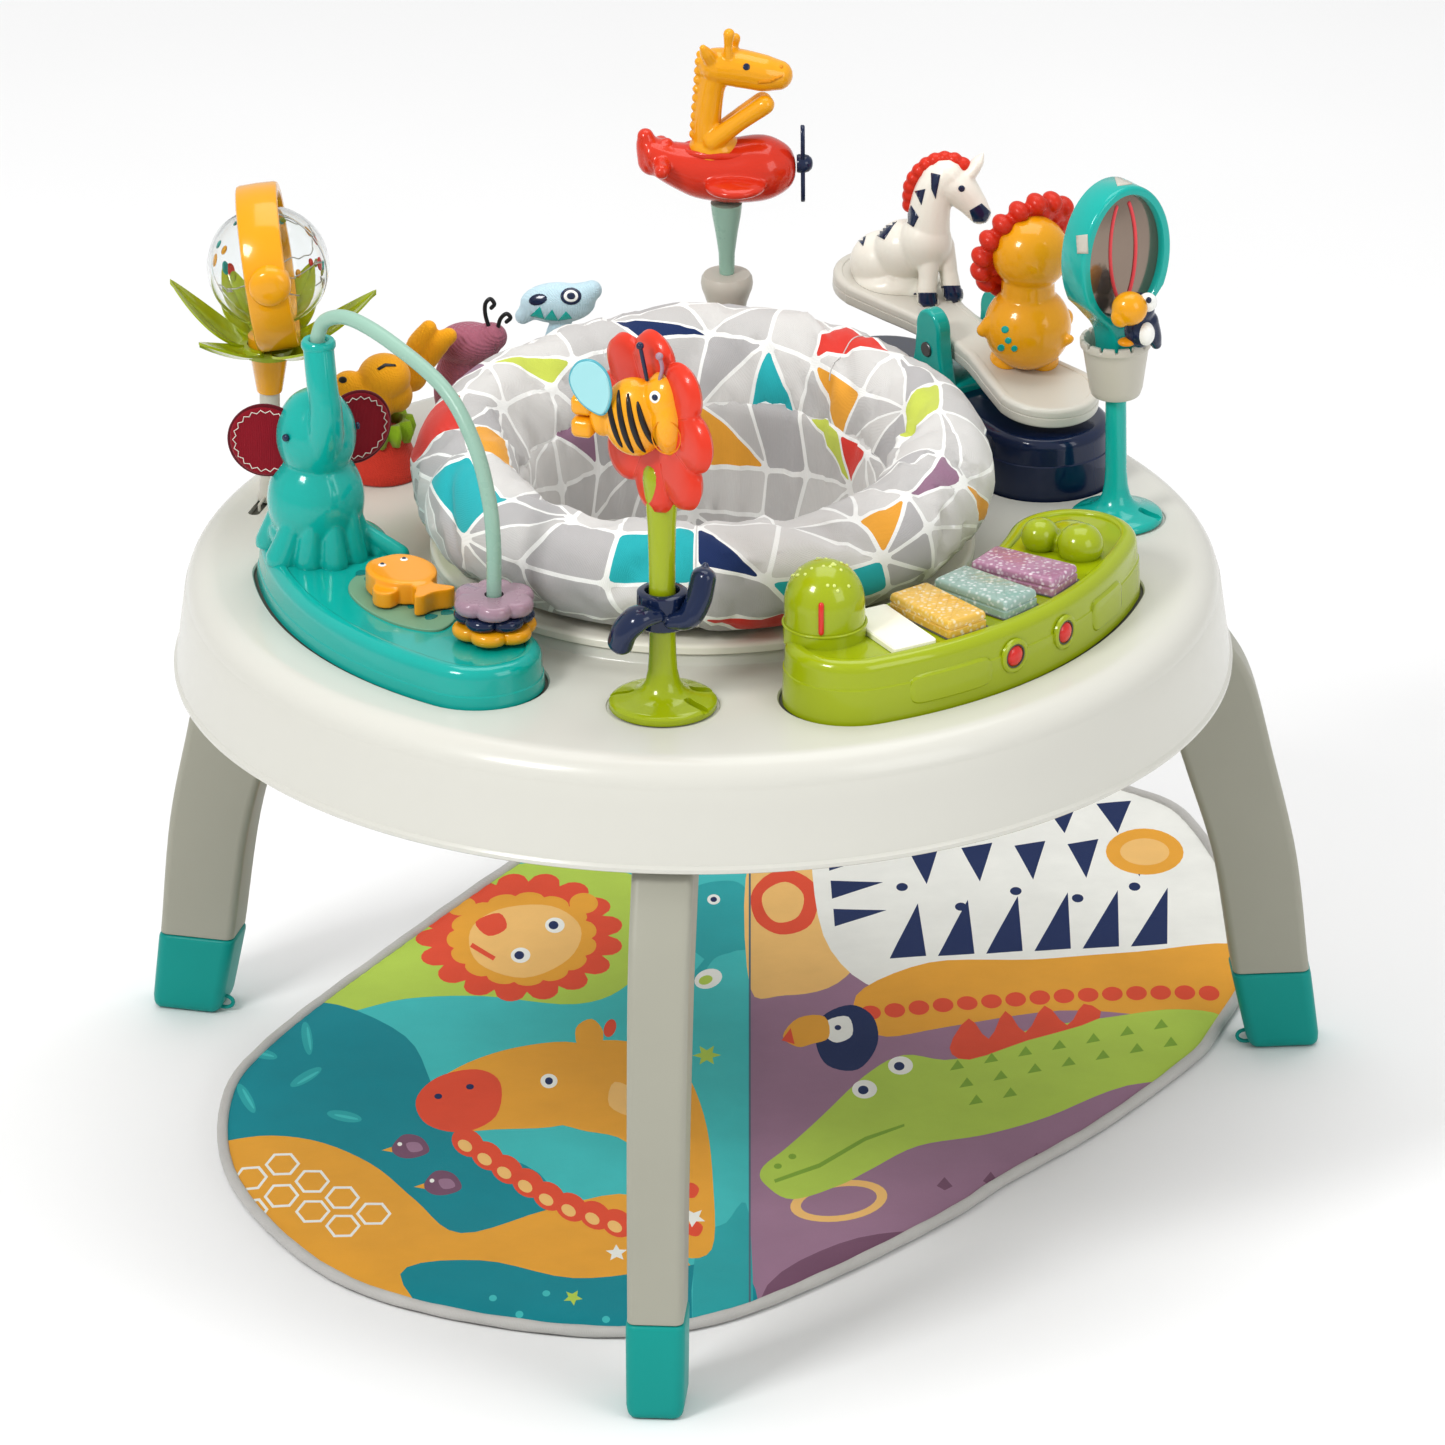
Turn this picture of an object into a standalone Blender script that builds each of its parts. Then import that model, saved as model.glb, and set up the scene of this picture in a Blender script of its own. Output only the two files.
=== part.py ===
"""Round stand-up activity table for a baby: a three-legged tray with a padded
seat that turns in its centre hole, eight toy stations and a floor mat.

Metres, +Z up.  The origin is on the floor, on the axis of the tray and seat.
The front leg points along -Y; the other two stand at 30 and 150 degrees.
The toy stations are laid out in a frame turned by LAYOUT_TURN about Z.
"""
import math
import bpy
import bmesh
from math import sin, cos, pi, radians, sqrt
from mathutils import Matrix, Vector

# ---------------------------------------------------------------- dimensions
LAYOUT_TURN = radians(4.0)      # toy layout against the leg pattern
GAP = 0.0003                    # gap between pieces that touch

TRAY_TOP = 0.458
TRAY_PLATE = 0.006              # thickness of the tray's top plate
SKIRT_BOTTOM = 0.379
SKIRT_R_BOTTOM = 0.373
SKIRT_R_TOP = 0.3645
TRAY_EDGE_R = 0.022             # radius of the tray's rounded shoulder
TRAY_HOLE_R = 0.150
TRACK_TOP = 0.4663              # top of the collar that the seat turns on
SKIN = 0.003                    # wall thickness of the moulded shells
RECESS = 0.003                  # depth of the recesses the toy bases sit in

LEG_W_FOOT = 0.0385             # leg width at the foot and under the tray
LEG_W_TOP = 0.0432

SEAT_R = 0.166                  # radius of the padded roll's centre line
PAD_R = 0.0375
PAD_BOTTOM = 0.4745
PAD_TOP_FRONT = 0.5565
PAD_TOP_BACK = 0.580
SLING_BOTTOM = 0.270

BASE_RC = 0.267                 # centre line of the long toy bases
BASE_HW = 0.048                 # their half width
DECK_FISH = 0.486               # top of the elephant's base
DECK_KEYS = 0.503               # top of the keyboard's case
DECK_ROCK = 0.503               # top of the seesaw's base
FLOOR_REC = TRAY_TOP - RECESS

ELE = (-0.272, -0.040)          # elephant
BEAD = (-0.148, -0.195)         # bead stack and foot of the tube
FISH = (-0.207, -0.127)
BEE = (-0.031, -0.2588)         # flower stalk
BEE_N = Vector((-0.83, -0.557, 0.0)).normalized()
FLOWER_Z = 0.679
HEAD = (0.0825, -0.235)         # domed head of the keyboard toy
MIRROR = (0.293, 0.061)
MIRROR_A = radians(38)
ROCK = (0.190, 0.2135)          # seesaw pivot
ROCK_Z = 0.533
ROCK_DIR = Vector((-0.586, 0.810, 0.0)).normalized()
ROCK_TILT = radians(7.0)
PLANE = (0.0216, 0.281)
PLANE_Z = 0.640
BALL = (-0.304, 0.1125)
BALL_Z = 0.6365
BUD = (-0.225, 0.157)
BUG = (-0.170, 0.228)
PLUSH = (-0.097, 0.285)

LAYOUT = Matrix.Rotation(LAYOUT_TURN, 4, 'Z')

for old in list(bpy.data.objects):
    bpy.data.objects.remove(old, do_unlink=True)

# ------------------------------------------------------------------ helpers
MATS = {}


def mat(name, rgb, rough=0.4, metal=0.0, alpha=1.0):
    """Principled material from an sRGB colour."""
    if name in MATS:
        return MATS[name]
    m = bpy.data.materials.new(name)
    m.use_nodes = True
    b = m.node_tree.nodes.get('Principled BSDF')
    lin = [((c / 255 + 0.055) / 1.055) ** 2.4 if c > 10 else c / 255 / 12.92 for c in rgb]
    b.inputs['Base Color'].default_value = (*lin, 1.0)
    b.inputs['Roughness'].default_value = rough
    b.inputs['Metallic'].default_value = metal
    b.inputs['Alpha'].default_value = alpha
    m.diffuse_color = (*lin, 1.0)
    MATS[name] = m
    return m


def ring_faces(rows, n, closed):
    """Quads between successive rows of n points each."""
    faces = []
    m = len(rows)
    for i in range(m if closed else m - 1):
        a, b = rows[i], rows[(i + 1) % m]
        for k in range(n):
            j = (k + 1) % n
            faces.append((a + k, a + j, b + j, b + k))
    return faces


def loft(rings, caps=True, closed=False):
    """Skin through rings of equal point count; closed joins last to first."""
    n = len(rings[0])
    verts, rows = [], []
    for r in rings:
        rows.append(len(verts))
        verts += [Vector(p) for p in r]
    faces = ring_faces(rows, n, closed)
    if caps and not closed:
        faces.append(tuple(range(rows[0] + n - 1, rows[0] - 1, -1)))
        faces.append(tuple(range(rows[-1], rows[-1] + n)))
    return verts, faces


def lathe(profile, seg, closed=False):
    """Turn (r, z) points about Z.  A zero radius at an end makes a pole."""
    verts, faces = [], []
    idx = []
    for r, z in profile:
        if r < 1e-9:
            idx.append((len(verts), 1))
            verts.append(Vector((0, 0, z)))
        else:
            idx.append((len(verts), seg))
            for k in range(seg):
                a = 2 * pi * k / seg
                verts.append(Vector((r * cos(a), r * sin(a), z)))
    m = len(profile)
    for i in range(m if closed else m - 1):
        (a, na), (b, nb) = idx[i], idx[(i + 1) % m]
        for k in range(seg):
            j = (k + 1) % seg
            if na == 1 and nb == 1:
                continue
            if na == 1:
                faces.append((a, b + j, b + k))
            elif nb == 1:
                faces.append((a + k, a + j, b))
            else:
                faces.append((a + k, a + j, b + j, b + k))
    if not closed:
        for (a, na), flip in ((idx[0], True), (idx[-1], False)):
            if na > 1:
                f = tuple(range(a, a + na))
                faces.append(f[::-1] if flip else f)
    return verts, faces


def ring_sweep(seg, section):
    """Closed ring whose (r, z) section may change with the angle."""
    rings = []
    for k in range(seg):
        a = 2 * pi * k / seg
        rings.append([(r * cos(a), r * sin(a), z) for r, z in section(a)])
    return loft(rings, closed=True)


def inset(outline, d):
    """Move each point of a counter-clockwise outline inwards by d."""
    n = len(outline)
    out = []
    for i in range(n):
        p0, p1, p2 = outline[i - 1], outline[i], outline[(i + 1) % n]
        tx, ty = p2[0] - p0[0], p2[1] - p0[1]
        ln = sqrt(tx * tx + ty * ty) or 1.0
        out.append((p1[0] - ty / ln * d, p1[1] + tx / ln * d))
    return out


def ccw(outline):
    area = sum(outline[i - 1][0] * p[1] - p[0] * outline[i - 1][1] for i, p in enumerate(outline))
    return list(outline) if area > 0 else list(outline)[::-1]


def slab(outline, levels):
    """Solid over an outline; levels are (z, inset) from bottom to top."""
    outline = ccw(outline)
    rings = [[(x, y, z) for x, y in inset(outline, d)] for z, d in levels]
    return loft(rings)


def cup(outline, outer, inner):
    """Shell open below: outer (z, inset) levels upwards, inner ones upwards."""
    rings = [[(x, y, z) for x, y in inset(outline, d)] for z, d in outer]
    back = [[(x, y, z) for x, y in inset(outline, d)] for z, d in inner]
    n = len(outline)
    verts, rows = [], []
    for r in back[::-1] + rings:
        rows.append(len(verts))
        verts += [Vector(p) for p in r]
    faces = ring_faces(rows, n, False)
    faces.append(tuple(range(rows[0] + n - 1, rows[0] - 1, -1)))
    faces.append(tuple(range(rows[-1], rows[-1] + n)))
    return verts, faces


def bean(rc, a0, a1, hw, n_arc=7, n_cap=6):
    """Outline that follows an arc about the tray axis, with round ends."""
    a0, a1 = radians(a0), radians(a1)
    pts = []
    for i in range(n_arc + 1):
        a = a0 + (a1 - a0) * i / n_arc
        pts.append(((rc + hw) * cos(a), (rc + hw) * sin(a)))
    c = (rc * cos(a1), rc * sin(a1))
    for i in range(1, n_cap):
        t = a1 + pi * i / n_cap
        pts.append((c[0] + hw * cos(t), c[1] + hw * sin(t)))
    for i in range(n_arc + 1):
        a = a1 + (a0 - a1) * i / n_arc
        pts.append(((rc - hw) * cos(a), (rc - hw) * sin(a)))
    c = (rc * cos(a0), rc * sin(a0))
    for i in range(1, n_cap):
        t = a0 + pi + pi * i / n_cap
        pts.append((c[0] + hw * cos(t), c[1] + hw * sin(t)))
    return pts


def smooth_loop(ctrl, per):
    """Closed Catmull-Rom curve through 2-D control points."""
    n = len(ctrl)
    out = []
    for i in range(n):
        p0, p1, p2, p3 = (Vector(ctrl[(i + k) % n]) for k in (-1, 0, 1, 2))
        for s in range(per):
            t = s / per
            out.append(tuple(0.5 * ((2 * p1) + (p2 - p0) * t + (2 * p0 - 5 * p1 + 4 * p2 - p3) * t * t
                                    + (3 * p1 - p0 - 3 * p2 + p3) * t ** 3)))
    return out


def smooth_path(ctrl, per):
    """Open Catmull-Rom curve through 3-D control points."""
    c = [Vector(p) for p in ctrl]
    c = [2 * c[0] - c[1]] + c + [2 * c[-1] - c[-2]]
    out = []
    for i in range(1, len(c) - 2):
        p0, p1, p2, p3 = c[i - 1], c[i], c[i + 1], c[i + 2]
        for s in range(per):
            t = s / per
            out.append(0.5 * ((2 * p1) + (p2 - p0) * t + (2 * p0 - 5 * p1 + 4 * p2 - p3) * t * t
                              + (3 * p1 - p0 - 3 * p2 + p3) * t ** 3))
    out.append(c[-2])
    return out


def tube(path, radius, sides, flat=None):
    """Round bar along a path; radius may be a list.  Flat ends."""
    path = [Vector(p) for p in path]
    n = len(path)
    rad = radius if isinstance(radius, (list, tuple)) else [radius] * n
    tang = []
    for i in range(n):
        a, b = path[max(i - 1, 0)], path[min(i + 1, n - 1)]
        tang.append((b - a).normalized())
    up = Vector((0, 0, 1)) if abs(tang[0].z) < 0.9 else Vector((1, 0, 0))
    side = tang[0].cross(up).normalized()
    rings = []
    for i in range(n):
        side = (side - tang[i] * side.dot(tang[i])).normalized()
        other = tang[i].cross(side)
        rings.append([path[i] + (side * cos(2 * pi * k / sides) + other * sin(2 * pi * k / sides)) * rad[i]
                      for k in range(sides)])
    return loft(rings)


def ball(c, r, u=14, v=8):
    """Ellipsoid; r is a number or three radii."""
    rx, ry, rz = (r, r, r) if isinstance(r, (int, float)) else r
    prof = [(sin(pi * i / v), -cos(pi * i / v)) for i in range(v + 1)]
    prof[0], prof[-1] = (0.0, -1.0), (0.0, 1.0)
    vs, fs = lathe(prof, u)
    return [Vector((c[0] + p.x * rx, c[1] + p.y * ry, c[2] + p.z * rz)) for p in vs], fs


def basis(origin, z, x=None):
    """Local frame with the given Z direction, and X near the given one."""
    z = Vector(z).normalized()
    x = Vector(x if x is not None else ((0, 0, 1) if abs(z.z) < 0.9 else (1, 0, 0)))
    x = (x - z * x.dot(z)).normalized()
    y = z.cross(x)
    m = Matrix((x, y, z)).transposed().to_4x4()
    m.translation = Vector(origin)
    return m


def put(shape, m):
    """Shape moved by a matrix, or by a vector."""
    if not isinstance(m, Matrix):
        m = Matrix.Translation(Vector(m))
    return [m @ v for v in shape[0]], shape[1]


def outward(bm):
    """Faces out on each shape."""
    bmesh.ops.recalc_face_normals(bm, faces=bm.faces)
    if bm.calc_volume(signed=True) < 0:
        bmesh.ops.reverse_faces(bm, faces=bm.faces)


def build_mesh(name, shapes):
    bm = bmesh.new()
    for verts, faces in shapes:
        vs = [bm.verts.new(v) for v in verts]
        for f in faces:
            bm.faces.new([vs[i] for i in f])
    outward(bm)
    me = bpy.data.meshes.new(name)
    bm.to_mesh(me)
    bm.free()
    return me


def settle(me, origin, turn):
    """Turn the layout onto the legs, and centre the mesh on its origin."""
    o = Vector(origin)
    if turn:
        o = LAYOUT @ o
        me.transform(LAYOUT)
    me.transform(Matrix.Translation(-o))
    return o


def add(name, shapes, material, origin=(0, 0, 0), turn=True, sharp=35):
    """One piece from one or more closed shapes."""
    if isinstance(shapes, tuple):
        shapes = [shapes]
    me = build_mesh(name, shapes)
    o = settle(me, origin, turn)
    me.shade_smooth()
    me.set_sharp_from_angle(angle=radians(sharp))
    me.materials.append(material)
    ob = bpy.data.objects.new(name, me)
    ob.location = o
    bpy.context.scene.collection.objects.link(ob)
    return ob


def evaluated(me, mods):
    """Mesh after a list of (type, settings) modifiers."""
    ob = bpy.data.objects.new('work', me)
    bpy.context.scene.collection.objects.link(ob)
    for kind, opts in mods:
        md = ob.modifiers.new(kind, kind)
        for k, v in opts.items():
            setattr(md, k, v)
    bpy.context.view_layer.update()
    out = bpy.data.meshes.new_from_object(ob.evaluated_get(bpy.context.evaluated_depsgraph_get()))
    bpy.data.objects.remove(ob, do_unlink=True)
    return out


def fused(name, shapes, material, voxel=0.004, tris=300, planes=(), origin=(0, 0, 0)):
    """Overlapping shapes melted into one skin, thinned, and cut flat.

    planes are (point, normal) pairs; what lies beyond the normal goes."""
    me = build_mesh(name, shapes)
    me = evaluated(me, [('REMESH', dict(mode='VOXEL', voxel_size=voxel))])
    count = sum(len(p.vertices) - 2 for p in me.polygons)
    me = evaluated(me, [('SMOOTH', dict(factor=0.5, iterations=2)),
                        ('DECIMATE', dict(ratio=min(1.0, tris / count)))])
    bm = bmesh.new()
    bm.from_mesh(me)
    for co, no in planes:
        bmesh.ops.bisect_plane(bm, geom=bm.verts[:] + bm.edges[:] + bm.faces[:],
                               plane_co=Vector(co), plane_no=Vector(no), clear_outer=True, dist=1e-6)
        bmesh.ops.holes_fill(bm, edges=[e for e in bm.edges if e.is_boundary], sides=0)
    bmesh.ops.triangulate(bm, faces=bm.faces)
    outward(bm)
    bm.to_mesh(me)
    bm.free()
    o = settle(me, origin, True)
    me.shade_smooth()
    me.set_sharp_from_angle(angle=radians(40))
    me.materials.clear()
    me.materials.append(material)
    me.name = name
    ob = bpy.data.objects.new(name, me)
    ob.location = o
    bpy.context.scene.collection.objects.link(ob)
    return ob


def cutter(name, shape):
    me = build_mesh(name, [shape])
    settle(me, (0, 0, 0), True)
    ob = bpy.data.objects.new(name, me)
    ob.hide_render = True
    ob.display_type = 'WIRE'
    bpy.context.scene.collection.objects.link(ob)
    return ob


def cut(ob, *cutters):
    for c in cutters:
        md = ob.modifiers.new('cut_' + c.name, 'BOOLEAN')
        md.operation = 'DIFFERENCE'
        md.object = c


def box(lo, hi):
    (a, b, c), (d, e, f) = lo, hi
    return loft([[(a, b, c), (d, b, c), (d, e, c), (a, e, c)], [(a, b, f), (d, b, f), (d, e, f), (a, e, f)]])


def rounded_rect(w, h, r, n=3):
    """Counter-clockwise rounded rectangle about the origin."""
    pts = []
    for cx, cy, a in ((w / 2 - r, h / 2 - r, 0), (r - w / 2, h / 2 - r, pi / 2),
                      (r - w / 2, r - h / 2, pi), (w / 2 - r, r - h / 2, 3 * pi / 2)):
        for i in range(n):
            t = a + pi / 2 * i / (n - 1)
            pts.append((cx + r * cos(t), cy + r * sin(t)))
    return pts


# ---------------------------------------------------------------- materials
M_TRAY = mat('tray_plastic', (226, 224, 214), 0.35)
M_GREY = mat('grey_plastic', (168, 167, 152), 0.45)
M_TEAL = mat('teal_plastic', (0, 160, 148), 0.3)
M_LIME = mat('lime_plastic', (165, 190, 30), 0.35)
M_YELLOW = mat('yellow_plastic', (235, 165, 20), 0.35)
M_ORANGE = mat('orange_plastic', (240, 150, 40), 0.35)
M_RED = mat('red_plastic', (222, 70, 40), 0.35)
M_NAVY = mat('navy_plastic', (22, 44, 88), 0.3)
M_MINT = mat('mint_plastic', (165, 205, 190), 0.35)
M_WHITE = mat('white_plastic', (235, 233, 226), 0.35)
M_CRIMSON = mat('crimson_fabric', (140, 18, 38), 0.8)
M_PAD = mat('seat_fabric', (205, 205, 205), 0.85)
M_MAT = mat('mat_fabric', (60, 165, 175), 0.85)
M_BIND = mat('binding_fabric', (165, 165, 165), 0.85)
M_PURPLE = mat('purple_plastic', (165, 135, 150), 0.35)
M_CLEAR = mat('clear_plastic', (225, 232, 232), 0.1, alpha=0.35)
M_KEY_Y = mat('key_yellow_plastic', (235, 190, 90), 0.25)
M_KEY_G = mat('key_green_plastic', (165, 195, 190), 0.25)
M_KEY_P = mat('key_purple_plastic', (185, 135, 165), 0.25)
M_LENS = mat('lens_plastic', (205, 50, 35), 0.2)
M_MIRROR = mat('mirror_film', (190, 190, 185), 0.08, 1.0)
M_STEEL = mat('steel', (185, 185, 188), 0.3, 1.0)
M_BOARD = mat('board', (30, 95, 60), 0.5)
M_BLACK = mat('black_plastic', (35, 35, 38), 0.45)
M_PLUSH = mat('plush_blue', (150, 205, 220), 0.9)
M_MAUVE = mat('plush_mauve', (150, 100, 115), 0.9)

# --------------------------------------------------------------------- tray


def arc_pts(cx, cz, r, a0, a1, n):
    return [(cx + r * cos(radians(a0 + (a1 - a0) * i / n)), cz + r * sin(radians(a0 + (a1 - a0) * i / n)))
            for i in range(n + 1)]


shoulder_x = SKIRT_R_TOP - TRAY_EDGE_R
shoulder_z = TRAY_TOP - TRAY_EDGE_R
outer = [(SKIRT_R_BOTTOM, SKIRT_BOTTOM)] + arc_pts(shoulder_x, shoulder_z, TRAY_EDGE_R, 5, 90, 4)
# raised collar round the hole: the track that the seat turns on
outer += [(0.1910, TRAY_TOP), (0.1895, TRACK_TOP - 0.0015), (0.1880, TRACK_TOP), (TRAY_HOLE_R + 0.003, TRACK_TOP),
          (TRAY_HOLE_R, TRACK_TOP - 0.003)]
inner = [(TRAY_HOLE_R, TRAY_TOP - TRAY_PLATE)]
inner += arc_pts(shoulder_x, shoulder_z, TRAY_EDGE_R - SKIN, 90, 5, 3)
inner[1] = (shoulder_x - 0.004, TRAY_TOP - TRAY_PLATE)
inner += [(SKIRT_R_BOTTOM - SKIN, SKIRT_BOTTOM)]
tray = add('tray_shell', lathe(outer + inner, 52, closed=True), M_TRAY)

ELE_BEAN = (184, 233)
KEY_BEAN = (-68, -14)
ROCK_BEAN = (30, 62)
ROCK_RC = 0.283
REC = ((BASE_RC, *ELE_BEAN), (BASE_RC, *KEY_BEAN), (ROCK_RC, *ROCK_BEAN))
for i, (rc, a0, a1) in enumerate(REC):
    c = cutter(f'recess_{i}', slab(bean(rc, a0, a1, BASE_HW + 0.0016), [(FLOOR_REC, 0), (TRAY_TOP + 0.004, 0)]))
    cut(tray, c)

# structural ring under the tray, which the legs plug into
add('under_ring', lathe([(0.352, 0.4300), (0.352, TRAY_TOP - TRAY_PLATE - GAP), (0.268, TRAY_TOP - TRAY_PLATE - GAP),
                         (0.268, 0.4300), (0.272, 0.4300), (0.272, 0.4480), (0.348, 0.4480), (0.348, 0.4300)],
                        36, closed=True), M_GREY, sharp=30)

# ---------------------------------------------------------------- legs, feet
# each leg: angle, turn of its section, foot height, foot (outer, inner radius) at
# the floor and at its top, then (z, outer radius, inner radius) up to the ring
HEAD_SECTIONS = [(0.385, 0.3580, 0.2900), (0.4295, 0.3460, 0.2830)]
FRONT_LEG = [(0.150, 0.4430, 0.3900), (0.223, 0.4300, 0.3710), (0.290, 0.4140, 0.3480), (0.330, 0.3960, 0.3240),
             (0.360, 0.3740, 0.3020)]
SIDE_LEG = [(0.150, 0.4595, 0.4005), (0.223, 0.4430, 0.3790), (0.290, 0.4260, 0.3570), (0.325, 0.4080, 0.3360),
            (0.355, 0.3840, 0.3120)]
LEGS = (('front', -91.3, 0.0, 0.069, (0.4600, 0.4100), (0.4525, 0.4020), FRONT_LEG),
        ('right', 27.8, -20.0, 0.060, (0.4780, 0.4280), (0.4693, 0.4148), SIDE_LEG),
        ('left', 147.8, 20.0, 0.060, (0.4780, 0.4280), (0.4693, 0.4148), SIDE_LEG))


def leg_width(z):
    return LEG_W_FOOT + (LEG_W_TOP - LEG_W_FOOT) * min(1.0, z / 0.33)


def leg_ring(z, ro, ri, w, shrink, corner, twist=0.0):
    """Rounded-rectangle section of a leg in its radial-tangential frame."""
    c, s = cos(radians(twist)), sin(radians(twist))
    pts = rounded_rect(ro - ri - 2 * shrink, w - 2 * shrink, max(corner - shrink, 0.0015), 2)
    return [((ro + ri) / 2 + x * c - y * s, x * s + y * c, z) for x, y in pts]


for name, ang, twist, foot_h, floor_r, ankle_r, leg_secs in LEGS:
    rot = Matrix.Rotation(radians(ang), 4, 'Z')
    secs = [(foot_h + GAP, *ankle_r)] + leg_secs + HEAD_SECTIONS
    out_r = [leg_ring(z, ro, ri, leg_width(z), 0.0, 0.007, twist) for z, ro, ri in secs]
    in_r = [leg_ring(z, ro, ri, leg_width(z), SKIN, 0.007, twist) for z, ro, ri in secs]
    add(f'leg_{name}', put(loft(out_r + in_r[::-1], closed=True), rot), M_GREY, turn=False)
    # rubber-soled boot: slope matches the leg above it
    foot = []
    for z, grow in ((0.0, -0.0035), (0.003, -0.0008), (0.008, 0.0012), (foot_h - 0.004, 0.0012), (foot_h, 0.0004)):
        q = z / foot_h
        ro = floor_r[0] - 0.001 + (ankle_r[0] - floor_r[0] + 0.001) * q
        ri = floor_r[1] + (ankle_r[1] - floor_r[1]) * q
        foot.append(leg_ring(z, ro, ri, leg_width(z), -grow, 0.008, twist))
    add(f'foot_{name}', put(loft(foot), rot), M_TEAL, turn=False)

# -------------------------------------------------------------- floor mat
MAT_PTS = [(-0.245, 0.334), (-0.326, 0.160), (-0.350, 0.055), (-0.334, -0.083), (-0.266, -0.222), (-0.181, -0.2925),
           (-0.060, -0.327), (0.025, -0.301), (0.103, -0.222), (0.181, -0.118), (0.217, -0.057), (0.280, 0.038),
           (0.340, 0.155), (0.357, 0.212), (0.378, 0.319), (0.372, 0.410), (0.326, 0.567), (0.286, 0.624),
           (0.187, 0.675), (0.047, 0.693), (-0.075, 0.637), (-0.160, 0.500)]
mat_line = smooth_loop(MAT_PTS, 2)
mat_line = ccw(mat_line)
MAT_T = 0.005
add('play_mat', slab(inset(mat_line, 0.0045), [(0.0, 0.0), (MAT_T, 0.0)]), M_MAT, sharp=30)
bind_o, bind_i = mat_line, inset(mat_line, 0.0042)
rings = [[(x, y, z) for x, y in line] for line, z in
         ((bind_o, 0.0015), (inset(bind_o, 0.001), 0.0), (bind_i, 0.0), (bind_i, 0.0065), (inset(bind_o, 0.001), 0.0065),
          (bind_o, 0.005))]
add('mat_binding', loft(rings, closed=True), M_BIND, sharp=50)

# --------------------------------------------------------------------- seat
add('seat_ring', lathe([(0.192, 0.4668), (0.192, 0.4722), (0.190, 0.4740), (0.142, 0.4740), (0.140, 0.4720),
                        (0.140, 0.4440), (0.1455, 0.4440), (0.1455, 0.4668)], 36, closed=True), M_WHITE)


def pad_section(a, n=9, grow=0.0):
    """Section of the padded roll; the roll is taller behind the back."""
    back = (1 + sin(a)) / 2
    top = PAD_TOP_FRONT + (PAD_TOP_BACK - PAD_TOP_FRONT) * back ** 1.5
    zc, rz = (PAD_BOTTOM + top) / 2, (top - PAD_BOTTOM) / 2
    out = []
    for i in range(n):
        t = 2 * pi * i / n
        out.append((SEAT_R + (PAD_R + grow) * cos(t), zc + (rz + grow) * sin(t)))
    return out


add('seat_pad', ring_sweep(36, pad_section), M_PAD)
SLING = [(0.1270, 0.522), (0.118, 0.440), (0.110, 0.380), (0.098, 0.325), (0.078, 0.290), (0.045, 0.274)]
sl_out = [(0.0, SLING_BOTTOM)] + SLING[::-1]
sl_in = [(r - 0.0045, z + (0.0045 if z < 0.3 else 0.0)) for r, z in SLING[1:]] + [(0.0, SLING_BOTTOM + 0.0045)]
sling = add('seat_sling', lathe(sl_out + [(0.1225, 0.522)] + sl_in, 24), M_PAD)
for side in (-1, 1):
    leg_path = [(side * 0.030, -0.020, 0.350), (side * 0.068, -0.064, 0.235)]
    cut(sling, cutter(f'leg_hole_{"lr"[side > 0]}', tube(leg_path, 0.040, 14)))

# ----------------------------------------------------- elephant and bead tube


def base_shell(name, rc, a0, a1, top, material, rim=0.006):
    o = bean(rc, a0, a1, BASE_HW)
    outer_lv = [(FLOOR_REC + GAP, 0.0), (top - rim, 0.0015), (top - rim * 0.3, 0.0035), (top, 0.007)]
    inner_lv = [(FLOOR_REC + GAP, SKIN), (top - rim - 0.001, SKIN + 0.0015), (top - 0.0028, 0.011)]
    return add(name, cup(o, outer_lv, inner_lv), material)


base_shell('elephant_base', BASE_RC, *ELE_BEAN, DECK_FISH, M_TEAL)
ex, ey = ELE
body = [ball((ex, ey, 0.523), (0.035, 0.034, 0.040)), ball((ex, ey - 0.002, 0.574), (0.030, 0.030, 0.034))]
trunk = smooth_path([(ex + 0.001, ey - 0.022, 0.560), (ex + 0.003, ey - 0.030, 0.590), (ex + 0.003, ey - 0.026, 0.620),
                     (ex + 0.003, ey - 0.016, 0.6475)], 3)
body.append(tube(trunk, [0.016, 0.0155, 0.015, 0.0145, 0.014, 0.0135, 0.013, 0.013, 0.013, 0.013], 12))
for k in (-1, 0, 1):
    body.append(tube([(ex + 0.001 + 0.016 * k, ey - 0.025 + 0.004 * abs(k), 0.486), (ex + 0.001 + 0.014 * k, ey - 0.021, 0.530)],
                     [0.0125, 0.009], 10))
body.append(tube([(ex - 0.024, ey + 0.006, 0.486), (ex - 0.018, ey, 0.52)], 0.013, 10))
body.append(tube([(ex + 0.024, ey + 0.006, 0.486), (ex + 0.018, ey, 0.52)], 0.013, 10))
fused('elephant_body', body, M_TEAL, 0.0032, 400,
      [((0, 0, DECK_FISH + GAP), (0, 0, -1)), ((0, 0, 0.6500), (0, 0, 1))])
ear_cut = [cutter('head_space', ball((ex, ey - 0.002, 0.574), (0.0316, 0.0316, 0.0356), 16, 10)),
           cutter('neck_space', ball((ex, ey, 0.523), (0.0366, 0.0356, 0.0416), 16, 10))]
for side, nm in ((-1, 'left'), (1, 'right')):
    c = (ex + side * 0.0305, ey + 0.008, 0.570)
    lens = lathe([(0.0, -0.0025), (0.022, -0.0022), (0.026, 0.0), (0.022, 0.0022), (0.0, 0.0025)], 20)
    ear = add(f'elephant_ear_{nm}', put(lens, basis(c, (side * 0.25, -1, 0))), M_CRIMSON)
    cut(ear, *ear_cut)

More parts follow.
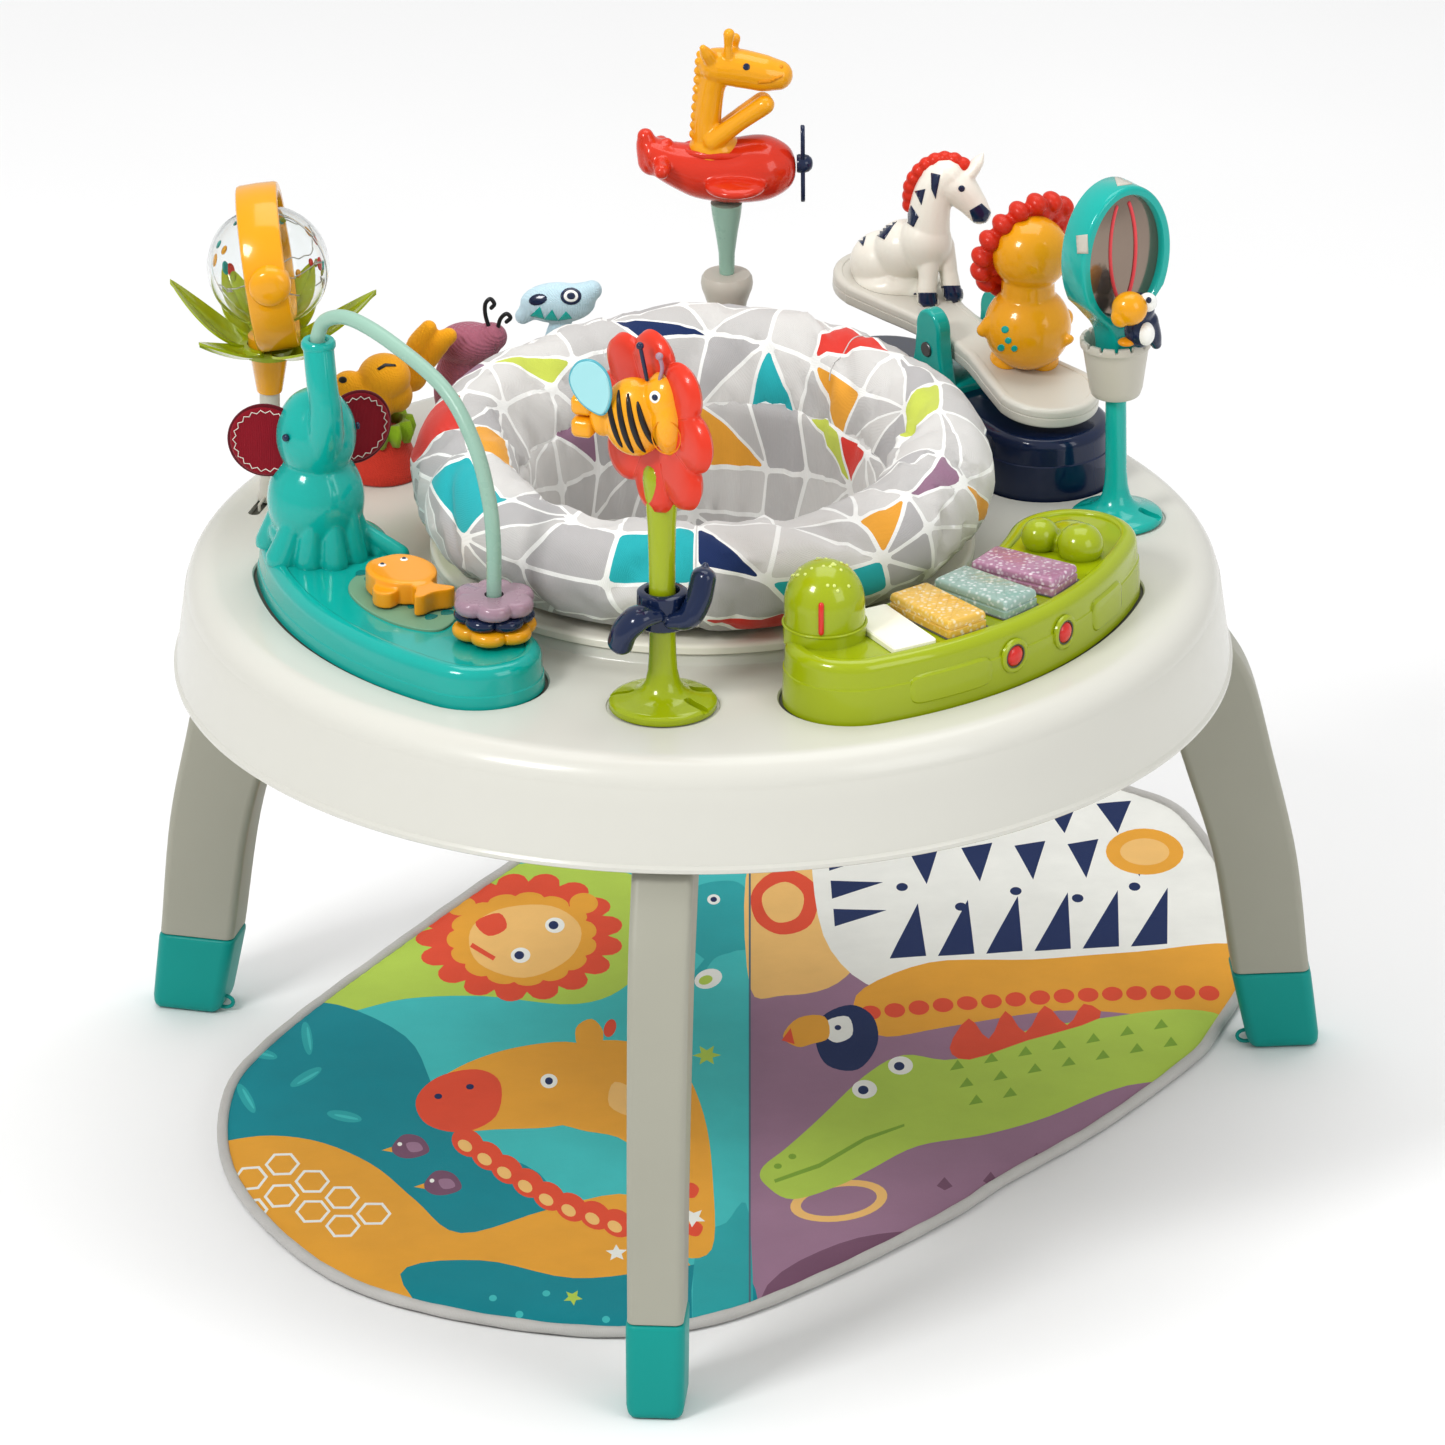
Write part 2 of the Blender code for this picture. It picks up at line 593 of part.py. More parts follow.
TUBE_PTS = [(ex + 0.003, ey - 0.016, 0.6503), (ex + 0.005, ey - 0.018, 0.663), (ex + 0.016, ey - 0.028, 0.674),
            (-0.2166, -0.105, 0.669), (-0.181, -0.142, 0.6500), (-0.161, -0.168, 0.620), (-0.151, -0.186, 0.585),
            (*BEAD, 0.555), (*BEAD, 0.530), (*BEAD, DECK_FISH + GAP)]
add('bead_tube', tube(smooth_path(TUBE_PTS, 2), 0.0052, 8), M_MINT)


def petal_r(a, r0, amp, n, phase=0.0):
    return r0 + amp * abs(cos(n * (a - phase) / 2)) ** 0.7


def washer(z0, z1, r0, amp, phase):
    def sec(a):
        r = petal_r(a, r0, amp, 6, phase)
        m = (z1 - z0) / 2
        return [(0.0068, z0), (r - 0.0035, z0), (r, z0 + m), (r - 0.0035, z1), (0.0068, z1)]
    return ring_sweep(24, sec)


for nm, z0, z1, r0, m, ph in (('yellow', 0.4868, 0.4965, 0.0235, M_YELLOW, 0.3), ('navy', 0.4970, 0.5055, 0.0215, M_NAVY, 0.0),
                              ('purple', 0.5060, 0.5170, 0.0215, M_PURPLE, 0.5)):
    sh = put(washer(z0, z1, r0, 0.0055, ph), (*BEAD, 0))
    add(f'flower_bead_{nm}', sh, m, origin=(*BEAD, (z0 + z1) / 2))

fish_dir = Vector((0.5225, -0.8526, 0)).normalized()
fish_m = basis((*FISH, 0), (0, 0, 1), fish_dir)
fish_line = smooth_loop([(0.036, 0.0), (0.026, 0.014), (0.006, 0.019), (-0.014, 0.009), (-0.021, 0.008), (-0.036, 0.018),
                         (-0.033, 0.0), (-0.036, -0.018), (-0.021, -0.008), (-0.014, -0.009), (0.006, -0.019), (0.026, -0.014)], 2)
add('fish_slider', put(slab(fish_line, [(DECK_FISH + 0.0010, 0.0015), (DECK_FISH + 0.003, 0), (0.500, 0.0), (0.504, 0.0035)]),
                       fish_m), M_ORANGE, origin=(*FISH, 0.495))

# ----------------------------------------------------- flower, bee, spinner
bx, by = BEE
foot_prof = [(0.0, TRAY_TOP + GAP), (0.038, TRAY_TOP + GAP), (0.038, 0.4625), (0.034, 0.4650), (0.017, 0.4700),
             (0.0105, 0.4800), (0.0092, 0.5000), (0.0092, 0.6000), (0.0110, 0.6200), (0.0128, 0.6290), (0.0100, 0.6350),
             (0.0, 0.6370)]
add('bee_stalk', put(lathe(foot_prof, 16), (bx, by, 0)), M_LIME)
SPIN_Z = 0.533
hub = put(lathe([(0.0113, SPIN_Z - 0.013), (0.0175, SPIN_Z - 0.013), (0.0175, SPIN_Z + 0.013), (0.0113, SPIN_Z + 0.013)],
                28, closed=True), (bx, by, 0))
lobes = []
for s in (-1, 1):
    m = basis((bx + s * 0.0325, by - s * 0.006, SPIN_Z + s * 0.012), (0.25, -1, 0.0), (0.45 * s, 0, s * 0.9))
    lobes.append(put(ball((0, 0, 0), (0.0285, 0.0150, 0.0085), 16, 8), m))
    lobes.append(tube([(bx + s * 0.0145, by, SPIN_Z), (bx + s * 0.028, by - s * 0.004, SPIN_Z + s * 0.006)], 0.0085, 10))
spin = fused('leaf_spinner', [hub] + lobes, M_NAVY, 0.0019, 380, origin=(bx, by, SPIN_Z))
cut(spin, cutter('stalk_space', put(lathe([(0.0, SPIN_Z - 0.03), (0.0112, SPIN_Z - 0.03), (0.0112, SPIN_Z + 0.03),
                                            (0.0, SPIN_Z + 0.03)], 18), (bx, by, 0))))

flower_m = basis(Vector((bx, by, FLOWER_Z)) - BEE_N * 0.0190, BEE_N, (0, 0, 1))
petals = [(petal_r(2 * pi * k / 48, 0.0550, 0.0130, 8) * cos(2 * pi * k / 48),
           petal_r(2 * pi * k / 48, 0.0550, 0.0130, 8) * sin(2 * pi * k / 48)) for k in range(48)]
add('flower_head', put(slab(petals, [(-0.0050, 0.003), (-0.002, 0.0), (0.002, 0.0), (0.0050, 0.003)]), flower_m), M_RED)

bee_c = Vector((bx, by, FLOWER_Z)) + BEE_N * 0.002
bee_m = basis(bee_c, (-0.35, -0.94, 0), BEE_N)      # local x runs out of the flower


def bee_at(x, y, z=0.0):
    """x out of the flower, y up, z towards the front."""
    return bee_m @ Vector((x, -y, z))


bee_parts = []
for (x, y), r in (((0.006, 0.020), (0.021, 0.021, 0.0165)), ((-0.004, 0.000), (0.0125, 0.026, 0.015)),
                  ((0.036, 0.004), (0.030, 0.027, 0.0175)), ((0.066, 0.000), (0.017, 0.016, 0.014))):
    vs, fs = ball((0, 0, 0), r)
    bee_parts.append(([bee_m @ (v + Vector((x, -y, 0))) for v in vs], fs))
bee_front = bee_c - BEE_N * 0.0155
fused('bee_body', bee_parts, M_YELLOW, 0.0035, 320, [(bee_front, -BEE_N)], origin=(bx, by, FLOWER_Z))

# ------------------------------------------------------------ keyboard toy
key_case = base_shell('piano_base', BASE_RC, *KEY_BEAN, DECK_KEYS, M_LIME)
KEYS = (('yellow', -52.5, M_KEY_Y), ('green', -42.6, M_KEY_G), ('purple', -32.7, M_KEY_P))
KEY_L, KEY_W = 0.068, 0.0345
KEY_RC = 0.266
for nm, ang, m in KEYS:
    a = radians(ang)
    km = basis((KEY_RC * cos(a), KEY_RC * sin(a), 0), (0, 0, 1), (cos(a), sin(a), 0))
    hole = rounded_rect(KEY_L + 0.0014, KEY_W + 0.0014, 0.0018, 2)
    cut(key_case, cutter(f'well_{nm}', put(slab(hole, [(DECK_KEYS - 0.010, 0), (DECK_KEYS + 0.01, 0)]), km)))
    k_r = [[(x, y, z) for x, y in rounded_rect(KEY_L - 2 * d, KEY_W - 2 * d, 0.0016, 2)]
           for z, d in ((0.4945, 0.0), (0.5120, 0.0005), (0.5140, 0.0022))]
    add(f'key_{nm}', put(loft(k_r), km), m, origin=(KEY_RC * cos(a), KEY_RC * sin(a), 0.5045))
pa = radians(-62.3)
pm = basis((0.266 * cos(pa), 0.266 * sin(pa), 0), (0, 0, 1), (cos(pa), sin(pa), 0))
panel = add('piano_panel', put(slab(rounded_rect(0.068, 0.0200, 0.003), [(DECK_KEYS + GAP, 0.0), (0.5050, 0.0), (0.5056, 0.0006)]), pm),
    M_WHITE)
hx, hy = HEAD
dome = [(0.0, DECK_KEYS - 0.0020), (0.0285, DECK_KEYS - 0.0020), (0.0285, 0.528)]
dome += [(0.0285 * cos(t), 0.528 + 0.0285 * sin(t)) for t in (0.5, 1.0)] + [(0.0, 0.5565)]
md = key_case.modifiers.new('dome', 'BOOLEAN')      # the domed head is moulded with the case
md.operation = 'UNION'
md.object = cutter('domed_head', put(lathe(dome, 20), (hx, hy, 0)))
cut(panel, cutter('head_clear', put(lathe([(0.0, 0.49), (0.0292, 0.49), (0.0292, 0.53), (0.0, 0.53)], 20), (hx, hy, 0))))
for nm, ang in (('left', -46.8), ('right', -37.0)):
    a = radians(ang)
    d = Vector((cos(a), sin(a), 0))
    lm = basis(d * (BASE_RC + BASE_HW - 0.0045) + Vector((0, 0, 0.480)), d)
    cut(key_case, cutter(f'port_{nm}', put(lathe([(0.0, -0.004), (0.0078, -0.004), (0.0078, 0.01), (0.0, 0.01)], 18), lm)))
    add(f'light_lens_{nm}', put(lathe([(0.0, 0.0), (0.0075, 0.0), (0.0075, 0.0040), (0.0055, 0.0058), (0.0, 0.0066)], 18), lm),
        M_LENS)
ca = radians(-41)
cm = basis((0.262 * cos(ca), 0.262 * sin(ca), 0), (0, 0, 1), (cos(ca), sin(ca), 0))
add('circuit_board', put(box((-0.030, -0.055, 0.4620), (0.030, 0.055, 0.4636)), cm), M_BOARD)
sa = radians(-66)
add('speaker', put(lathe([(0.0, 0.4560), (0.012, 0.4560), (0.020, 0.4640), (0.020, 0.4690), (0.0, 0.4670)], 20),
                   (0.262 * cos(sa), 0.262 * sin(sa), 0)), M_BLACK)
bm_ = basis((0.226 * cos(ca), 0.226 * sin(ca), 0), (0, 0, 1), (cos(ca), sin(ca), 0))
add('battery_box', put(slab(rounded_rect(0.066, 0.096, 0.006), [(0.4220, 0.002), (0.4240, 0.0), (TRAY_TOP - TRAY_PLATE - GAP, 0.0)]),
                       bm_), M_GREY)

# ------------------------------------------------------------- mirror toy
mx, my = MIRROR
add('mirror_stalk', put(lathe([(0.0, TRAY_TOP + GAP), (0.033, TRAY_TOP + GAP), (0.033, 0.4620), (0.029, 0.4645),
                               (0.0145, 0.4690), (0.0085, 0.4790), (0.0071, 0.4950), (0.0071, 0.5540), (0.0, 0.5540)], 16),
                        (mx, my, 0)), M_TEAL)
add('mirror_basket', put(lathe([(0.0, 0.5543), (0.0165, 0.5543), (0.0190, 0.5570), (0.0232, 0.5890), (0.0248, 0.5920),
                                (0.0248, 0.5970), (0.0222, 0.5970), (0.0208, 0.5910), (0.0168, 0.5600), (0.0, 0.5600)], 18),
                         (mx, my, 0)), M_WHITE)
mn = Vector((sin(MIRROR_A), -cos(MIRROR_A), 0))
mm = basis((mx, my, 0.6640), mn, (0, 0, 1))          # local x up, z out of the glass


def teardrop(rh, rw, n=20):
    """Oval that runs down into a neck."""
    pts = [(rh * cos(radians(-122 + 244 * k / n)), rw * sin(radians(-122 + 244 * k / n))) for k in range(n + 1)]
    right = [(-0.0430, 0.0235), (-0.0520, 0.0162), (-0.0600, 0.0115), (-0.0680, 0.0095), (-0.0955, 0.0085)]
    return pts + right + [(x, -y) for x, y in right[::-1]]


frame_line = teardrop(0.0575, 0.0365)
fr = add('mirror_frame', put(slab(frame_line, [(-0.013, 0.003), (-0.010, 0.0), (0.010, 0.0), (0.013, 0.003)]), mm),
         M_TEAL, origin=(mx, my, 0.66))
glass_line = [(0.0500 * cos(2 * pi * k / 28), 0.0285 * sin(2 * pi * k / 28)) for k in range(28)]
pocket = cutter('glass_pocket', put(slab([(x * 1.012 + 0.002, y * 1.02) for x, y in glass_line], [(0.0060, 0), (0.03, 0)]), mm))
cut(fr, pocket)
add('mirror_glass', put(slab([(x + 0.002, y) for x, y in glass_line], [(0.0060 + GAP, 0), (0.0078, 0)]), mm), M_MIRROR,
    origin=(mx, my, 0.66))
tc = Vector((mx, my, 0)) + mn * 0.0270
toucan = [ball((tc.x, tc.y, 0.6130), (0.0115, 0.0105, 0.0125)), ball((tc.x + 0.002, tc.y, 0.6290), (0.0115, 0.0110, 0.0115)),
          ball((tc.x - 0.010, tc.y - 0.006, 0.6260), (0.0120, 0.0100, 0.0115))]
fused('toucan', toucan, M_NAVY, 0.0024, 200, [((0, 0, 0.5995), (0, 0, -1)), (Vector((mx, my, 0)) + mn * 0.0139, -mn)],
      origin=(mx, my, 0.61))

# ---------------------------------------------------------------- seesaw toy
base_shell('seesaw_base', ROCK_RC, *ROCK_BEAN, DECK_ROCK, M_NAVY)
rx, ry = ROCK
side_v = Vector((ROCK_DIR.y, -ROCK_DIR.x, 0))
rm = basis((rx, ry, 0), (0, 0, 1), ROCK_DIR)         # local x along the beam, y across
tilt = Matrix.Rotation(-ROCK_TILT, 4, 'Y')
beam_m = basis((rx, ry, ROCK_Z), (0, 0, 1), ROCK_DIR) @ tilt
half = 0.0955
BEAM_N = 10
beam_line = []
for k in range(BEAM_N + 1):                           # right end, then left end
    t = -pi / 2 + pi * k / BEAM_N
    beam_line.append((half + 0.0375 * cos(t), 0.0375 * sin(t)))
beam_line += [(0.030, 0.020), (-0.030, 0.020)]
for k in range(BEAM_N + 1):
    t = pi / 2 + pi * k / BEAM_N
    beam_line.append((-half + 0.0375 * cos(t), 0.0375 * sin(t)))
beam_line += [(-0.030, -0.020), (0.030, -0.020)]
beam = add('seesaw_beam', put(loft([[(x, y, z) for x, y in [(px * q, py * q2) for px, py in beam_line]]
                                    for z, q, q2 in ((-0.0070, 0.985, 0.93), (-0.0045, 1, 1), (0.0045, 1, 1), (0.0070, 0.985, 0.93))]),
                              beam_m), M_GREY, origin=(rx, ry, ROCK_Z))
pin_m = basis((rx, ry, ROCK_Z), side_v)
cut(beam, cutter('pin_space', put(lathe([(0.0, -0.06), (0.00345, -0.06), (0.00345, 0.06), (0.0, 0.06)], 16), pin_m)))
add('seesaw_pin', put(lathe([(0.0, -0.0310), (0.0030, -0.0310), (0.0030, 0.0310), (0.0, 0.0310)], 16), pin_m), M_STEEL)
ear_line = [(0.022, DECK_ROCK + GAP), (0.015, 0.530), (0.0120, 0.5450)] + \
           [(0.0120 * cos(t), 0.5475 + 0.0120 * sin(t)) for t in (0.5, 1.05, 1.57, 2.09, 2.64)] + \
           [(-0.0120, 0.5450), (-0.015, 0.530), (-0.022, DECK_ROCK + GAP)]
ears = []
for s in (-1, 1):
    lo, hi = sorted((s * 0.0225, s * 0.0345))
    ears.append(put(loft([[(x, y, z) for x, z in ear_line] for y in (lo, hi)]), rm))
foot_plate = put(box((-0.022, -0.0345, DECK_ROCK + GAP), (0.022, 0.0345, 0.5085)), rm)
br_a = add('seesaw_bracket', foot_plate, M_TEAL)
for i, e in enumerate(ears):
    c = cutter(f'ear_{i}', e)
    md = br_a.modifiers.new(f'ear_{i}', 'BOOLEAN')
    md.operation = 'UNION'
    md.object = c
cut(br_a, cutter('pin_seat', put(lathe([(0.0, -0.0320), (0.0033, -0.0320), (0.0033, 0.0320), (0.0, 0.0320)], 16), pin_m)))

top_n = (beam_m.to_3x3() @ Vector((0, 0, 1))).normalized()


def on_beam(x, y, z):
    """Point over the beam's top face; x along it, y across, z above it."""
    return beam_m @ Vector((x, y, 0.0070 + z))


def seat_ball(p, r, rot=None):
    vs, fs = ball((0, 0, 0), r)
    m = (rot or beam_m.to_3x3().to_4x4()).copy()
    m.translation = on_beam(*p)
    return [m @ v for v in vs], fs


Z0 = half - 0.002
zeb = [seat_ball((Z0 + 0.012, 0, 0.028), (0.029, 0.021, 0.027)), seat_ball((Z0 - 0.008, 0, 0.044), (0.021, 0.018, 0.024)),
       seat_ball((Z0 - 0.030, 0, 0.089), (0.021, 0.0150, 0.0155)), seat_ball((Z0 - 0.045, 0, 0.081), (0.0135, 0.0105, 0.0105)),
       tube([on_beam(Z0 - 0.008, 0, 0.048), on_beam(Z0 - 0.022, 0, 0.090)], [0.0175, 0.0145], 12),
       tube([on_beam(Z0 - 0.014, 0.010, 0.045), on_beam(Z0 - 0.030, 0.011, 0.004)], [0.010, 0.0075], 10),
       tube([on_beam(Z0 - 0.014, -0.010, 0.045), on_beam(Z0 - 0.030, -0.011, 0.004)], [0.010, 0.0075], 10),
       seat_ball((Z0 + 0.000, 0.014, 0.010), (0.026, 0.009, 0.010)), seat_ball((Z0 + 0.000, -0.014, 0.010), (0.026, 0.009, 0.010))]
fused('zebra', zeb, M_WHITE, 0.0034, 420, [(on_beam(0, 0, GAP), -top_n)], origin=(rx, ry, ROCK_Z))
L0 = -half + 0.010
lion = [seat_ball((L0, 0, 0.033), (0.0300, 0.0310, 0.0330)), seat_ball((L0 + 0.006, 0, 0.088), (0.0240, 0.0270, 0.0270)),
        tube([on_beam(L0 + 0.002, 0, 0.035), on_beam(L0 + 0.006, 0, 0.085)], [0.022, 0.0185], 14),
        seat_ball((L0 + 0.020, 0.016, 0.008), (0.020, 0.009, 0.009)), seat_ball((L0 + 0.020, -0.016, 0.008), (0.020, 0.009, 0.009)),
        tube([on_beam(L0 - 0.018, 0.014, 0.020), on_beam(L0 - 0.030, 0.030, 0.010)], [0.010, 0.006], 8)]
mane_p = on_beam(L0 + 0.0185, 0, 0.094)
mane_d = (beam_m.to_3x3() @ Vector((1, 0, 0.25))).normalized()
fused('lion_body', lion, M_YELLOW, 0.0036, 360, [(on_beam(0, 0, GAP), -top_n), (mane_p - mane_d * 0.0078, mane_d)],
      origin=(rx, ry, ROCK_Z))
mane_line = [(petal_r(2 * pi * k / 42, 0.0345, 0.0050, 14) * cos(2 * pi * k / 42),
              petal_r(2 * pi * k / 42, 0.0345, 0.0050, 14) * sin(2 * pi * k / 42)) for k in range(42)]
add('lion_mane', put(slab(mane_line, [(-0.0074, 0.004), (-0.003, 0.0), (0.004, 0.0), (0.0074, 0.004)]), basis(mane_p, mane_d)),
    M_RED, origin=(rx, ry, ROCK_Z))

# ----------------------------------------------------------------- plane toy
px_, py_ = PLANE
add('plane_post', put(lathe([(0.0, TRAY_TOP + GAP), (0.034, TRAY_TOP + GAP), (0.034, 0.4640), (0.0200, 0.4720), (0.0135, 0.4900),
                             (0.0125, 0.5250), (0.0165, 0.5400), (0.0185, 0.5480), (0.0170, 0.5550), (0.0, 0.5560)], 16),
                       (px_, py_, 0)), M_WHITE)
add('plane_stalk', put(lathe([(0.0, 0.5563), (0.0050, 0.5563), (0.0052, 0.5700), (0.0095, 0.6000), (0.0107, 0.6105), (0.0, 0.6105)],
                             14), (px_, py_, 0)), M_MINT)
fu = [ball((px_ - 0.002, py_, PLANE_Z - 0.003), (0.050, 0.0230, 0.0230), 20, 10),
      ball((px_ + 0.028, py_, PLANE_Z), (0.0240, 0.0200, 0.0200)),
      tube([(px_ - 0.004, py_ - 0.052, PLANE_Z - 0.012), (px_ - 0.004, py_ + 0.052, PLANE_Z - 0.012)], 0.0060, 8),
      tube([(px_ + 0.008, py_ - 0.050, PLANE_Z - 0.012), (px_ + 0.008, py_ + 0.050, PLANE_Z - 0.012)], 0.0065, 8),
      tube([(px_ - 0.050, py_ - 0.018, PLANE_Z + 0.006), (px_ - 0.050, py_ + 0.018, PLANE_Z + 0.006)], 0.0060, 8),
      tube([(px_ - 0.042, py_, PLANE_Z), (px_ - 0.054, py_, PLANE_Z + 0.026)], [0.0090, 0.0065], 8)]
fused('plane_body', fu, M_RED, 0.0036, 380, [((0, 0, 0.6110), (0, 0, -1)), ((px_ + 0.0500, 0, 0), (1, 0, 0))],
      origin=(px_, py_, PLANE_Z))
prop_m = basis((px_ + 0.0545, py_, PLANE_Z), (1, 0, 0), (0, 0, 1))
prop = []
for k in range(40):
    t = 2 * pi * k / 40
    r = 0.0065 + 0.0235 * abs(cos(t)) ** 9
    prop.append((r * cos(t), r * sin(t)))
add('propeller', put(slab(prop, [(-0.0035, 0.0), (0.0005, 0.0), (0.0035, 0.0022)]), prop_m), M_NAVY,
    origin=(px_ + 0.0545, py_, PLANE_Z))
gz = PLANE_Z + 0.0205
gir = [tube([(px_ - 0.008, py_, gz), (px_ - 0.006, py_, 0.706), (px_ - 0.004, py_, 0.716)], [0.0100, 0.0088, 0.0085], 12),
       tube([(px_ - 0.004, py_, 0.7150), (px_ + 0.020, py_, 0.7105), (px_ + 0.034, py_, 0.7060)], [0.0115, 0.0105, 0.0085], 12),
       tube([(px_ - 0.002, py_ - 0.005, 0.7150), (px_ + 0.003, py_ - 0.006, 0.7400)], 0.0038, 8),
       tube([(px_ - 0.002, py_ + 0.005, 0.7150), (px_ + 0.003, py_ + 0.006, 0.7400)], 0.0038, 8),
       tube([(px_ - 0.004, py_ - 0.008, gz + 0.004), (px_ + 0.028, py_ - 0.013, 0.6860)], 0.0068, 10),
       tube([(px_ - 0.004, py_ + 0.008, gz + 0.004), (px_ + 0.028, py_ + 0.013, 0.6860)], 0.0068, 10),
       ball((px_ - 0.006, py_, gz + 0.006), (0.0150, 0.0140, 0.0120))]
fused('giraffe', gir, M_YELLOW, 0.0030, 400, [((0, 0, PLANE_Z + 0.0222), (0, 0, -1))], origin=(px_, py_, PLANE_Z))

# ------------------------------------------------------------ clear ball toy
cx, cy = BALL
add('ball_post', put(lathe([(0.0, TRAY_TOP + GAP), (0.033, TRAY_TOP + GAP), (0.033, 0.4630), (0.015, 0.4690), (0.0082, 0.4800),
                            (0.0066, 0.5000), (0.0066, 0.5410), (0.0, 0.5410)], 16), (cx, cy, 0)), M_WHITE)
tilt_b = Matrix.Rotation(radians(-8), 4, 'Y')
lean = basis((cx, cy, BALL_Z), tilt_b @ Vector((1, 0, 0)), tilt_b @ Vector((0, 0, 1)))   # local z = ring axis, x = up
ring_v, ring_f = ring_sweep(28, lambda a: [(0.0520, -0.0150), (0.0580, -0.0150), (0.0592, -0.0120), (0.0592, 0.0120),
                                           (0.0580, 0.0150), (0.0520, 0.0150)])
down = lean.to_3x3() @ Vector((-1, 0, 0))
cone = put(lathe([(0.0, 0.5413), (0.0088, 0.5413), (0.0130, 0.5690), (0.0130, 0.5820), (0.0, 0.5820)], 16), (cx, cy, 0))
yoke = add('ball_yoke', put((ring_v, ring_f), lean), M_YELLOW)
c = cutter('yoke_stem', cone)
md = yoke.modifiers.new('stem', 'BOOLEAN')
md.operation = 'UNION'
md.object = c
cut(yoke, cutter('ball_space', ball((cx, cy, BALL_Z), 0.0500, 22, 12)))
axle_dir = lean.to_3x3() @ Vector((0, 1, 0))
add('clear_ball', ball((cx, cy, BALL_Z), 0.0433, 18, 10), M_CLEAR, origin=(cx, cy, BALL_Z))


def leaf_section(a):
    n = 6
    p = abs(cos(n * a / 2)) ** 2.2
    r = 0.026 + 0.052 * p
    rise = 0.034 * p ** 1.2
    return [(0.0185, 0.5668), (r, 0.5660 + rise), (r + 0.0010, 0.5672 + rise), (r, 0.5684 + rise), (0.0185, 0.5690)]


leaf = add('leaf_collar', put(ring_sweep(36, leaf_section), (cx, cy, 0)), M_LIME)
cut(leaf, cutter('yoke_space', put(ring_sweep(28, lambda a: [(0.0470, -0.0158), (0.0600, -0.0158), (0.0600, 0.0158),
                                                               (0.0470, 0.0158)]), lean)))

# ---------------------------------------------------------- small soft toys
ux, uy = BUD
bud = [tube([(ux, uy, 0.4583), (ux, uy, 0.4870)], [0.0230, 0.0170], 14), tube([(ux, uy, 0.4850), (ux, uy, 0.5030)], [0.0150, 0.0150], 14),
       ball((ux, uy, 0.5240), (0.0230, 0.0210, 0.0230)), ball((ux - 0.016, uy - 0.006, 0.5330), (0.0125, 0.0115, 0.0105))]
fused('bud_toy', bud, M_ORANGE, 0.0036, 240, [((0, 0, TRAY_TOP + GAP), (0, 0, -1))])
gx, gy = BUG
g_dir = Vector((-0.80, -0.60, 0)).normalized()
bug = [ball((gx, gy, 0.4850), (0.0300, 0.0260, 0.0270)), ball((gx + 0.014, gy + 0.010, 0.5180), (0.0220, 0.0170, 0.0170)),
       ball((gx - 0.014, gy - 0.012, 0.5220), (0.0130, 0.0110, 0.0210)), tube([(gx, gy, 0.48), (gx + 0.006, gy + 0.004, 0.516)], 0.016, 12)]
fused('soft_bug', bug, M_MAUVE, 0.0040, 240, [((0, 0, TRAY_TOP + GAP), (0, 0, -1))])
fx, fy = PLUSH
plush_fish = [ball((fx, fy, 0.4900), (0.0240, 0.0180, 0.0330)), ball((fx + 0.008, fy, 0.5340), (0.0290, 0.0140, 0.0180)),
              ball((fx - 0.020, fy, 0.5230), (0.0140, 0.0090, 0.0110))]
fused('soft_fish', plush_fish, M_PLUSH, 0.0040, 240, [((0, 0, TRAY_TOP + GAP), (0, 0, -1))])
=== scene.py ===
"""Looks for a round stand-up activity table: tray on three legs, padded seat
that turns in the middle, toy stations round the rim and a soft floor mat.

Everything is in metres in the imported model's frame.  The toys are laid out in
a frame turned four degrees about Z from the legs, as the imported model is.
"""
import math
import random
import bpy
import bmesh
import numpy as np
from math import sin, cos, pi, radians, sqrt, atan2
from mathutils import Matrix, Vector, noise
from mathutils.bvhtree import BVHTree
from mathutils.geometry import delaunay_2d_cdt


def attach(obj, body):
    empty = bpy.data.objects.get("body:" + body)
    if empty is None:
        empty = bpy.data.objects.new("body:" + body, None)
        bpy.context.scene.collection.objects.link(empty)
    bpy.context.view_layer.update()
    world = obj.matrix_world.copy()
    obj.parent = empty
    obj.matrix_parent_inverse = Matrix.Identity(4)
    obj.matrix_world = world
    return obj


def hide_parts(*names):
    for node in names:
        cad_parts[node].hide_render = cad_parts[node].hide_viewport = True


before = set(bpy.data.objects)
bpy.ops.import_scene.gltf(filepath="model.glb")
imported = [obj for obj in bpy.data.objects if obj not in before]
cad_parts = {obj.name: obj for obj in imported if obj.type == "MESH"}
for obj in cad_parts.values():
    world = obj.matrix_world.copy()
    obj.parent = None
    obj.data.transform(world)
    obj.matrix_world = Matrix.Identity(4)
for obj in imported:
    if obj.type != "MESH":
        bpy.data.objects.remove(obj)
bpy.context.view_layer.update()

LAYOUT_TURN = radians(4.0)
LAYOUT = Matrix.Rotation(LAYOUT_TURN, 4, 'Z')

# ------------------------------------------------------------ shape helpers


def ring_faces(rows, n, closed, wrap=True):
    faces = []
    m = len(rows)
    for i in range(m if closed else m - 1):
        a, b = rows[i], rows[(i + 1) % m]
        for k in range(n if wrap else n - 1):
            j = (k + 1) % n
            faces.append((a + k, a + j, b + j, b + k))
    return faces


def loft(rings, caps=True, closed=False):
    n = len(rings[0])
    verts, rows = [], []
    for r in rings:
        rows.append(len(verts))
        verts += [Vector(p) for p in r]
    faces = ring_faces(rows, n, closed)
    if caps and not closed:
        faces.append(tuple(range(rows[0] + n - 1, rows[0] - 1, -1)))
        faces.append(tuple(range(rows[-1], rows[-1] + n)))
    return verts, faces


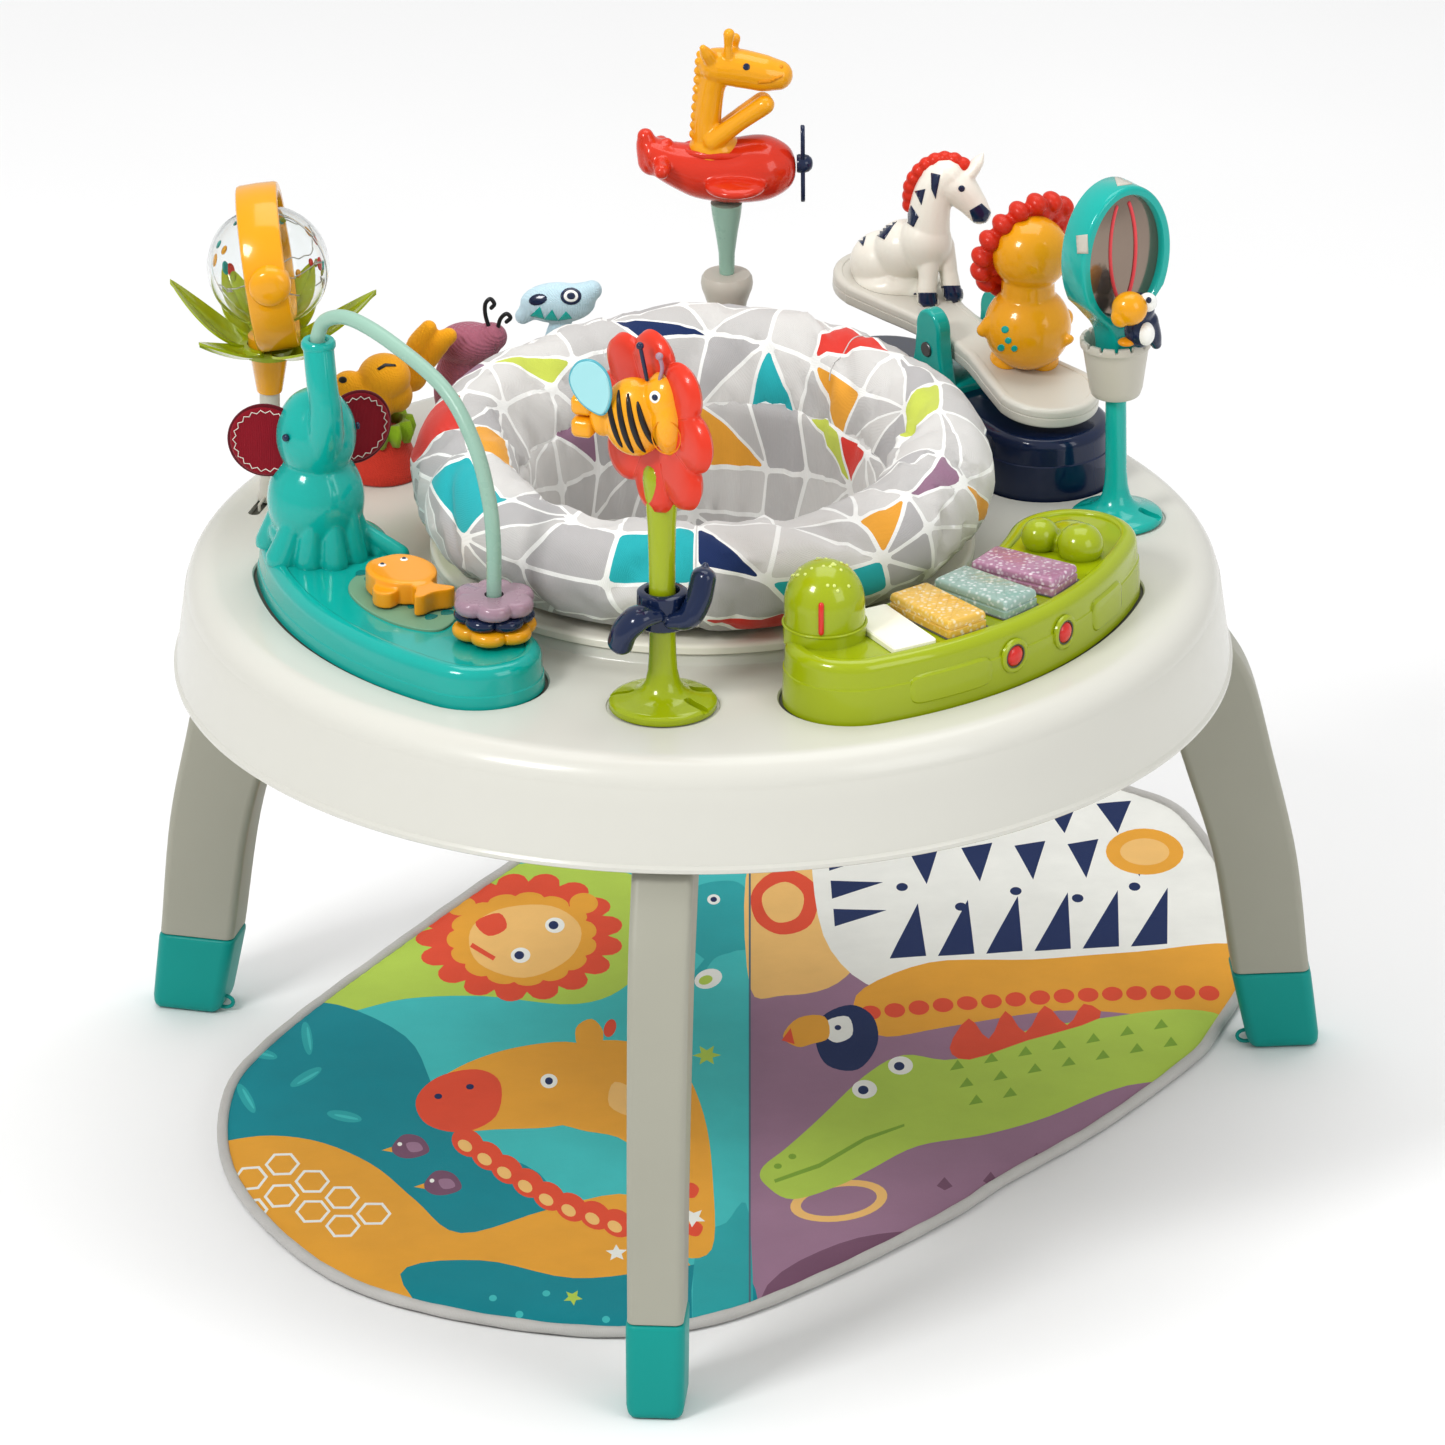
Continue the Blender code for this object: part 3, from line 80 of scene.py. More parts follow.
def lathe(profile, seg, closed=False):
    verts, faces, idx = [], [], []
    for r, z in profile:
        if r < 1e-9:
            idx.append((len(verts), 1))
            verts.append(Vector((0, 0, z)))
        else:
            idx.append((len(verts), seg))
            for k in range(seg):
                a = 2 * pi * k / seg
                verts.append(Vector((r * cos(a), r * sin(a), z)))
    m = len(profile)
    for i in range(m if closed else m - 1):
        (a, na), (b, nb) = idx[i], idx[(i + 1) % m]
        for k in range(seg):
            j = (k + 1) % seg
            if na == 1 and nb == 1:
                continue
            if na == 1:
                faces.append((a, b + j, b + k))
            elif nb == 1:
                faces.append((a + k, a + j, b))
            else:
                faces.append((a + k, a + j, b + j, b + k))
    if not closed:
        for (a, na), flip in ((idx[0], True), (idx[-1], False)):
            if na > 1:
                f = tuple(range(a, a + na))
                faces.append(f[::-1] if flip else f)
    return verts, faces


def ring_sweep(seg, section):
    rings = []
    for k in range(seg):
        a = 2 * pi * k / seg
        rings.append([(r * cos(a), r * sin(a), z) for r, z in section(a)])
    return loft(rings, closed=True)


def inset(outline, d):
    n = len(outline)
    out = []
    for i in range(n):
        p0, p1, p2 = outline[i - 1], outline[i], outline[(i + 1) % n]
        tx, ty = p2[0] - p0[0], p2[1] - p0[1]
        ln = sqrt(tx * tx + ty * ty) or 1.0
        out.append((p1[0] - ty / ln * d, p1[1] + tx / ln * d))
    return out


def area2(outline):
    return sum(outline[i - 1][0] * p[1] - p[0] * outline[i - 1][1] for i, p in enumerate(outline))


def ccw(outline):
    return list(outline) if area2(outline) > 0 else list(outline)[::-1]


def slab(outline, levels):
    outline = ccw(outline)
    return loft([[(x, y, z) for x, y in inset(outline, d)] for z, d in levels])


def edge_levels(z0, z1, r, n=4, side=0.0):
    """(z, inset) levels of a plate with rounded bottom and top edges."""
    out = []
    for i in range(n + 1):
        t = pi / 2 * i / n
        out.append((z0 + r - r * cos(t), side + r - r * sin(t)))
    for i in range(n + 1):
        t = pi / 2 * i / n
        out.append((z1 - r + r * sin(t), side + r - r * cos(t)))
    return out


def cup(outline, outer, inner):
    rings = [[(x, y, z) for x, y in inset(outline, d)] for z, d in outer]
    back = [[(x, y, z) for x, y in inset(outline, d)] for z, d in inner]
    n = len(outline)
    verts, rows = [], []
    for r in back[::-1] + rings:
        rows.append(len(verts))
        verts += [Vector(p) for p in r]
    faces = ring_faces(rows, n, False)
    faces.append(tuple(range(rows[0] + n - 1, rows[0] - 1, -1)))
    faces.append(tuple(range(rows[-1], rows[-1] + n)))
    return verts, faces


def bean(rc, a0, a1, hw, n_arc=36, n_cap=28):
    a0, a1 = radians(a0), radians(a1)
    pts = []
    for i in range(n_arc + 1):
        a = a0 + (a1 - a0) * i / n_arc
        pts.append(((rc + hw) * cos(a), (rc + hw) * sin(a)))
    c = (rc * cos(a1), rc * sin(a1))
    for i in range(1, n_cap):
        t = a1 + pi * i / n_cap
        pts.append((c[0] + hw * cos(t), c[1] + hw * sin(t)))
    for i in range(n_arc + 1):
        a = a1 + (a0 - a1) * i / n_arc
        pts.append(((rc - hw) * cos(a), (rc - hw) * sin(a)))
    c = (rc * cos(a0), rc * sin(a0))
    for i in range(1, n_cap):
        t = a0 + pi + pi * i / n_cap
        pts.append((c[0] + hw * cos(t), c[1] + hw * sin(t)))
    return pts


def spline(ctrl, per, closed=False):
    """Catmull-Rom curve through control points of any dimension."""
    c = [Vector(p) for p in ctrl]
    if not closed:
        c = [2 * c[0] - c[1]] + c + [2 * c[-1] - c[-2]]
        span = range(1, len(c) - 2)
    else:
        span = range(len(c))
    out = []
    for i in span:
        p0, p1, p2, p3 = c[i - 1], c[i], c[(i + 1) % len(c)], c[(i + 2) % len(c)]
        for s in range(per):
            t = s / per
            out.append(0.5 * ((2 * p1) + (p2 - p0) * t + (2 * p0 - 5 * p1 + 4 * p2 - p3) * t * t
                              + (3 * p1 - p0 - 3 * p2 + p3) * t ** 3))
    if not closed:
        out.append(c[-2])
    return out


def smooth_loop(ctrl, per):
    return [tuple(p) for p in spline(ctrl, per, closed=True)]


def tube(path, radius, sides=16, flat=1.0, up=None, round_ends=True):
    """Bar along a path with rounded ends; radius may be a list."""
    path = [Vector(p) for p in path]
    n = len(path)
    rad = list(radius) if isinstance(radius, (list, tuple)) else [radius] * n
    if len(rad) != n:
        rad = [float(np.interp(i / (n - 1), np.linspace(0, 1, len(rad)), rad)) for i in range(n)]
    tang = []
    for i in range(n):
        a, b = path[max(i - 1, 0)], path[min(i + 1, n - 1)]
        tang.append((b - a).normalized())
    up = Vector(up) if up is not None else (Vector((0, 0, 1)) if abs(tang[0].z) < 0.9 else Vector((1, 0, 0)))
    side = tang[0].cross(up).normalized()
    rings = []

    def ring(c, s, o, r):
        return [c + (s * cos(2 * pi * k / sides) * r + o * sin(2 * pi * k / sides) * r * flat) for k in range(sides)]
    frames = []
    for i in range(n):
        side = (side - tang[i] * side.dot(tang[i])).normalized()
        frames.append((side.copy(), tang[i].cross(side)))
    if round_ends:
        s, o = frames[0]
        for t in (0.12, 0.45, 0.8, 1.15):
            rings.append(ring(path[0] - tang[0] * rad[0] * cos(t), s, o, rad[0] * sin(t)))
    for i in range(n):
        rings.append(ring(path[i], frames[i][0], frames[i][1], rad[i]))
    if round_ends:
        s, o = frames[-1]
        for t in (1.15, 0.8, 0.45, 0.12):
            rings.append(ring(path[-1] + tang[-1] * rad[-1] * cos(t), s, o, rad[-1] * sin(t)))
    return loft(rings)


def ball(c, r, u=32, v=18):
    rx, ry, rz = (r, r, r) if isinstance(r, (int, float)) else r
    prof = [(sin(pi * i / v), -cos(pi * i / v)) for i in range(v + 1)]
    prof[0], prof[-1] = (0.0, -1.0), (0.0, 1.0)
    vs, fs = lathe(prof, u)
    return [Vector((c[0] + p.x * rx, c[1] + p.y * ry, c[2] + p.z * rz)) for p in vs], fs


def basis(origin, z, x=None):
    z = Vector(z).normalized()
    x = Vector(x if x is not None else ((0, 0, 1) if abs(z.z) < 0.9 else (1, 0, 0)))
    x = (x - z * x.dot(z)).normalized()
    y = z.cross(x)
    m = Matrix((x, y, z)).transposed().to_4x4()
    m.translation = Vector(origin)
    return m


def put(shape, m):
    if not isinstance(m, Matrix):
        m = Matrix.Translation(Vector(m))
    return [m @ v for v in shape[0]], shape[1]


def outward(bm):
    bmesh.ops.recalc_face_normals(bm, faces=bm.faces)
    if bm.calc_volume(signed=True) < 0:
        bmesh.ops.reverse_faces(bm, faces=bm.faces)


def mesh_of(name, shapes, fix=True):
    if isinstance(shapes, tuple):
        shapes = [shapes]
    bm = bmesh.new()
    for verts, faces in shapes:
        vs = [bm.verts.new(v) for v in verts]
        for f in faces:
            bm.faces.new([vs[i] for i in f])
    if fix:
        outward(bm)
    me = bpy.data.meshes.new(name)
    bm.to_mesh(me)
    bm.free()
    return me


def evaluated(me, mods):
    ob = bpy.data.objects.new('work', me)
    bpy.context.scene.collection.objects.link(ob)
    for kind, opts in mods:
        md = ob.modifiers.new(kind, kind)
        for k, v in opts.items():
            setattr(md, k, v)
    bpy.context.view_layer.update()
    out = bpy.data.meshes.new_from_object(ob.evaluated_get(bpy.context.evaluated_depsgraph_get()))
    bpy.data.objects.remove(ob, do_unlink=True)
    return out


def melt(shapes, voxel=0.0016, smooth=6, planes=(), sub=False):
    """Overlapping shapes joined into one smooth skin, then cut flat."""
    me = mesh_of('melt', shapes)
    me = evaluated(me, [('REMESH', dict(mode='VOXEL', voxel_size=voxel)), ('SMOOTH', dict(factor=0.5, iterations=smooth))])
    if planes:
        bm = bmesh.new()
        bm.from_mesh(me)
        for co, no in planes:
            bmesh.ops.bisect_plane(bm, geom=bm.verts[:] + bm.edges[:] + bm.faces[:], plane_co=Vector(co),
                                   plane_no=Vector(no), clear_outer=True, dist=1e-6)
            bmesh.ops.holes_fill(bm, edges=[e for e in bm.edges if e.is_boundary], sides=0)
        outward(bm)
        bm.to_mesh(me)
        bm.free()
    return me


def place(name, me, material, body, replaces=(), turn=True, sharp=40, mods=()):
    """Finished piece from a mesh in the layout frame, riding on its body."""
    if turn:
        me.transform(LAYOUT)
    mats = material if isinstance(material, (list, tuple)) else [material]
    held = [p.material_index for p in me.polygons]
    me.materials.clear()
    for m in mats:
        me.materials.append(m)
    me.polygons.foreach_set('material_index', held)
    me.shade_smooth()
    me.name = name
    ob = bpy.data.objects.new(name, me)
    bpy.context.scene.collection.objects.link(ob)
    for kind, opts in mods:
        md = ob.modifiers.new(kind.title(), kind)
        for k, v in opts.items():
            setattr(md, k, v)
    if sharp:
        me.set_sharp_from_angle(angle=radians(sharp))
    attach(ob, body)
    if replaces:
        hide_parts(*([replaces] if isinstance(replaces, str) else replaces))
    return ob


def piece(name, shapes, material, body='table', replaces=(), turn=True, sharp=40, bevel=0.0, sub=0, fix=True):
    mods = []
    if bevel:
        mods.append(('BEVEL', dict(width=bevel, segments=3, limit_method='ANGLE', angle_limit=radians(38))))
    if sub:
        mods.append(('SUBSURF', dict(levels=sub, render_levels=sub)))
    return place(name, mesh_of(name, shapes, fix), material, body, replaces, turn, sharp, mods)


def boolean(ob, shape, op='DIFFERENCE', turn=True):
    """Cut or join another closed shape, applied at once."""
    me = mesh_of('tool', shape)
    if turn:
        me.transform(LAYOUT)
    c = bpy.data.objects.new('tool', me)
    bpy.context.scene.collection.objects.link(c)
    md = ob.modifiers.new('cut', 'BOOLEAN')
    md.operation = op
    md.object = c
    md.solver = 'EXACT'
    bpy.context.view_layer.update()
    new = bpy.data.meshes.new_from_object(ob.evaluated_get(bpy.context.evaluated_depsgraph_get()))
    ob.modifiers.remove(md)
    old = ob.data
    ob.data = new
    new.name = ob.name
    bpy.data.objects.remove(c, do_unlink=True)
    bpy.data.meshes.remove(old)


def box(lo, hi):
    (a, b, c), (d, e, f) = lo, hi
    return loft([[(a, b, c), (d, b, c), (d, e, c), (a, e, c)], [(a, b, f), (d, b, f), (d, e, f), (a, e, f)]])


def rounded_rect(w, h, r, n=6):
    pts = []
    for cx, cy, a in ((w / 2 - r, h / 2 - r, 0), (r - w / 2, h / 2 - r, pi / 2),
                      (r - w / 2, r - h / 2, pi), (w / 2 - r, r - h / 2, 3 * pi / 2)):
        for i in range(n):
            t = a + pi / 2 * i / (n - 1)
            pts.append((cx + r * cos(t), cy + r * sin(t)))
    return pts


def arc_pts(cx, cz, r, a0, a1, n):
    return [(cx + r * cos(radians(a0 + (a1 - a0) * i / n)), cz + r * sin(radians(a0 + (a1 - a0) * i / n)))
            for i in range(n + 1)]


def petal_r(a, r0, amp, n, phase=0.0, p=0.7):
    return r0 + amp * abs(cos(n * (a - phase) / 2)) ** p


def inside(p, poly):
    x, y = p
    hit = False
    j = len(poly) - 1
    for i in range(len(poly)):
        xi, yi = poly[i]
        xj, yj = poly[j]
        if (yi > y) != (yj > y) and x < (xj - xi) * (y - yi) / (yj - yi) + xi:
            hit = not hit
        j = i
    return hit


# ------------------------------------------------------- camera, floor, light
scene = bpy.context.scene
CAM_D = 25.0
CAM_EL, CAM_AZ = radians(23.75), radians(3.37)
target = Vector((0.0, 0.0, 0.35))
back = Vector((sin(CAM_AZ) * cos(CAM_EL), -cos(CAM_AZ) * cos(CAM_EL), sin(CAM_EL)))
right_v = Vector((cos(CAM_AZ), sin(CAM_AZ), 0.0))
up_v = back.cross(right_v)
PX_M = 1416.2
aim = target + right_v * ((722.5 - 703.7) / PX_M) + up_v * ((697.5 - 722.5) / PX_M)
cam_data = bpy.data.cameras.new('camera')
cam = bpy.data.objects.new('camera', cam_data)
scene.collection.objects.link(cam)
cam.matrix_world = Matrix.Translation(aim + back * CAM_D) @ basis((0, 0, 0), back, right_v) @ Matrix.Rotation(radians(-0.38), 4, 'Z')
cam_data.sensor_width = 36.0
cam_data.sensor_fit = 'HORIZONTAL'
cam_data.lens = 36.0 * PX_M * CAM_D / 1445.0
cam_data.clip_start = 1.0
cam_data.clip_end = 200.0
scene.camera = cam

world = bpy.data.worlds.new('studio')
world.use_nodes = True
wn = world.node_tree.nodes['Background']
wn.inputs['Color'].default_value = (1.0, 1.0, 1.0, 1.0)
wn.inputs['Strength'].default_value = 0.70
scene.world = world


def lamp(name, loc, size, power, look=(0, 0, 0.4), colour=(1, 1, 1)):
    d = bpy.data.lights.new(name, 'AREA')
    d.shape = 'RECTANGLE'
    d.size, d.size_y = size
    d.energy = power
    d.color = colour
    o = bpy.data.objects.new(name, d)
    o.matrix_world = basis(loc, Vector(loc) - Vector(look))
    scene.collection.objects.link(o)
    return o


lamp('key', (-2.2, -2.6, 3.4), (1.05, 1.05), 84)
lamp('fill', (2.8, -2.4, 2.2), (2.2, 1.8), 30)
lamp('top', (0.2, 0.6, 3.6), (2.6, 2.2), 42)

scene.view_settings.view_transform = 'Standard'
scene.view_settings.look = 'None'
scene.view_settings.gamma = 0.90
scene.view_settings.exposure = 0.05
# ---------------------------------------------------------------- materials
MATS = {}


def lin(rgb):
    return tuple(((c / 255 + 0.055) / 1.055) ** 2.4 if c > 10 else c / 255 / 12.92 for c in rgb)


class Graph:
    """Small builder for a material's nodes."""

    def __init__(self, name):
        self.m = bpy.data.materials.new(name)
        self.m.use_nodes = True
        self.t = self.m.node_tree
        self.n = self.t.nodes
        self.b = self.n['Principled BSDF']
        self.co = self.n.new('ShaderNodeTexCoord').outputs['Object']

    def node(self, kind, ins=(), **props):
        x = self.n.new('ShaderNode' + kind)
        for k, v in props.items():
            setattr(x, k, v)
        for k, v in dict(ins).items():
            if hasattr(v, 'is_output') or isinstance(v, bpy.types.NodeSocket):
                self.t.links.new(v, x.inputs[k])
            else:
                x.inputs[k].default_value = v
        return x

    def noise(self, scale, detail=3.0, rough=0.5, vec=None):
        return self.node('TexNoise', {'Vector': vec or self.co, 'Scale': scale, 'Detail': detail, 'Roughness': rough}).outputs['Fac']

    def ramp(self, fac, stops):
        r = self.node('ValToRGB', {'Fac': fac})
        e = r.color_ramp.elements
        while len(e) < len(stops):
            e.new(0.5)
        for i, (p, c) in enumerate(stops):
            e[i].position = p
            e[i].color = (*c, 1.0) if len(c) == 3 else c
        return r.outputs['Color']

    def maths(self, op, a, b=0.0, clamp=False):
        x = self.node('Math', {0: a, 1: b}, operation=op)
        x.use_clamp = clamp
        return x.outputs[0]

    def mapr(self, v, a, b, c, d):
        x = self.node('MapRange', {'Value': v, 'From Min': a, 'From Max': b, 'To Min': c, 'To Max': d})
        return x.outputs['Result']

    def mix(self, fac, a, b, blend='MIX'):
        x = self.n.new('ShaderNodeMix')
        x.data_type = 'RGBA'
        x.blend_type = blend
        for k, v in ((0, fac), (6, a), (7, b)):
            if isinstance(v, bpy.types.NodeSocket):
                self.t.links.new(v, x.inputs[k])
            else:
                x.inputs[k].default_value = (*v, 1.0) if isinstance(v, tuple) and len(v) == 3 else v
        return x.outputs[2]

    def link(self, out, name):
        self.t.links.new(out, self.b.inputs[name])

    def bump(self, height, strength, distance, base=None):
        ins = {'Height': height, 'Strength': strength, 'Distance': distance}
        if base is not None:
            ins['Normal'] = base
        x = self.node('Bump', ins)
        self.link(x.outputs['Normal'], 'Normal')
        return x.outputs['Normal']


def plastic(name, rgb, rough=0.3, coat=0.0, grain=0.25, spec=0.27, sub=0.0, dust=0.03, vary=0.45):
    """Moulded plastic: slight flow variation, fine skin texture, uneven gloss."""
    if name in MATS:
        return MATS[name]
    g = Graph(name)
    c = lin(rgb)
    flow = g.noise(6.0, 2.0)
    fine = g.noise(90.0, 3.0)
    dark = tuple(x * (1 - 1.6 * dust) for x in c)
    light = tuple(min(1.0, x * (1 + dust) + 0.004) for x in c)
    tone = g.ramp(flow, [(0.35, dark), (0.65, light)])
    g.link(tone, 'Base Color')
    g.link(g.mapr(g.maths('ADD', g.maths('MULTIPLY', fine, 0.6), g.maths('MULTIPLY', flow, 0.4)), 0.3, 0.7, max(0.03, rough - 0.05 * vary),
                  rough + 0.06 * vary), 'Roughness')
    skin = g.noise(1400.0, 2.0)
    g.bump(skin, grain * 0.16 * vary, 0.0001)
    g.b.inputs['Specular IOR Level'].default_value = spec
    if coat:
        g.b.inputs['Coat Weight'].default_value = coat
        g.b.inputs['Coat Roughness'].default_value = 0.08
    if sub:
        g.b.inputs['Subsurface Weight'].default_value = sub
        g.b.inputs['Subsurface Radius'].default_value = (0.004, 0.003, 0.002)
        g.b.inputs['Subsurface Scale'].default_value = 1.0
    MATS[name] = g.m
    return g.m


def cloth(name, rgb, weave=1500.0, strength=0.35, mottle=0.05, sheen=0.25, rough=0.85, slub=0.0):
    """Woven polyester: crossed threads, slight unevenness and a soft sheen."""
    if name in MATS:
        return MATS[name]
    g = Graph(name)
    c = lin(rgb)
    sep = g.node('SeparateXYZ', {'Vector': g.co})
    blot = g.noise(22.0, 4.0, 0.6)
    fibre = g.noise(900.0, 3.0, 0.7)
    wx = g.maths('SINE', g.maths('MULTIPLY', g.maths('ADD', sep.outputs[0], sep.outputs[2]), weave * 2 * pi / 2.0))
    wy = g.maths('SINE', g.maths('MULTIPLY', g.maths('SUBTRACT', sep.outputs[1], sep.outputs[2]), weave * 2 * pi / 2.0))
    web = g.maths('MULTIPLY', wx, wy)
    tone = g.ramp(blot, [(0.3, tuple(x * (1 - mottle) for x in c)), (0.7, tuple(min(1.0, x * (1 + mottle)) for x in c))])
    tone = g.mix(g.mapr(g.maths('ADD', web, g.maths('MULTIPLY', fibre, 1.2)), -0.6, 1.7, 0.0, 0.16), tone,
                 tuple(x * 0.72 for x in c))
    g.link(tone, 'Base Color')
    g.link(g.mapr(fibre, 0.3, 0.7, rough - 0.06, rough + 0.06), 'Roughness')
    g.bump(g.maths('ADD', web, g.maths('MULTIPLY', fibre, 1.5)), strength, 0.00035)
    g.b.inputs['Sheen Weight'].default_value = sheen
    g.b.inputs['Sheen Roughness'].default_value = 0.4
    g.b.inputs['Specular IOR Level'].default_value = 0.25
    MATS[name] = g.m
    return g.m


M_TRAY = plastic('tray_plastic', (206, 205, 197), 0.27, coat=0.22, grain=0.3, dust=0.0, vary=0.06)
M_GREY = plastic('grey_plastic', (163, 162, 149), 0.42, grain=0.8, dust=0.02)
M_INNER = plastic('inner_grey_plastic', (140, 139, 124), 0.5, grain=0.8, dust=0.02)
M_FOOT = plastic('foot_plastic', (0, 148, 140), 0.38, grain=0.6)
M_TEAL = plastic('teal_plastic', (0, 166, 156), 0.16, coat=0.35, grain=0.25)
M_TEAL_D = plastic('teal_dark_plastic', (0, 120, 118), 0.22, coat=0.2, grain=0.25)
M_LIME = plastic('lime_plastic', (158, 173, 8), 0.22, coat=0.25, grain=0.3)
M_LEAF = plastic('leaf_plastic', (122, 172, 44), 0.34, grain=0.4)
M_YELLOW = plastic('yellow_plastic', (230, 162, 8), 0.24, coat=0.2, grain=0.3)
M_YELLOW_D = plastic('amber_plastic', (222, 146, 14), 0.30, grain=0.3)
M_ORANGE = plastic('orange_plastic', (236, 160, 18), 0.26, coat=0.15, grain=0.3)
M_RED = plastic('red_plastic', (208, 50, 20), 0.22, coat=0.25, grain=0.3)
M_MANE = plastic('mane_plastic', (206, 48, 24), 0.32, coat=0.1, grain=0.3)
M_NAVY = plastic('navy_plastic', (12, 32, 68), 0.18, coat=0.3, grain=0.25)
M_MINT = plastic('mint_plastic', (150, 184, 168), 0.28, coat=0.1, grain=0.3)
M_WHITE = plastic('white_plastic', (232, 229, 218), 0.28, coat=0.15, grain=0.3, dust=0.008, vary=0.15)
M_OFFWHITE = plastic('offwhite_plastic', (196, 192, 181), 0.34, grain=0.3, dust=0.01, vary=0.1)
M_BEAM = plastic('beam_plastic', (206, 203, 193), 0.30, coat=0.15, grain=0.3, dust=0.006, vary=0.1)
M_PURPLE = plastic('purple_plastic', (160, 132, 146), 0.28, coat=0.15, grain=0.3)
M_MIRRORT = plastic('mirror_teal_plastic', (6, 174, 164), 0.2, coat=0.25, grain=0.25)
M_BLACK = plastic('black_plastic', (28, 28, 32), 0.3, coat=0.2, grain=0.3)
M_FISHO = plastic('fish_plastic', (236, 158, 18), 0.24, coat=0.2, grain=0.3)
M_SLOT = plastic('slot_plastic', (120, 160, 132), 0.45, grain=0.3)
# dark grey used as painted shade: laid on recess floors, under the keys and round the lenses
M_PAINTED_SHADE = plastic('shadow_gap', (96, 96, 88), 0.7, grain=0.4)
M_FLOWER = plastic('flower_soft_plastic', (214, 56, 30), 0.30, coat=0.3, grain=0.5)
M_WING = plastic('wing_plastic', (160, 212, 216), 0.22, coat=0.2, grain=0.25)
M_WING_D = plastic('wing_rim_plastic', (92, 172, 186), 0.25, coat=0.2, grain=0.25)
M_PANEL = plastic('panel_plastic', (242, 240, 226), 0.3, grain=0.4, dust=0.012)
M_BEE = plastic('bee_plastic', (238, 166, 12), 0.26, coat=0.2, grain=0.3)
M_LAMP_R = plastic('lamp_rim_plastic', (60, 48, 16), 0.3, grain=0.3)
M_SCREW = plastic('screw_steel', (120, 120, 122), 0.32, grain=0.3)
M_SCREW.node_tree.nodes['Principled BSDF'].inputs['Metallic'].default_value = 1.0
M_CRIMSON = cloth('crimson_fabric', (140, 14, 34), 1400.0, 0.5)
M_MAROON = cloth('maroon_fabric', (96, 8, 26), 1400.0, 0.5)
M_THREAD = cloth('white_thread', (232, 226, 214), 3000.0, 0.4)
M_BIND = cloth('binding_fabric', (196, 194, 190), 1300.0, 0.5)
M_BACK = cloth('mat_backing', (168, 168, 166), 1300.0, 0.4)
SEAT_COL = {'grey': (194, 192, 190), 'grey2': (180, 178, 178), 'grey3': (208, 206, 203), 'line': (236, 236, 233),
            'mauve': (150, 116, 138), 'lime': (196, 206, 92), 'navy': (32, 52, 98), 'red': (214, 66, 56),
            'mustard': (228, 164, 62), 'teal': (44, 172, 178)}
M_SEAT = {k: cloth('seat_' + k, v, 1500.0, 0.30, mottle=0.03) for k, v in SEAT_COL.items()}
# --------------------------------------------------------- floor of the studio
fl = bpy.data.meshes.new('studio_floor')
fl.from_pydata([(-14, -14, -0.0006), (14, -14, -0.0006), (14, 40, -0.0006), (-14, 40, -0.0006)], [], [(0, 1, 2, 3)])
floor = bpy.data.objects.new('studio_floor', fl)
scene.collection.objects.link(floor)
gf = Graph('studio_floor')
gf.link(gf.ramp(gf.noise(1.5, 2.0), [(0.3, (0.86, 0.86, 0.86)), (0.7, (0.89, 0.89, 0.89))]), 'Base Color')
gf.b.inputs['Roughness'].default_value = 0.9
gf.b.inputs['Specular IOR Level'].default_value = 0.1
fl.materials.append(gf.m)

# --------------------------------------------------------------------- tray
TRAY_TOP, TRAY_PLATE, SKIRT_BOTTOM = 0.458, 0.006, 0.379
SKIRT_RB, SKIRT_RT, EDGE_R = 0.373, 0.3645, 0.022
TRACK_TOP, HOLE_R, SKIN, REC = 0.4663, 0.150, 0.003, 0.003
sx, sz = SKIRT_RT - EDGE_R, TRAY_TOP - EDGE_R
prof = [(SKIRT_RB - 0.0006, SKIRT_BOTTOM), (SKIRT_RB + 0.0004, SKIRT_BOTTOM + 0.0008), (SKIRT_RB + 0.0006, SKIRT_BOTTOM + 0.0035),
        (SKIRT_RB - 0.0004, SKIRT_BOTTOM + 0.0050), (SKIRT_RB - 0.0012, SKIRT_BOTTOM + 0.0058)]
prof += [(SKIRT_RB - 0.0012 + (SKIRT_RT + 0.0010 - SKIRT_RB + 0.0012) * t, SKIRT_BOTTOM + 0.0058 + (sz - SKIRT_BOTTOM - 0.0058) * t)
         for t in (0.25, 0.5, 0.75, 1.0)]
prof += arc_pts(sx, sz, EDGE_R, 6, 90, 22)[:-1] + [(sx - 0.001, TRAY_TOP), (0.335, TRAY_TOP), (0.300, TRAY_TOP), (0.250, TRAY_TOP),
                                                 (0.205, TRAY_TOP)]
prof += [(0.1935, TRAY_TOP), (0.1918, TRAY_TOP + 0.0005), (0.1908, TRAY_TOP + 0.0018), (0.1902, TRACK_TOP - 0.0022),
         (0.1893, TRACK_TOP - 0.0006), (0.1880, TRACK_TOP), (HOLE_R + 0.004, TRACK_TOP), (HOLE_R + 0.001, TRACK_TOP - 0.001),
         (HOLE_R, TRACK_TOP - 0.004)]
prof += [(HOLE_R, TRAY_TOP - TRAY_PLATE), (HOLE_R + 0.05, TRAY_TOP - TRAY_PLATE), (sx - 0.004, TRAY_TOP - TRAY_PLATE)]
prof += arc_pts(sx, sz, EDGE_R - SKIN, 80, 5, 8) + [(SKIRT_RB - SKIN - 0.001, SKIRT_BOTTOM + 0.006), (SKIRT_RB - SKIN - 0.001, SKIRT_BOTTOM)]
tray = piece('tray', lathe(prof, 256, closed=True), [M_TRAY, M_PAINTED_SHADE], replaces='tray_shell', sharp=None)
RECS = ((0.267, 184, 233), (0.267, -68, -14), (0.283, 30, 62))
STEMS = ((-0.031, -0.2588, 0.0395), (0.293, 0.061, 0.0345), (0.0216, 0.281, 0.0355))
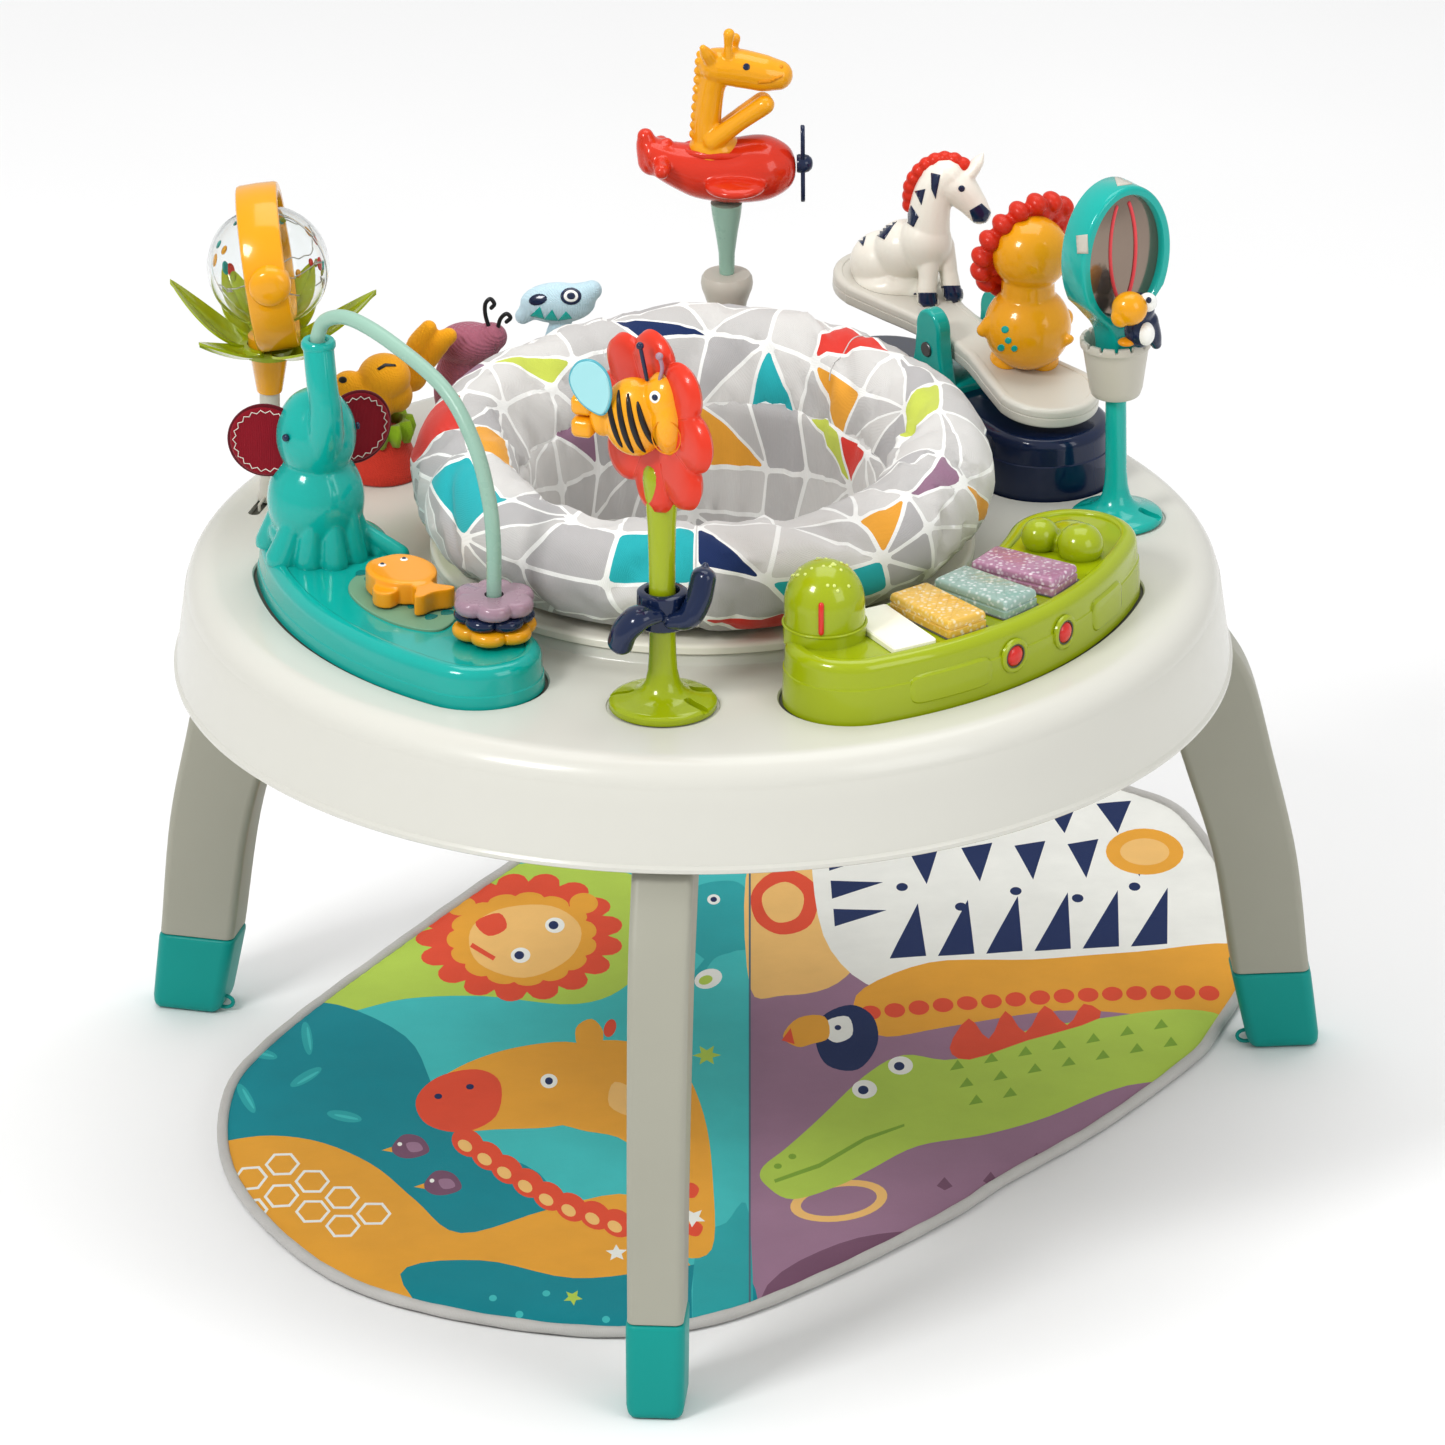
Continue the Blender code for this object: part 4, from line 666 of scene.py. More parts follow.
for rc, a0, a1 in RECS:
    boolean(tray, slab(bean(rc, a0, a1, 0.048 + 0.0022, 40, 26), [(TRAY_TOP - REC, 0), (TRAY_TOP - REC + 0.0018, 0),
                                                                 (TRAY_TOP + 0.0002, -0.0012), (TRAY_TOP + 0.004, -0.0012)]))
for x, y, r in STEMS:
    boolean(tray, put(lathe([(0, TRAY_TOP - 0.0009), (r, TRAY_TOP - 0.0009), (r + 0.0008, TRAY_TOP + 0.0002), (r + 0.0008, TRAY_TOP + 0.004),
                             (0, TRAY_TOP + 0.004)], 56), (x, y, 0)))
# small moulded slot with a hook at the tray's left rim
slot_m = basis((-0.3105, 0.1040, 0), (0, 0, 1), (0.34, 1.0, 0))
boolean(tray, put(slab(rounded_rect(0.042, 0.0085, 0.0040, 6), [(TRAY_TOP - 0.0040, 0), (TRAY_TOP + 0.0002, 0), (TRAY_TOP + 0.004, -0.0006)]), slot_m))
tray.data.shade_smooth()
tray.data.set_sharp_from_angle(angle=radians(32))
# the floors of the recesses and the slot get the painted-shade grey, so they read as a dark shade line round each base
for p in tray.data.polygons:
    z = p.center.z
    if TRAY_TOP - 0.0042 < z < TRAY_TOP - 0.0019 and p.normal.z > 0.995 and 0.2 < Vector((p.center.x, p.center.y)).length < 0.343:
        p.material_index = 1
hook = [put(tube([(-0.010, -0.0016, TRAY_TOP - 0.001), (-0.010, -0.0014, TRAY_TOP + 0.0030), (0.004, -0.0012, TRAY_TOP + 0.0040),
                  (0.010, -0.0012, TRAY_TOP + 0.0022)], 0.0011, 10), slot_m),
        put(tube([(0.013, 0.002, TRAY_TOP - 0.002), (0.013, 0.002, TRAY_TOP + 0.0022)], 0.0016, 12), slot_m)]
piece('slot_hook', hook, M_OFFWHITE)

# ring under the tray, with ribs and screws, seen from below
ur = [(0.352, 0.4302), (0.3520, 0.4512), (0.3510, 0.4516), (0.269, 0.4516), (0.268, 0.4510), (0.268, 0.4302), (0.2690, 0.4300), (0.2712, 0.4300),
      (0.2720, 0.4306), (0.272, 0.4472), (0.273, 0.4480), (0.347, 0.4480), (0.348, 0.4472), (0.348, 0.4306), (0.3488, 0.4300), (0.3512, 0.4300)]
piece('under_ring_look', lathe(ur, 180, closed=True), M_GREY, replaces='under_ring', sharp=30)
ribs = []
for k in range(30):
    a = 2 * pi * k / 30 + 0.05
    ribs.append(put(loft([[(0.2724, -0.0011, z), (0.3476, -0.0011, z), (0.3476, 0.0011, z), (0.2724, 0.0011, z)] for z in (0.4330, 0.4478)]),
                    Matrix.Rotation(a, 4, 'Z')))
piece('under_ring_ribs', ribs, M_GREY, sharp=30, bevel=0.0004)
screws = []
for k in range(6):
    a = 2 * pi * (k + 0.5) / 6 + 0.05
    screws.append(put(lathe([(0, 0.4440), (0.0016, 0.4440), (0.0022, 0.4446), (0.0042, 0.4450), (0.0045, 0.4460), (0.0045, 0.4478), (0, 0.4478)], 20),
                      (0.310 * cos(a), 0.310 * sin(a), 0)))
piece('under_ring_screws', screws, M_SCREW)

# ---------------------------------------------------------------- legs, feet
HEAD_SECTIONS = [(0.385, 0.3580, 0.2900), (0.4295, 0.3460, 0.2830)]
FRONT_LEG = [(0.150, 0.4430, 0.3900), (0.223, 0.4300, 0.3710), (0.290, 0.4140, 0.3480), (0.330, 0.3960, 0.3240), (0.360, 0.3740, 0.3020)]
SIDE_LEG = [(0.150, 0.4595, 0.4005), (0.223, 0.4430, 0.3790), (0.290, 0.4260, 0.3570), (0.325, 0.4080, 0.3360), (0.355, 0.3840, 0.3120)]
LEGS = (('front', -91.3, 0.0, 0.069, (0.4600, 0.4100), (0.4525, 0.4020), FRONT_LEG),
        ('right', 27.8, -20.0, 0.060, (0.4780, 0.4280), (0.4693, 0.4148), SIDE_LEG),
        ('left', 147.8, 20.0, 0.060, (0.4780, 0.4280), (0.4693, 0.4148), SIDE_LEG))


def leg_width(z):
    return 0.0385 + (0.0432 - 0.0385) * min(1.0, z / 0.33)


def leg_ring(z, ro, ri, w, shrink, corner, twist):
    c, s = cos(radians(twist)), sin(radians(twist))
    pts = rounded_rect(ro - ri - 2 * shrink, w - 2 * shrink, max(corner - shrink, 0.0008), 8)
    return [((ro + ri) / 2 + x * c - y * s, x * s + y * c, z) for x, y in pts]


for nm, ang, twist, fh, floor_r, ankle_r, secs in LEGS:
    rot = Matrix.Rotation(radians(ang), 4, 'Z')
    ctrl = [Vector((fh + 0.0004, *ankle_r))] + [Vector(s) for s in secs] + [Vector(s) for s in HEAD_SECTIONS]
    path = spline(ctrl, 7)
    path[-1] = Vector(HEAD_SECTIONS[-1])
    out_r = [leg_ring(z, ro, ri, leg_width(z), 0.0, 0.0062, twist) for z, ro, ri in path]
    in_r = [leg_ring(z, ro, ri, leg_width(z), SKIN, 0.0062, twist) for z, ro, ri in path]
    z0, ro0, ri0 = path[0]
    lip = [leg_ring(z0, ro0, ri0, leg_width(z0), 0.0007, 0.0062, twist)]
    out_r[0] = leg_ring(z0 + 0.0007, ro0, ri0, leg_width(z0), 0.0, 0.0062, twist)
    ob = piece(f'leg_{nm}_look', put(loft(lip + out_r + in_r[::-1], closed=True), rot), M_GREY, replaces=f'leg_{nm}', turn=False, sharp=32)
    # the foot at the bottom of each leg, with rounded edges
    foot = []
    lv = [(0.0, 0.0034), (0.0006, 0.0020), (0.0020, 0.0006), (0.0045, -0.0004), (0.009, -0.0011), (fh * 0.5, -0.0012), (fh - 0.0032, -0.0012),
          (fh - 0.0016, -0.0009), (fh - 0.0005, -0.0001), (fh, 0.0010)]
    for z, shr in lv:
        q = z / fh
        ro = floor_r[0] - 0.001 + (ankle_r[0] - floor_r[0] + 0.001) * q
        ri = floor_r[1] + (ankle_r[1] - floor_r[1]) * q
        foot.append(leg_ring(z, ro, ri, leg_width(z), shr, 0.0070, twist))
    piece(f'foot_{nm}_look', put(loft(foot), rot), M_FOOT, replaces=f'foot_{nm}', turn=False, sharp=40)
    # moulded loop at the foot's inner end
    if nm != 'front':
        a = radians(ang)
        c = Vector(((floor_r[1] - 0.0045) * cos(a), (floor_r[1] - 0.0045) * sin(a), 0.0068))
        side = Vector((cos(a + radians(twist)), sin(a + radians(twist)), 0))
        sgn = -1
        loop = [c - side * (0.0010 * 0) + (side * cos(t) * 0.0062 * 1.0 + Vector((0, 0, 1)) * sin(t) * 0.0044) for t in
                [2 * pi * k / 20 for k in range(20)]]
        lp = []
        for k in range(20):
            p, q = loop[k], loop[(k + 1) % 20]
            tt = (loop[(k + 1) % 20] - loop[k - 1]).normalized()
            n1 = Vector((0, 0, 1)).cross(tt)
            n1 = n1.normalized() if n1.length > 0.05 else side.cross(tt).normalized()
            n1 = Vector((-side.y, side.x, 0))
            n2 = tt.cross(n1).normalized()
            lp.append([p + n1 * 0.0016 * cos(2 * pi * j / 10) + n2 * 0.0014 * sin(2 * pi * j / 10) for j in range(10)])
        piece(f'foot_{nm}_loop', loft(lp, closed=True), M_FOOT, turn=False)
# ------------------------------------------------------ printed cloth helper


def in_poly(px, py, poly):
    """Vectorised even-odd test."""
    hit = np.zeros(len(px), bool)
    n = len(poly)
    for i in range(n):
        (x0, y0), (x1, y1) = poly[i - 1], poly[i]
        if y0 == y1:
            continue
        c = ((y0 > py) != (y1 > py)) & (px < (x1 - x0) * (py - y0) / (y1 - y0) + x0)
        hit ^= c
    return hit


def dense(loop, step):
    """Loop with no edge longer than step."""
    out = []
    n = len(loop)
    for i in range(n):
        a, b = loop[i], loop[(i + 1) % n]
        d = math.hypot(b[0] - a[0], b[1] - a[1])
        k = max(1, int(math.ceil(d / step)))
        for j in range(k):
            t = j / k
            out.append((a[0] + (b[0] - a[0]) * t, a[1] + (b[1] - a[1]) * t))
    return out


def print_faces(points, regions, step, base=0, drop=()):
    """Triangles of a flat domain cut along every region's outline.

    regions are (outline, material index) from the bottom layer to the top one; an index of None cuts a hole."""
    verts = [Vector(p) for p in points]
    edges = []
    for loop, _ in regions:
        d = dense(loop, step)
        o = len(verts)
        verts += [Vector(p) for p in d]
        edges += [(o + i, o + (i + 1) % len(d)) for i in range(len(d))]
    vs, _, fs, *_rest = delaunay_2d_cdt(verts, edges, [], 0, 2e-6, False)
    v = np.array([(p.x, p.y) for p in vs])
    f = np.array([t for t in fs if len(t) == 3])
    c = v[f].mean(axis=1)
    m = np.full(len(f), base)
    keep = np.ones(len(f), bool)
    for loop, idx in regions:
        lo, hi = np.min(loop, axis=0), np.max(loop, axis=0)
        near = np.where((c[:, 0] >= lo[0]) & (c[:, 0] <= hi[0]) & (c[:, 1] >= lo[1]) & (c[:, 1] <= hi[1]))[0]
        got = near[in_poly(c[near, 0], c[near, 1], loop)]
        if idx is None:
            keep[got] = False
        else:
            m[got] = idx
    a, b, d = v[f[:, 0]], v[f[:, 1]], v[f[:, 2]]
    cr = (b[:, 0] - a[:, 0]) * (d[:, 1] - a[:, 1]) - (b[:, 1] - a[:, 1]) * (d[:, 0] - a[:, 0])
    f[cr < 0] = f[cr < 0][:, ::-1]
    keep &= np.abs(cr) > 1e-10
    return v, f[keep], m[keep]


def simulate(me, pins, frames=20, pressure=4.0, gravity=0.0, shrink=0.0, cap=0.01, mass=0.3, bend=0.5, quality=6):
    """Cloth simulation of a mesh; returns the settled vertices, held within cap."""
    start = np.array([v.co for v in me.vertices])
    ob = bpy.data.objects.new('cloth_work', me.copy())
    scene.collection.objects.link(ob)
    g = ob.vertex_groups.new(name='pin')
    for i, w in pins.items():
        g.add([int(i)], float(w), 'REPLACE')
    md = ob.modifiers.new('Cloth', 'CLOTH')
    s = md.settings
    s.quality = quality
    s.mass = mass
    s.tension_stiffness = s.compression_stiffness = 18
    s.shear_stiffness = 6
    s.bending_stiffness = bend
    s.use_pressure = pressure > 0
    s.uniform_pressure_force = pressure
    s.shrink_min = shrink
    s.vertex_group_mass = 'pin'
    s.effector_weights.gravity = gravity
    s.pin_stiffness = 4.0
    md.collision_settings.use_collision = False
    md.point_cache.frame_start, md.point_cache.frame_end = 1, frames + 2
    scene.frame_start, scene.frame_end = 1, frames + 2
    for fr in range(1, frames + 1):
        scene.frame_set(fr)
    dg = bpy.context.evaluated_depsgraph_get()
    ev = ob.evaluated_get(dg).to_mesh()
    out = np.array([v.co for v in ev.vertices])
    ob.evaluated_get(dg).to_mesh_clear()
    bpy.data.objects.remove(ob, do_unlink=True)
    scene.frame_set(1)
    d = out - start
    d[~np.isfinite(d)] = 0.0
    ln = np.linalg.norm(d, axis=1, keepdims=True) + 1e-12
    return start + d * np.minimum(1.0, cap / ln)


def bicubic(grid, fu, fv):
    """Catmull-Rom lookup; grid is [u, v, 3], periodic in u, clamped in v unless wrapped outside."""
    nu, nv = grid.shape[:2]
    iu, iv = np.floor(fu).astype(int), np.floor(fv).astype(int)
    tu, tv = fu - iu, fv - iv

    def wts(t):
        return np.stack([-0.5 * t + t * t - 0.5 * t ** 3, 1 - 2.5 * t * t + 1.5 * t ** 3, 0.5 * t + 2 * t * t - 1.5 * t ** 3,
                         -0.5 * t * t + 0.5 * t ** 3])
    wu, wv = wts(tu), wts(tv)
    out = np.zeros((len(fu), 3))
    for a in range(4):
        for b in range(4):
            out += (wu[a] * wv[b])[:, None] * grid[(iu + a - 1) % nu, np.clip(iv + b - 1, 0, nv - 1)]
    return out


# --------------------------------------------------------------------- seat
SEAT_R, PAD_R, PAD_BOTTOM, PAD_FRONT, PAD_BACK = 0.166, 0.0375, 0.4745, 0.5565, 0.580
U0 = radians(-88)                       # the cover's seam, at the front
PER = 2 * pi * SEAT_R
ROLL_Y = 0.190                          # printed height of the roll, flat


def roll_centre(a):
    up = (1 + np.sin(a)) / 2
    top = PAD_FRONT + (PAD_BACK - PAD_FRONT) * up ** 1.5
    return (PAD_BOTTOM + top) / 2, (top - PAD_BOTTOM) / 2


NU, NT = 132, 34
rng = np.random.default_rng(11)
ua = U0 + 2 * pi * np.arange(NU) / NU
ta = radians(-175) + 2 * pi * np.arange(NT) / NT
U, T = np.meshgrid(ua, ta, indexing='ij')
zc, rz = roll_centre(U)
SHR = 0.0022
start = np.stack([(SEAT_R + (PAD_R - SHR) * np.cos(T)) * np.cos(U), (SEAT_R + (PAD_R - SHR) * np.cos(T)) * np.sin(U),
                  zc + (rz - SHR) * np.sin(T)], axis=-1)
seams = [U0, radians(-20), radians(52), radians(122), radians(196)]
vi = lambda i, j: i * NT + (j % NT)
faces = [(vi(i, j), vi((i + 1) % NU, j), vi((i + 1) % NU, j + 1), vi(i, j + 1)) for i in range(NU) for j in range(NT)]
grid = start.copy()
me = bpy.data.meshes.new('roll_work')
me.from_pydata(start.reshape(-1, 3).tolist(), [], faces)
pins = {}
for i in range(NU):
    for j in range(NT):
        t = math.degrees(ta[j]) % 360
        near = min(abs((ua[i] - s + pi) % (2 * pi) - pi) for s in seams)
        if 235 < t < 305:
            pins[i * NT + j] = 1.0
        elif near < pi / NU * 1.05:
            pins[i * NT + j] = 0.85
grid = simulate(me, pins, 20, pressure=3.2, shrink=-0.035, cap=0.0060, bend=0.35).reshape(NU, NT, 3)
bpy.data.meshes.remove(me)
# soft creases that run into the well, and a pulled-in line at each seam
out_dir = np.stack([np.cos(T) * np.cos(U), np.cos(T) * np.sin(U), np.sin(T)], axis=-1)
cre = np.zeros_like(U)
for k in range(44):
    a0 = rng.uniform(0, 2 * pi)
    w = rng.uniform(0.026, 0.070)
    t0 = rng.uniform(95, 185) if k % 4 else rng.uniform(-40, 60)
    amp = rng.uniform(0.0012, 0.0036)
    lean = rng.uniform(-0.5, 0.5)
    da = (U - a0 - lean * (T - radians(t0)) + pi) % (2 * pi) - pi
    dt = (T - radians(t0) + pi) % (2 * pi) - pi
    cre -= amp * np.exp(-(da / w) ** 2) * np.exp(-(dt / 0.75) ** 2)
    cre += 0.7 * amp * np.exp(-((da - 1.6 * w) / w) ** 2) * np.exp(-(dt / 0.75) ** 2)
for s in seams:
    da = (U - s + pi) % (2 * pi) - pi
    cre -= 0.0030 * np.exp(-(da / 0.030) ** 2)
grid = grid + out_dir * cre[..., None]
low = grid[..., 2] < PAD_BOTTOM
grid[..., 2] = np.where(low, PAD_BOTTOM, grid[..., 2])
ROLL = grid


def roll_at(x, y):
    fu = x / PER * NU
    t = -75.0 + 260.0 * y / ROLL_Y
    fv = (t + 175.0) / 360.0 * NT
    nv = NT
    wrapped = np.concatenate([ROLL[:, -2:], ROLL, ROLL[:, :3]], axis=1)
    return bicubic(wrapped, fu, fv + 2)


# sling: funnel of cloth from inside the roll to the seat, with draped folds
SL = np.array([(0.1290, 0.531), (0.1265, 0.510), (0.1235, 0.490), (0.118, 0.440), (0.110, 0.380), (0.098, 0.325), (0.078, 0.290), (0.045, 0.274),
               (0.010, 0.2715)])
arc = np.concatenate([[0], np.cumsum(np.hypot(np.diff(SL[:, 0]), np.diff(SL[:, 1])))])
SLING_L = float(arc[-1])
NV = 44
sv = np.linspace(0, SLING_L, NV)
rr, zz = np.interp(sv, arc, SL[:, 0]), np.interp(sv, arc, SL[:, 1])
for _ in range(3):
    rr[1:-1] = (rr[:-2] + 2 * rr[1:-1] + rr[2:]) / 4
    zz[1:-1] = (zz[:-2] + 2 * zz[1:-1] + zz[2:]) / 4
US, SS = np.meshgrid(ua, sv, indexing='ij')
lift = np.interp(roll_centre(ua)[0], [0.5155, 0.5275], [0.0, 0.012])[:, None] * np.exp(-(SS / 0.05) ** 2)
sling = np.stack([rr[None] * np.cos(US), rr[None] * np.sin(US), zz[None] + lift], axis=-1)
me = bpy.data.meshes.new('sling_work')
vj = lambda i, j: i * NV + j
me.from_pydata(sling.reshape(-1, 3).tolist(), [], [(vj(i, j), vj((i + 1) % NU, j), vj((i + 1) % NU, j + 1), vj(i, j + 1))
                                                   for i in range(NU) for j in range(NV - 1)])
pins = {i * NV + j: 1.0 for i in range(NU) for j in (0, 1)}
pins.update({i * NV + j: 1.0 for i in range(NU) for j in range(NV - 9, NV)})
sling = simulate(me, pins, 22, pressure=0.0, gravity=1.0, shrink=-0.075, cap=0.009, bend=0.2, mass=0.25).reshape(NU, NV, 3)
bpy.data.meshes.remove(me)
rad = np.stack([np.cos(US), np.sin(US), 0 * US], axis=-1)
fold = np.zeros_like(US)
for k in range(30):
    a0 = rng.uniform(0, 2 * pi)
    w = rng.uniform(0.035, 0.080)
    s0 = rng.uniform(0.03, 0.16)
    amp = rng.uniform(0.0028, 0.0066)
    da = (US - a0 - rng.uniform(-2.5, 2.5) * (SS - s0) + pi) % (2 * pi) - pi
    fold -= amp * np.exp(-(da / w) ** 2) * np.exp(-((SS - s0) / 0.06) ** 2)
fold *= np.clip(SS / 0.02, 0, 1) * np.clip((SLING_L - 0.08 - SS) / 0.05, 0, 1)
sling = sling + rad * fold[..., None]
rad_now = np.hypot(sling[..., 0], sling[..., 1])
limit = np.where(sling[..., 2] > 0.44, 0.1375, 0.2)
scale = np.minimum(1.0, limit / np.maximum(rad_now, 1e-6))
sling[..., 0] *= scale
sling[..., 1] *= scale
# the first part of the sling follows the roll, so the two prints meet along one crease
edge0 = roll_at((ua - U0) / (2 * pi) * PER, np.full(NU, ROLL_Y - 0.0075))
er = np.hypot(edge0[:, 0], edge0[:, 1])
start_p = np.stack([np.cos(ua) * (er + 0.0080), np.sin(ua) * (er + 0.0080), edge0[:, 2] - 0.0050], axis=-1)
low_p = np.stack([np.cos(ua) * (er - 0.0026), np.sin(ua) * (er - 0.0026), edge0[:, 2] - 0.0085], axis=-1)
for j in range(NV):
    s_ = sv[j]
    if s_ < 0.011:
        q = s_ / 0.011
        sling[:, j] = start_p * (1 - q) + low_p * q
    elif s_ < 0.055:
        q = (s_ - 0.011) / 0.044
        q = q * q * (3 - 2 * q)
        fall = low_p.copy()
        fall[:, 2] -= (s_ - 0.011) * 0.98
        fall[:, :2] *= 1 - 0.055 * (s_ - 0.011) / 0.044
        sling[:, j] = fall * (1 - q) + sling[:, j] * q
SLING = sling


def sling_at(x, y):
    return bicubic(SLING, x / PER * NU, np.clip((y - ROLL_Y) / SLING_L, 0, 1) * (NV - 1))


# the print: an irregular net of light lines, with some patches coloured
random.seed(5)
NX, NY = 20, 11
Y0, DY = -0.010, 0.0412
net = []
for i in range(NX + 1):
    col = []
    for j in range(NY + 1):
        jx = 0 if i in (0, NX) else random.uniform(-0.0115, 0.0115)
        jy = random.uniform(-0.0105, 0.0105)
        col.append((i * PER / NX + jx + (0.010 if j % 2 and i not in (0, NX) else 0.0), Y0 + j * DY + jy))
    net.append(col)
for j in range(NY + 1):
    net[NX][j] = (PER, net[NX][j][1])
PATCHES = [('mauve', 154, 0.099), ('mauve', 142, 0.219), ('mauve', -20, 0.084), ('lime', 146, 0.144), ('lime', 9, 0.135), ('lime', 43, 0.225),
           ('navy', 100, 0.159), ('red', -86, 0.030), ('red', 58, 0.147), ('red', 29, 0.219), ('red', -177, 0.093), ('navy', -80, 0.075), ('navy', -87, 0.080),
           ('mustard', 43, 0.172), ('mustard', 88, 0.255), ('mustard', -167, 0.144), ('mustard', -43, 0.090), ('mustard', -12, 0.045),
           ('teal', 74, 0.201), ('teal', -146, 0.075), ('teal', -105, 0.078), ('teal', -56, 0.055), ('lime', 190, 0.03), ('navy', 168, 0.27),
           ('teal', 120, 0.05), ('mustard', 72, 0.06), ('red', 96, 0.045), ('mauve', 40, 0.05), ('navy', 18, 0.07), ('teal', -5, 0.30),
           ('lime', -60, 0.24), ('navy', -130, 0.22), ('red', -100, 0.27), ('mustard', 210, 0.24), ('mauve', 62, 0.33), ('lime', 115, 0.34),
           ('teal', 150, 0.36), ('red', 10, 0.37)]
spots = []
for c, u, s in PATCHES:
    a = radians(u)
    sr = 0.1787 + 0.0301 * ((1 + sin(a)) / 2) ** 1.5
    x = ((a - U0) % (2 * pi)) * SEAT_R
    spots.append((c, x, s / sr * ROLL_Y if s < sr else ROLL_Y + s - sr))
COLS = ['line', 'grey', 'grey2', 'grey3', 'mauve', 'lime', 'navy', 'red', 'mustard', 'teal']
cells = []
for i in range(NX):
    for j in range(NY):
        q = [net[i][j], net[i + 1][j], net[i + 1][j + 1], net[i][j + 1]]
        r = random.random()
        if r < 0.24:
            cells += [[q[0], q[1], q[2]], [q[0], q[2], q[3]]]
        elif r < 0.48:
            cells += [[q[0], q[1], q[3]], [q[1], q[2], q[3]]]
        else:
            cells.append(q)


def shrink_poly(poly, d):
    """Convex outline moved in by d, with its corners taken off."""
    poly = ccw(poly)
    n = len(poly)
    out = []
    for i in range(n):
        p0, p1, p2 = Vector(poly[i - 1]), Vector(poly[i]), Vector(poly[(i + 1) % n])
        e0, e1 = (p1 - p0).normalized(), (p2 - p1).normalized()
        n0, n1 = Vector((-e0.y, e0.x)), Vector((-e1.y, e1.x))
        b = (n0 + n1)
        b = b / max(0.25, b.dot(n0))
        c = p1 + b * d
        out += [tuple(c - e0 * min(0.0035, (p1 - p0).length * 0.15)), tuple(c + (e1 - e0) * 0.0004 + b * 0.0006), tuple(c + e1 * min(0.0035, (p2 - p1).length * 0.15))]
    return out


regions = []
for poly in cells:
    small = shrink_poly(poly, 0.0016)
    if area2(small) < 0.0002:
        continue
    col = None
    for c, x, y in spots:
        if inside((x, y), poly):
            col = c
    if col is None:
        col = random.choice(['grey', 'grey', 'grey2', 'grey3', 'grey3'])
    regions.append((small, COLS.index(col)))


def clip_loop(loop, y0, y1):
    """Outline cut to a band of y."""
    for lim, sign in ((y0, 1), (y1, -1)):
        out = []
        for i in range(len(loop)):
            a, b = loop[i - 1], loop[i]
            ina, inb = sign * (a[1] - lim) >= 0, sign * (b[1] - lim) >= 0
            if ina != inb:
                t = (lim - a[1]) / (b[1] - a[1])
                out.append((a[0] + (b[0] - a[0]) * t, lim))
            if inb:
                out.append(b)
        loop = out
        if len(loop) < 3:
            return None
    return loop


def cover(name, at, y0, y1, rows, holes, thick, body, swap, wrap_y=False):
    """Printed cover from a surface function, welded along its seam."""
    step = 0.0068
    pts = []
    for y, n in rows:
        pts += [(PER * k / n, y) for k in range(n + 1)]
    regs = [(c, m) for c, m in ((clip_loop(r, y0, y1), m) for r, m in regions) if c]
    v, f, m = print_faces(pts, regs + [(h, None) for h in holes], step)
    co = at(v[:, 0], v[:, 1])
    e = 4e-4
    du = at(v[:, 0] + e, v[:, 1]) - at(v[:, 0] - e, v[:, 1])
    dv = at(v[:, 0], np.minimum(v[:, 1] + e, y1)) - at(v[:, 0], np.maximum(v[:, 1] - e, y0))
    nr = np.cross(du, dv)
    nr /= np.linalg.norm(nr, axis=1, keepdims=True) + 1e-12
    mats = [M_SEAT[c] for c in COLS]
    if thick:
        n = len(co)
        co = np.concatenate([co, co - nr * thick])
        nr = np.concatenate([nr, -nr])
        edge = {}
        for t in f:
            for a, b in ((t[0], t[1]), (t[1], t[2]), (t[2], t[0])):
                edge[(int(a), int(b))] = True
        rim = [(a, b) for a, b in edge if (b, a) not in edge and not (abs(v[a, 0] - v[b, 0]) < 1e-7 and (v[a, 0] < 1e-6 or v[a, 0] > PER - 1e-6))]
        faces_all = f.tolist() + (f[:, ::-1] + n).tolist() + [(b, a, a + n, b + n) for a, b in rim]
        midx = m.tolist() + [1] * len(f) + [1] * len(rim)
    else:
        faces_all, midx = f.tolist(), m.tolist()
    me = bpy.data.meshes.new(name)
    me.from_pydata(co.tolist(), [], faces_all)
    me.polygons.foreach_set('material_index', midx)
    bm = bmesh.new()
    bm.from_mesh(me)
    bmesh.ops.remove_doubles(bm, verts=bm.verts, dist=0.00003)
    bmesh.ops.dissolve_degenerate(bm, edges=bm.edges, dist=0.00002)
    outward(bm)
    bm.to_mesh(me)
    bm.free()
    ob = place(name, me, mats, body, swap, turn=False, sharp=None if not thick else 70)
    return ob


roll_rows = [(-0.0730769 + (ROLL_Y + 0.0730769) * k / 41, 150) for k in range(42)]
roll = cover('seat_roll', roll_at, -0.0730769, ROLL_Y, roll_rows, [], 0, 'seat', 'seat_pad')
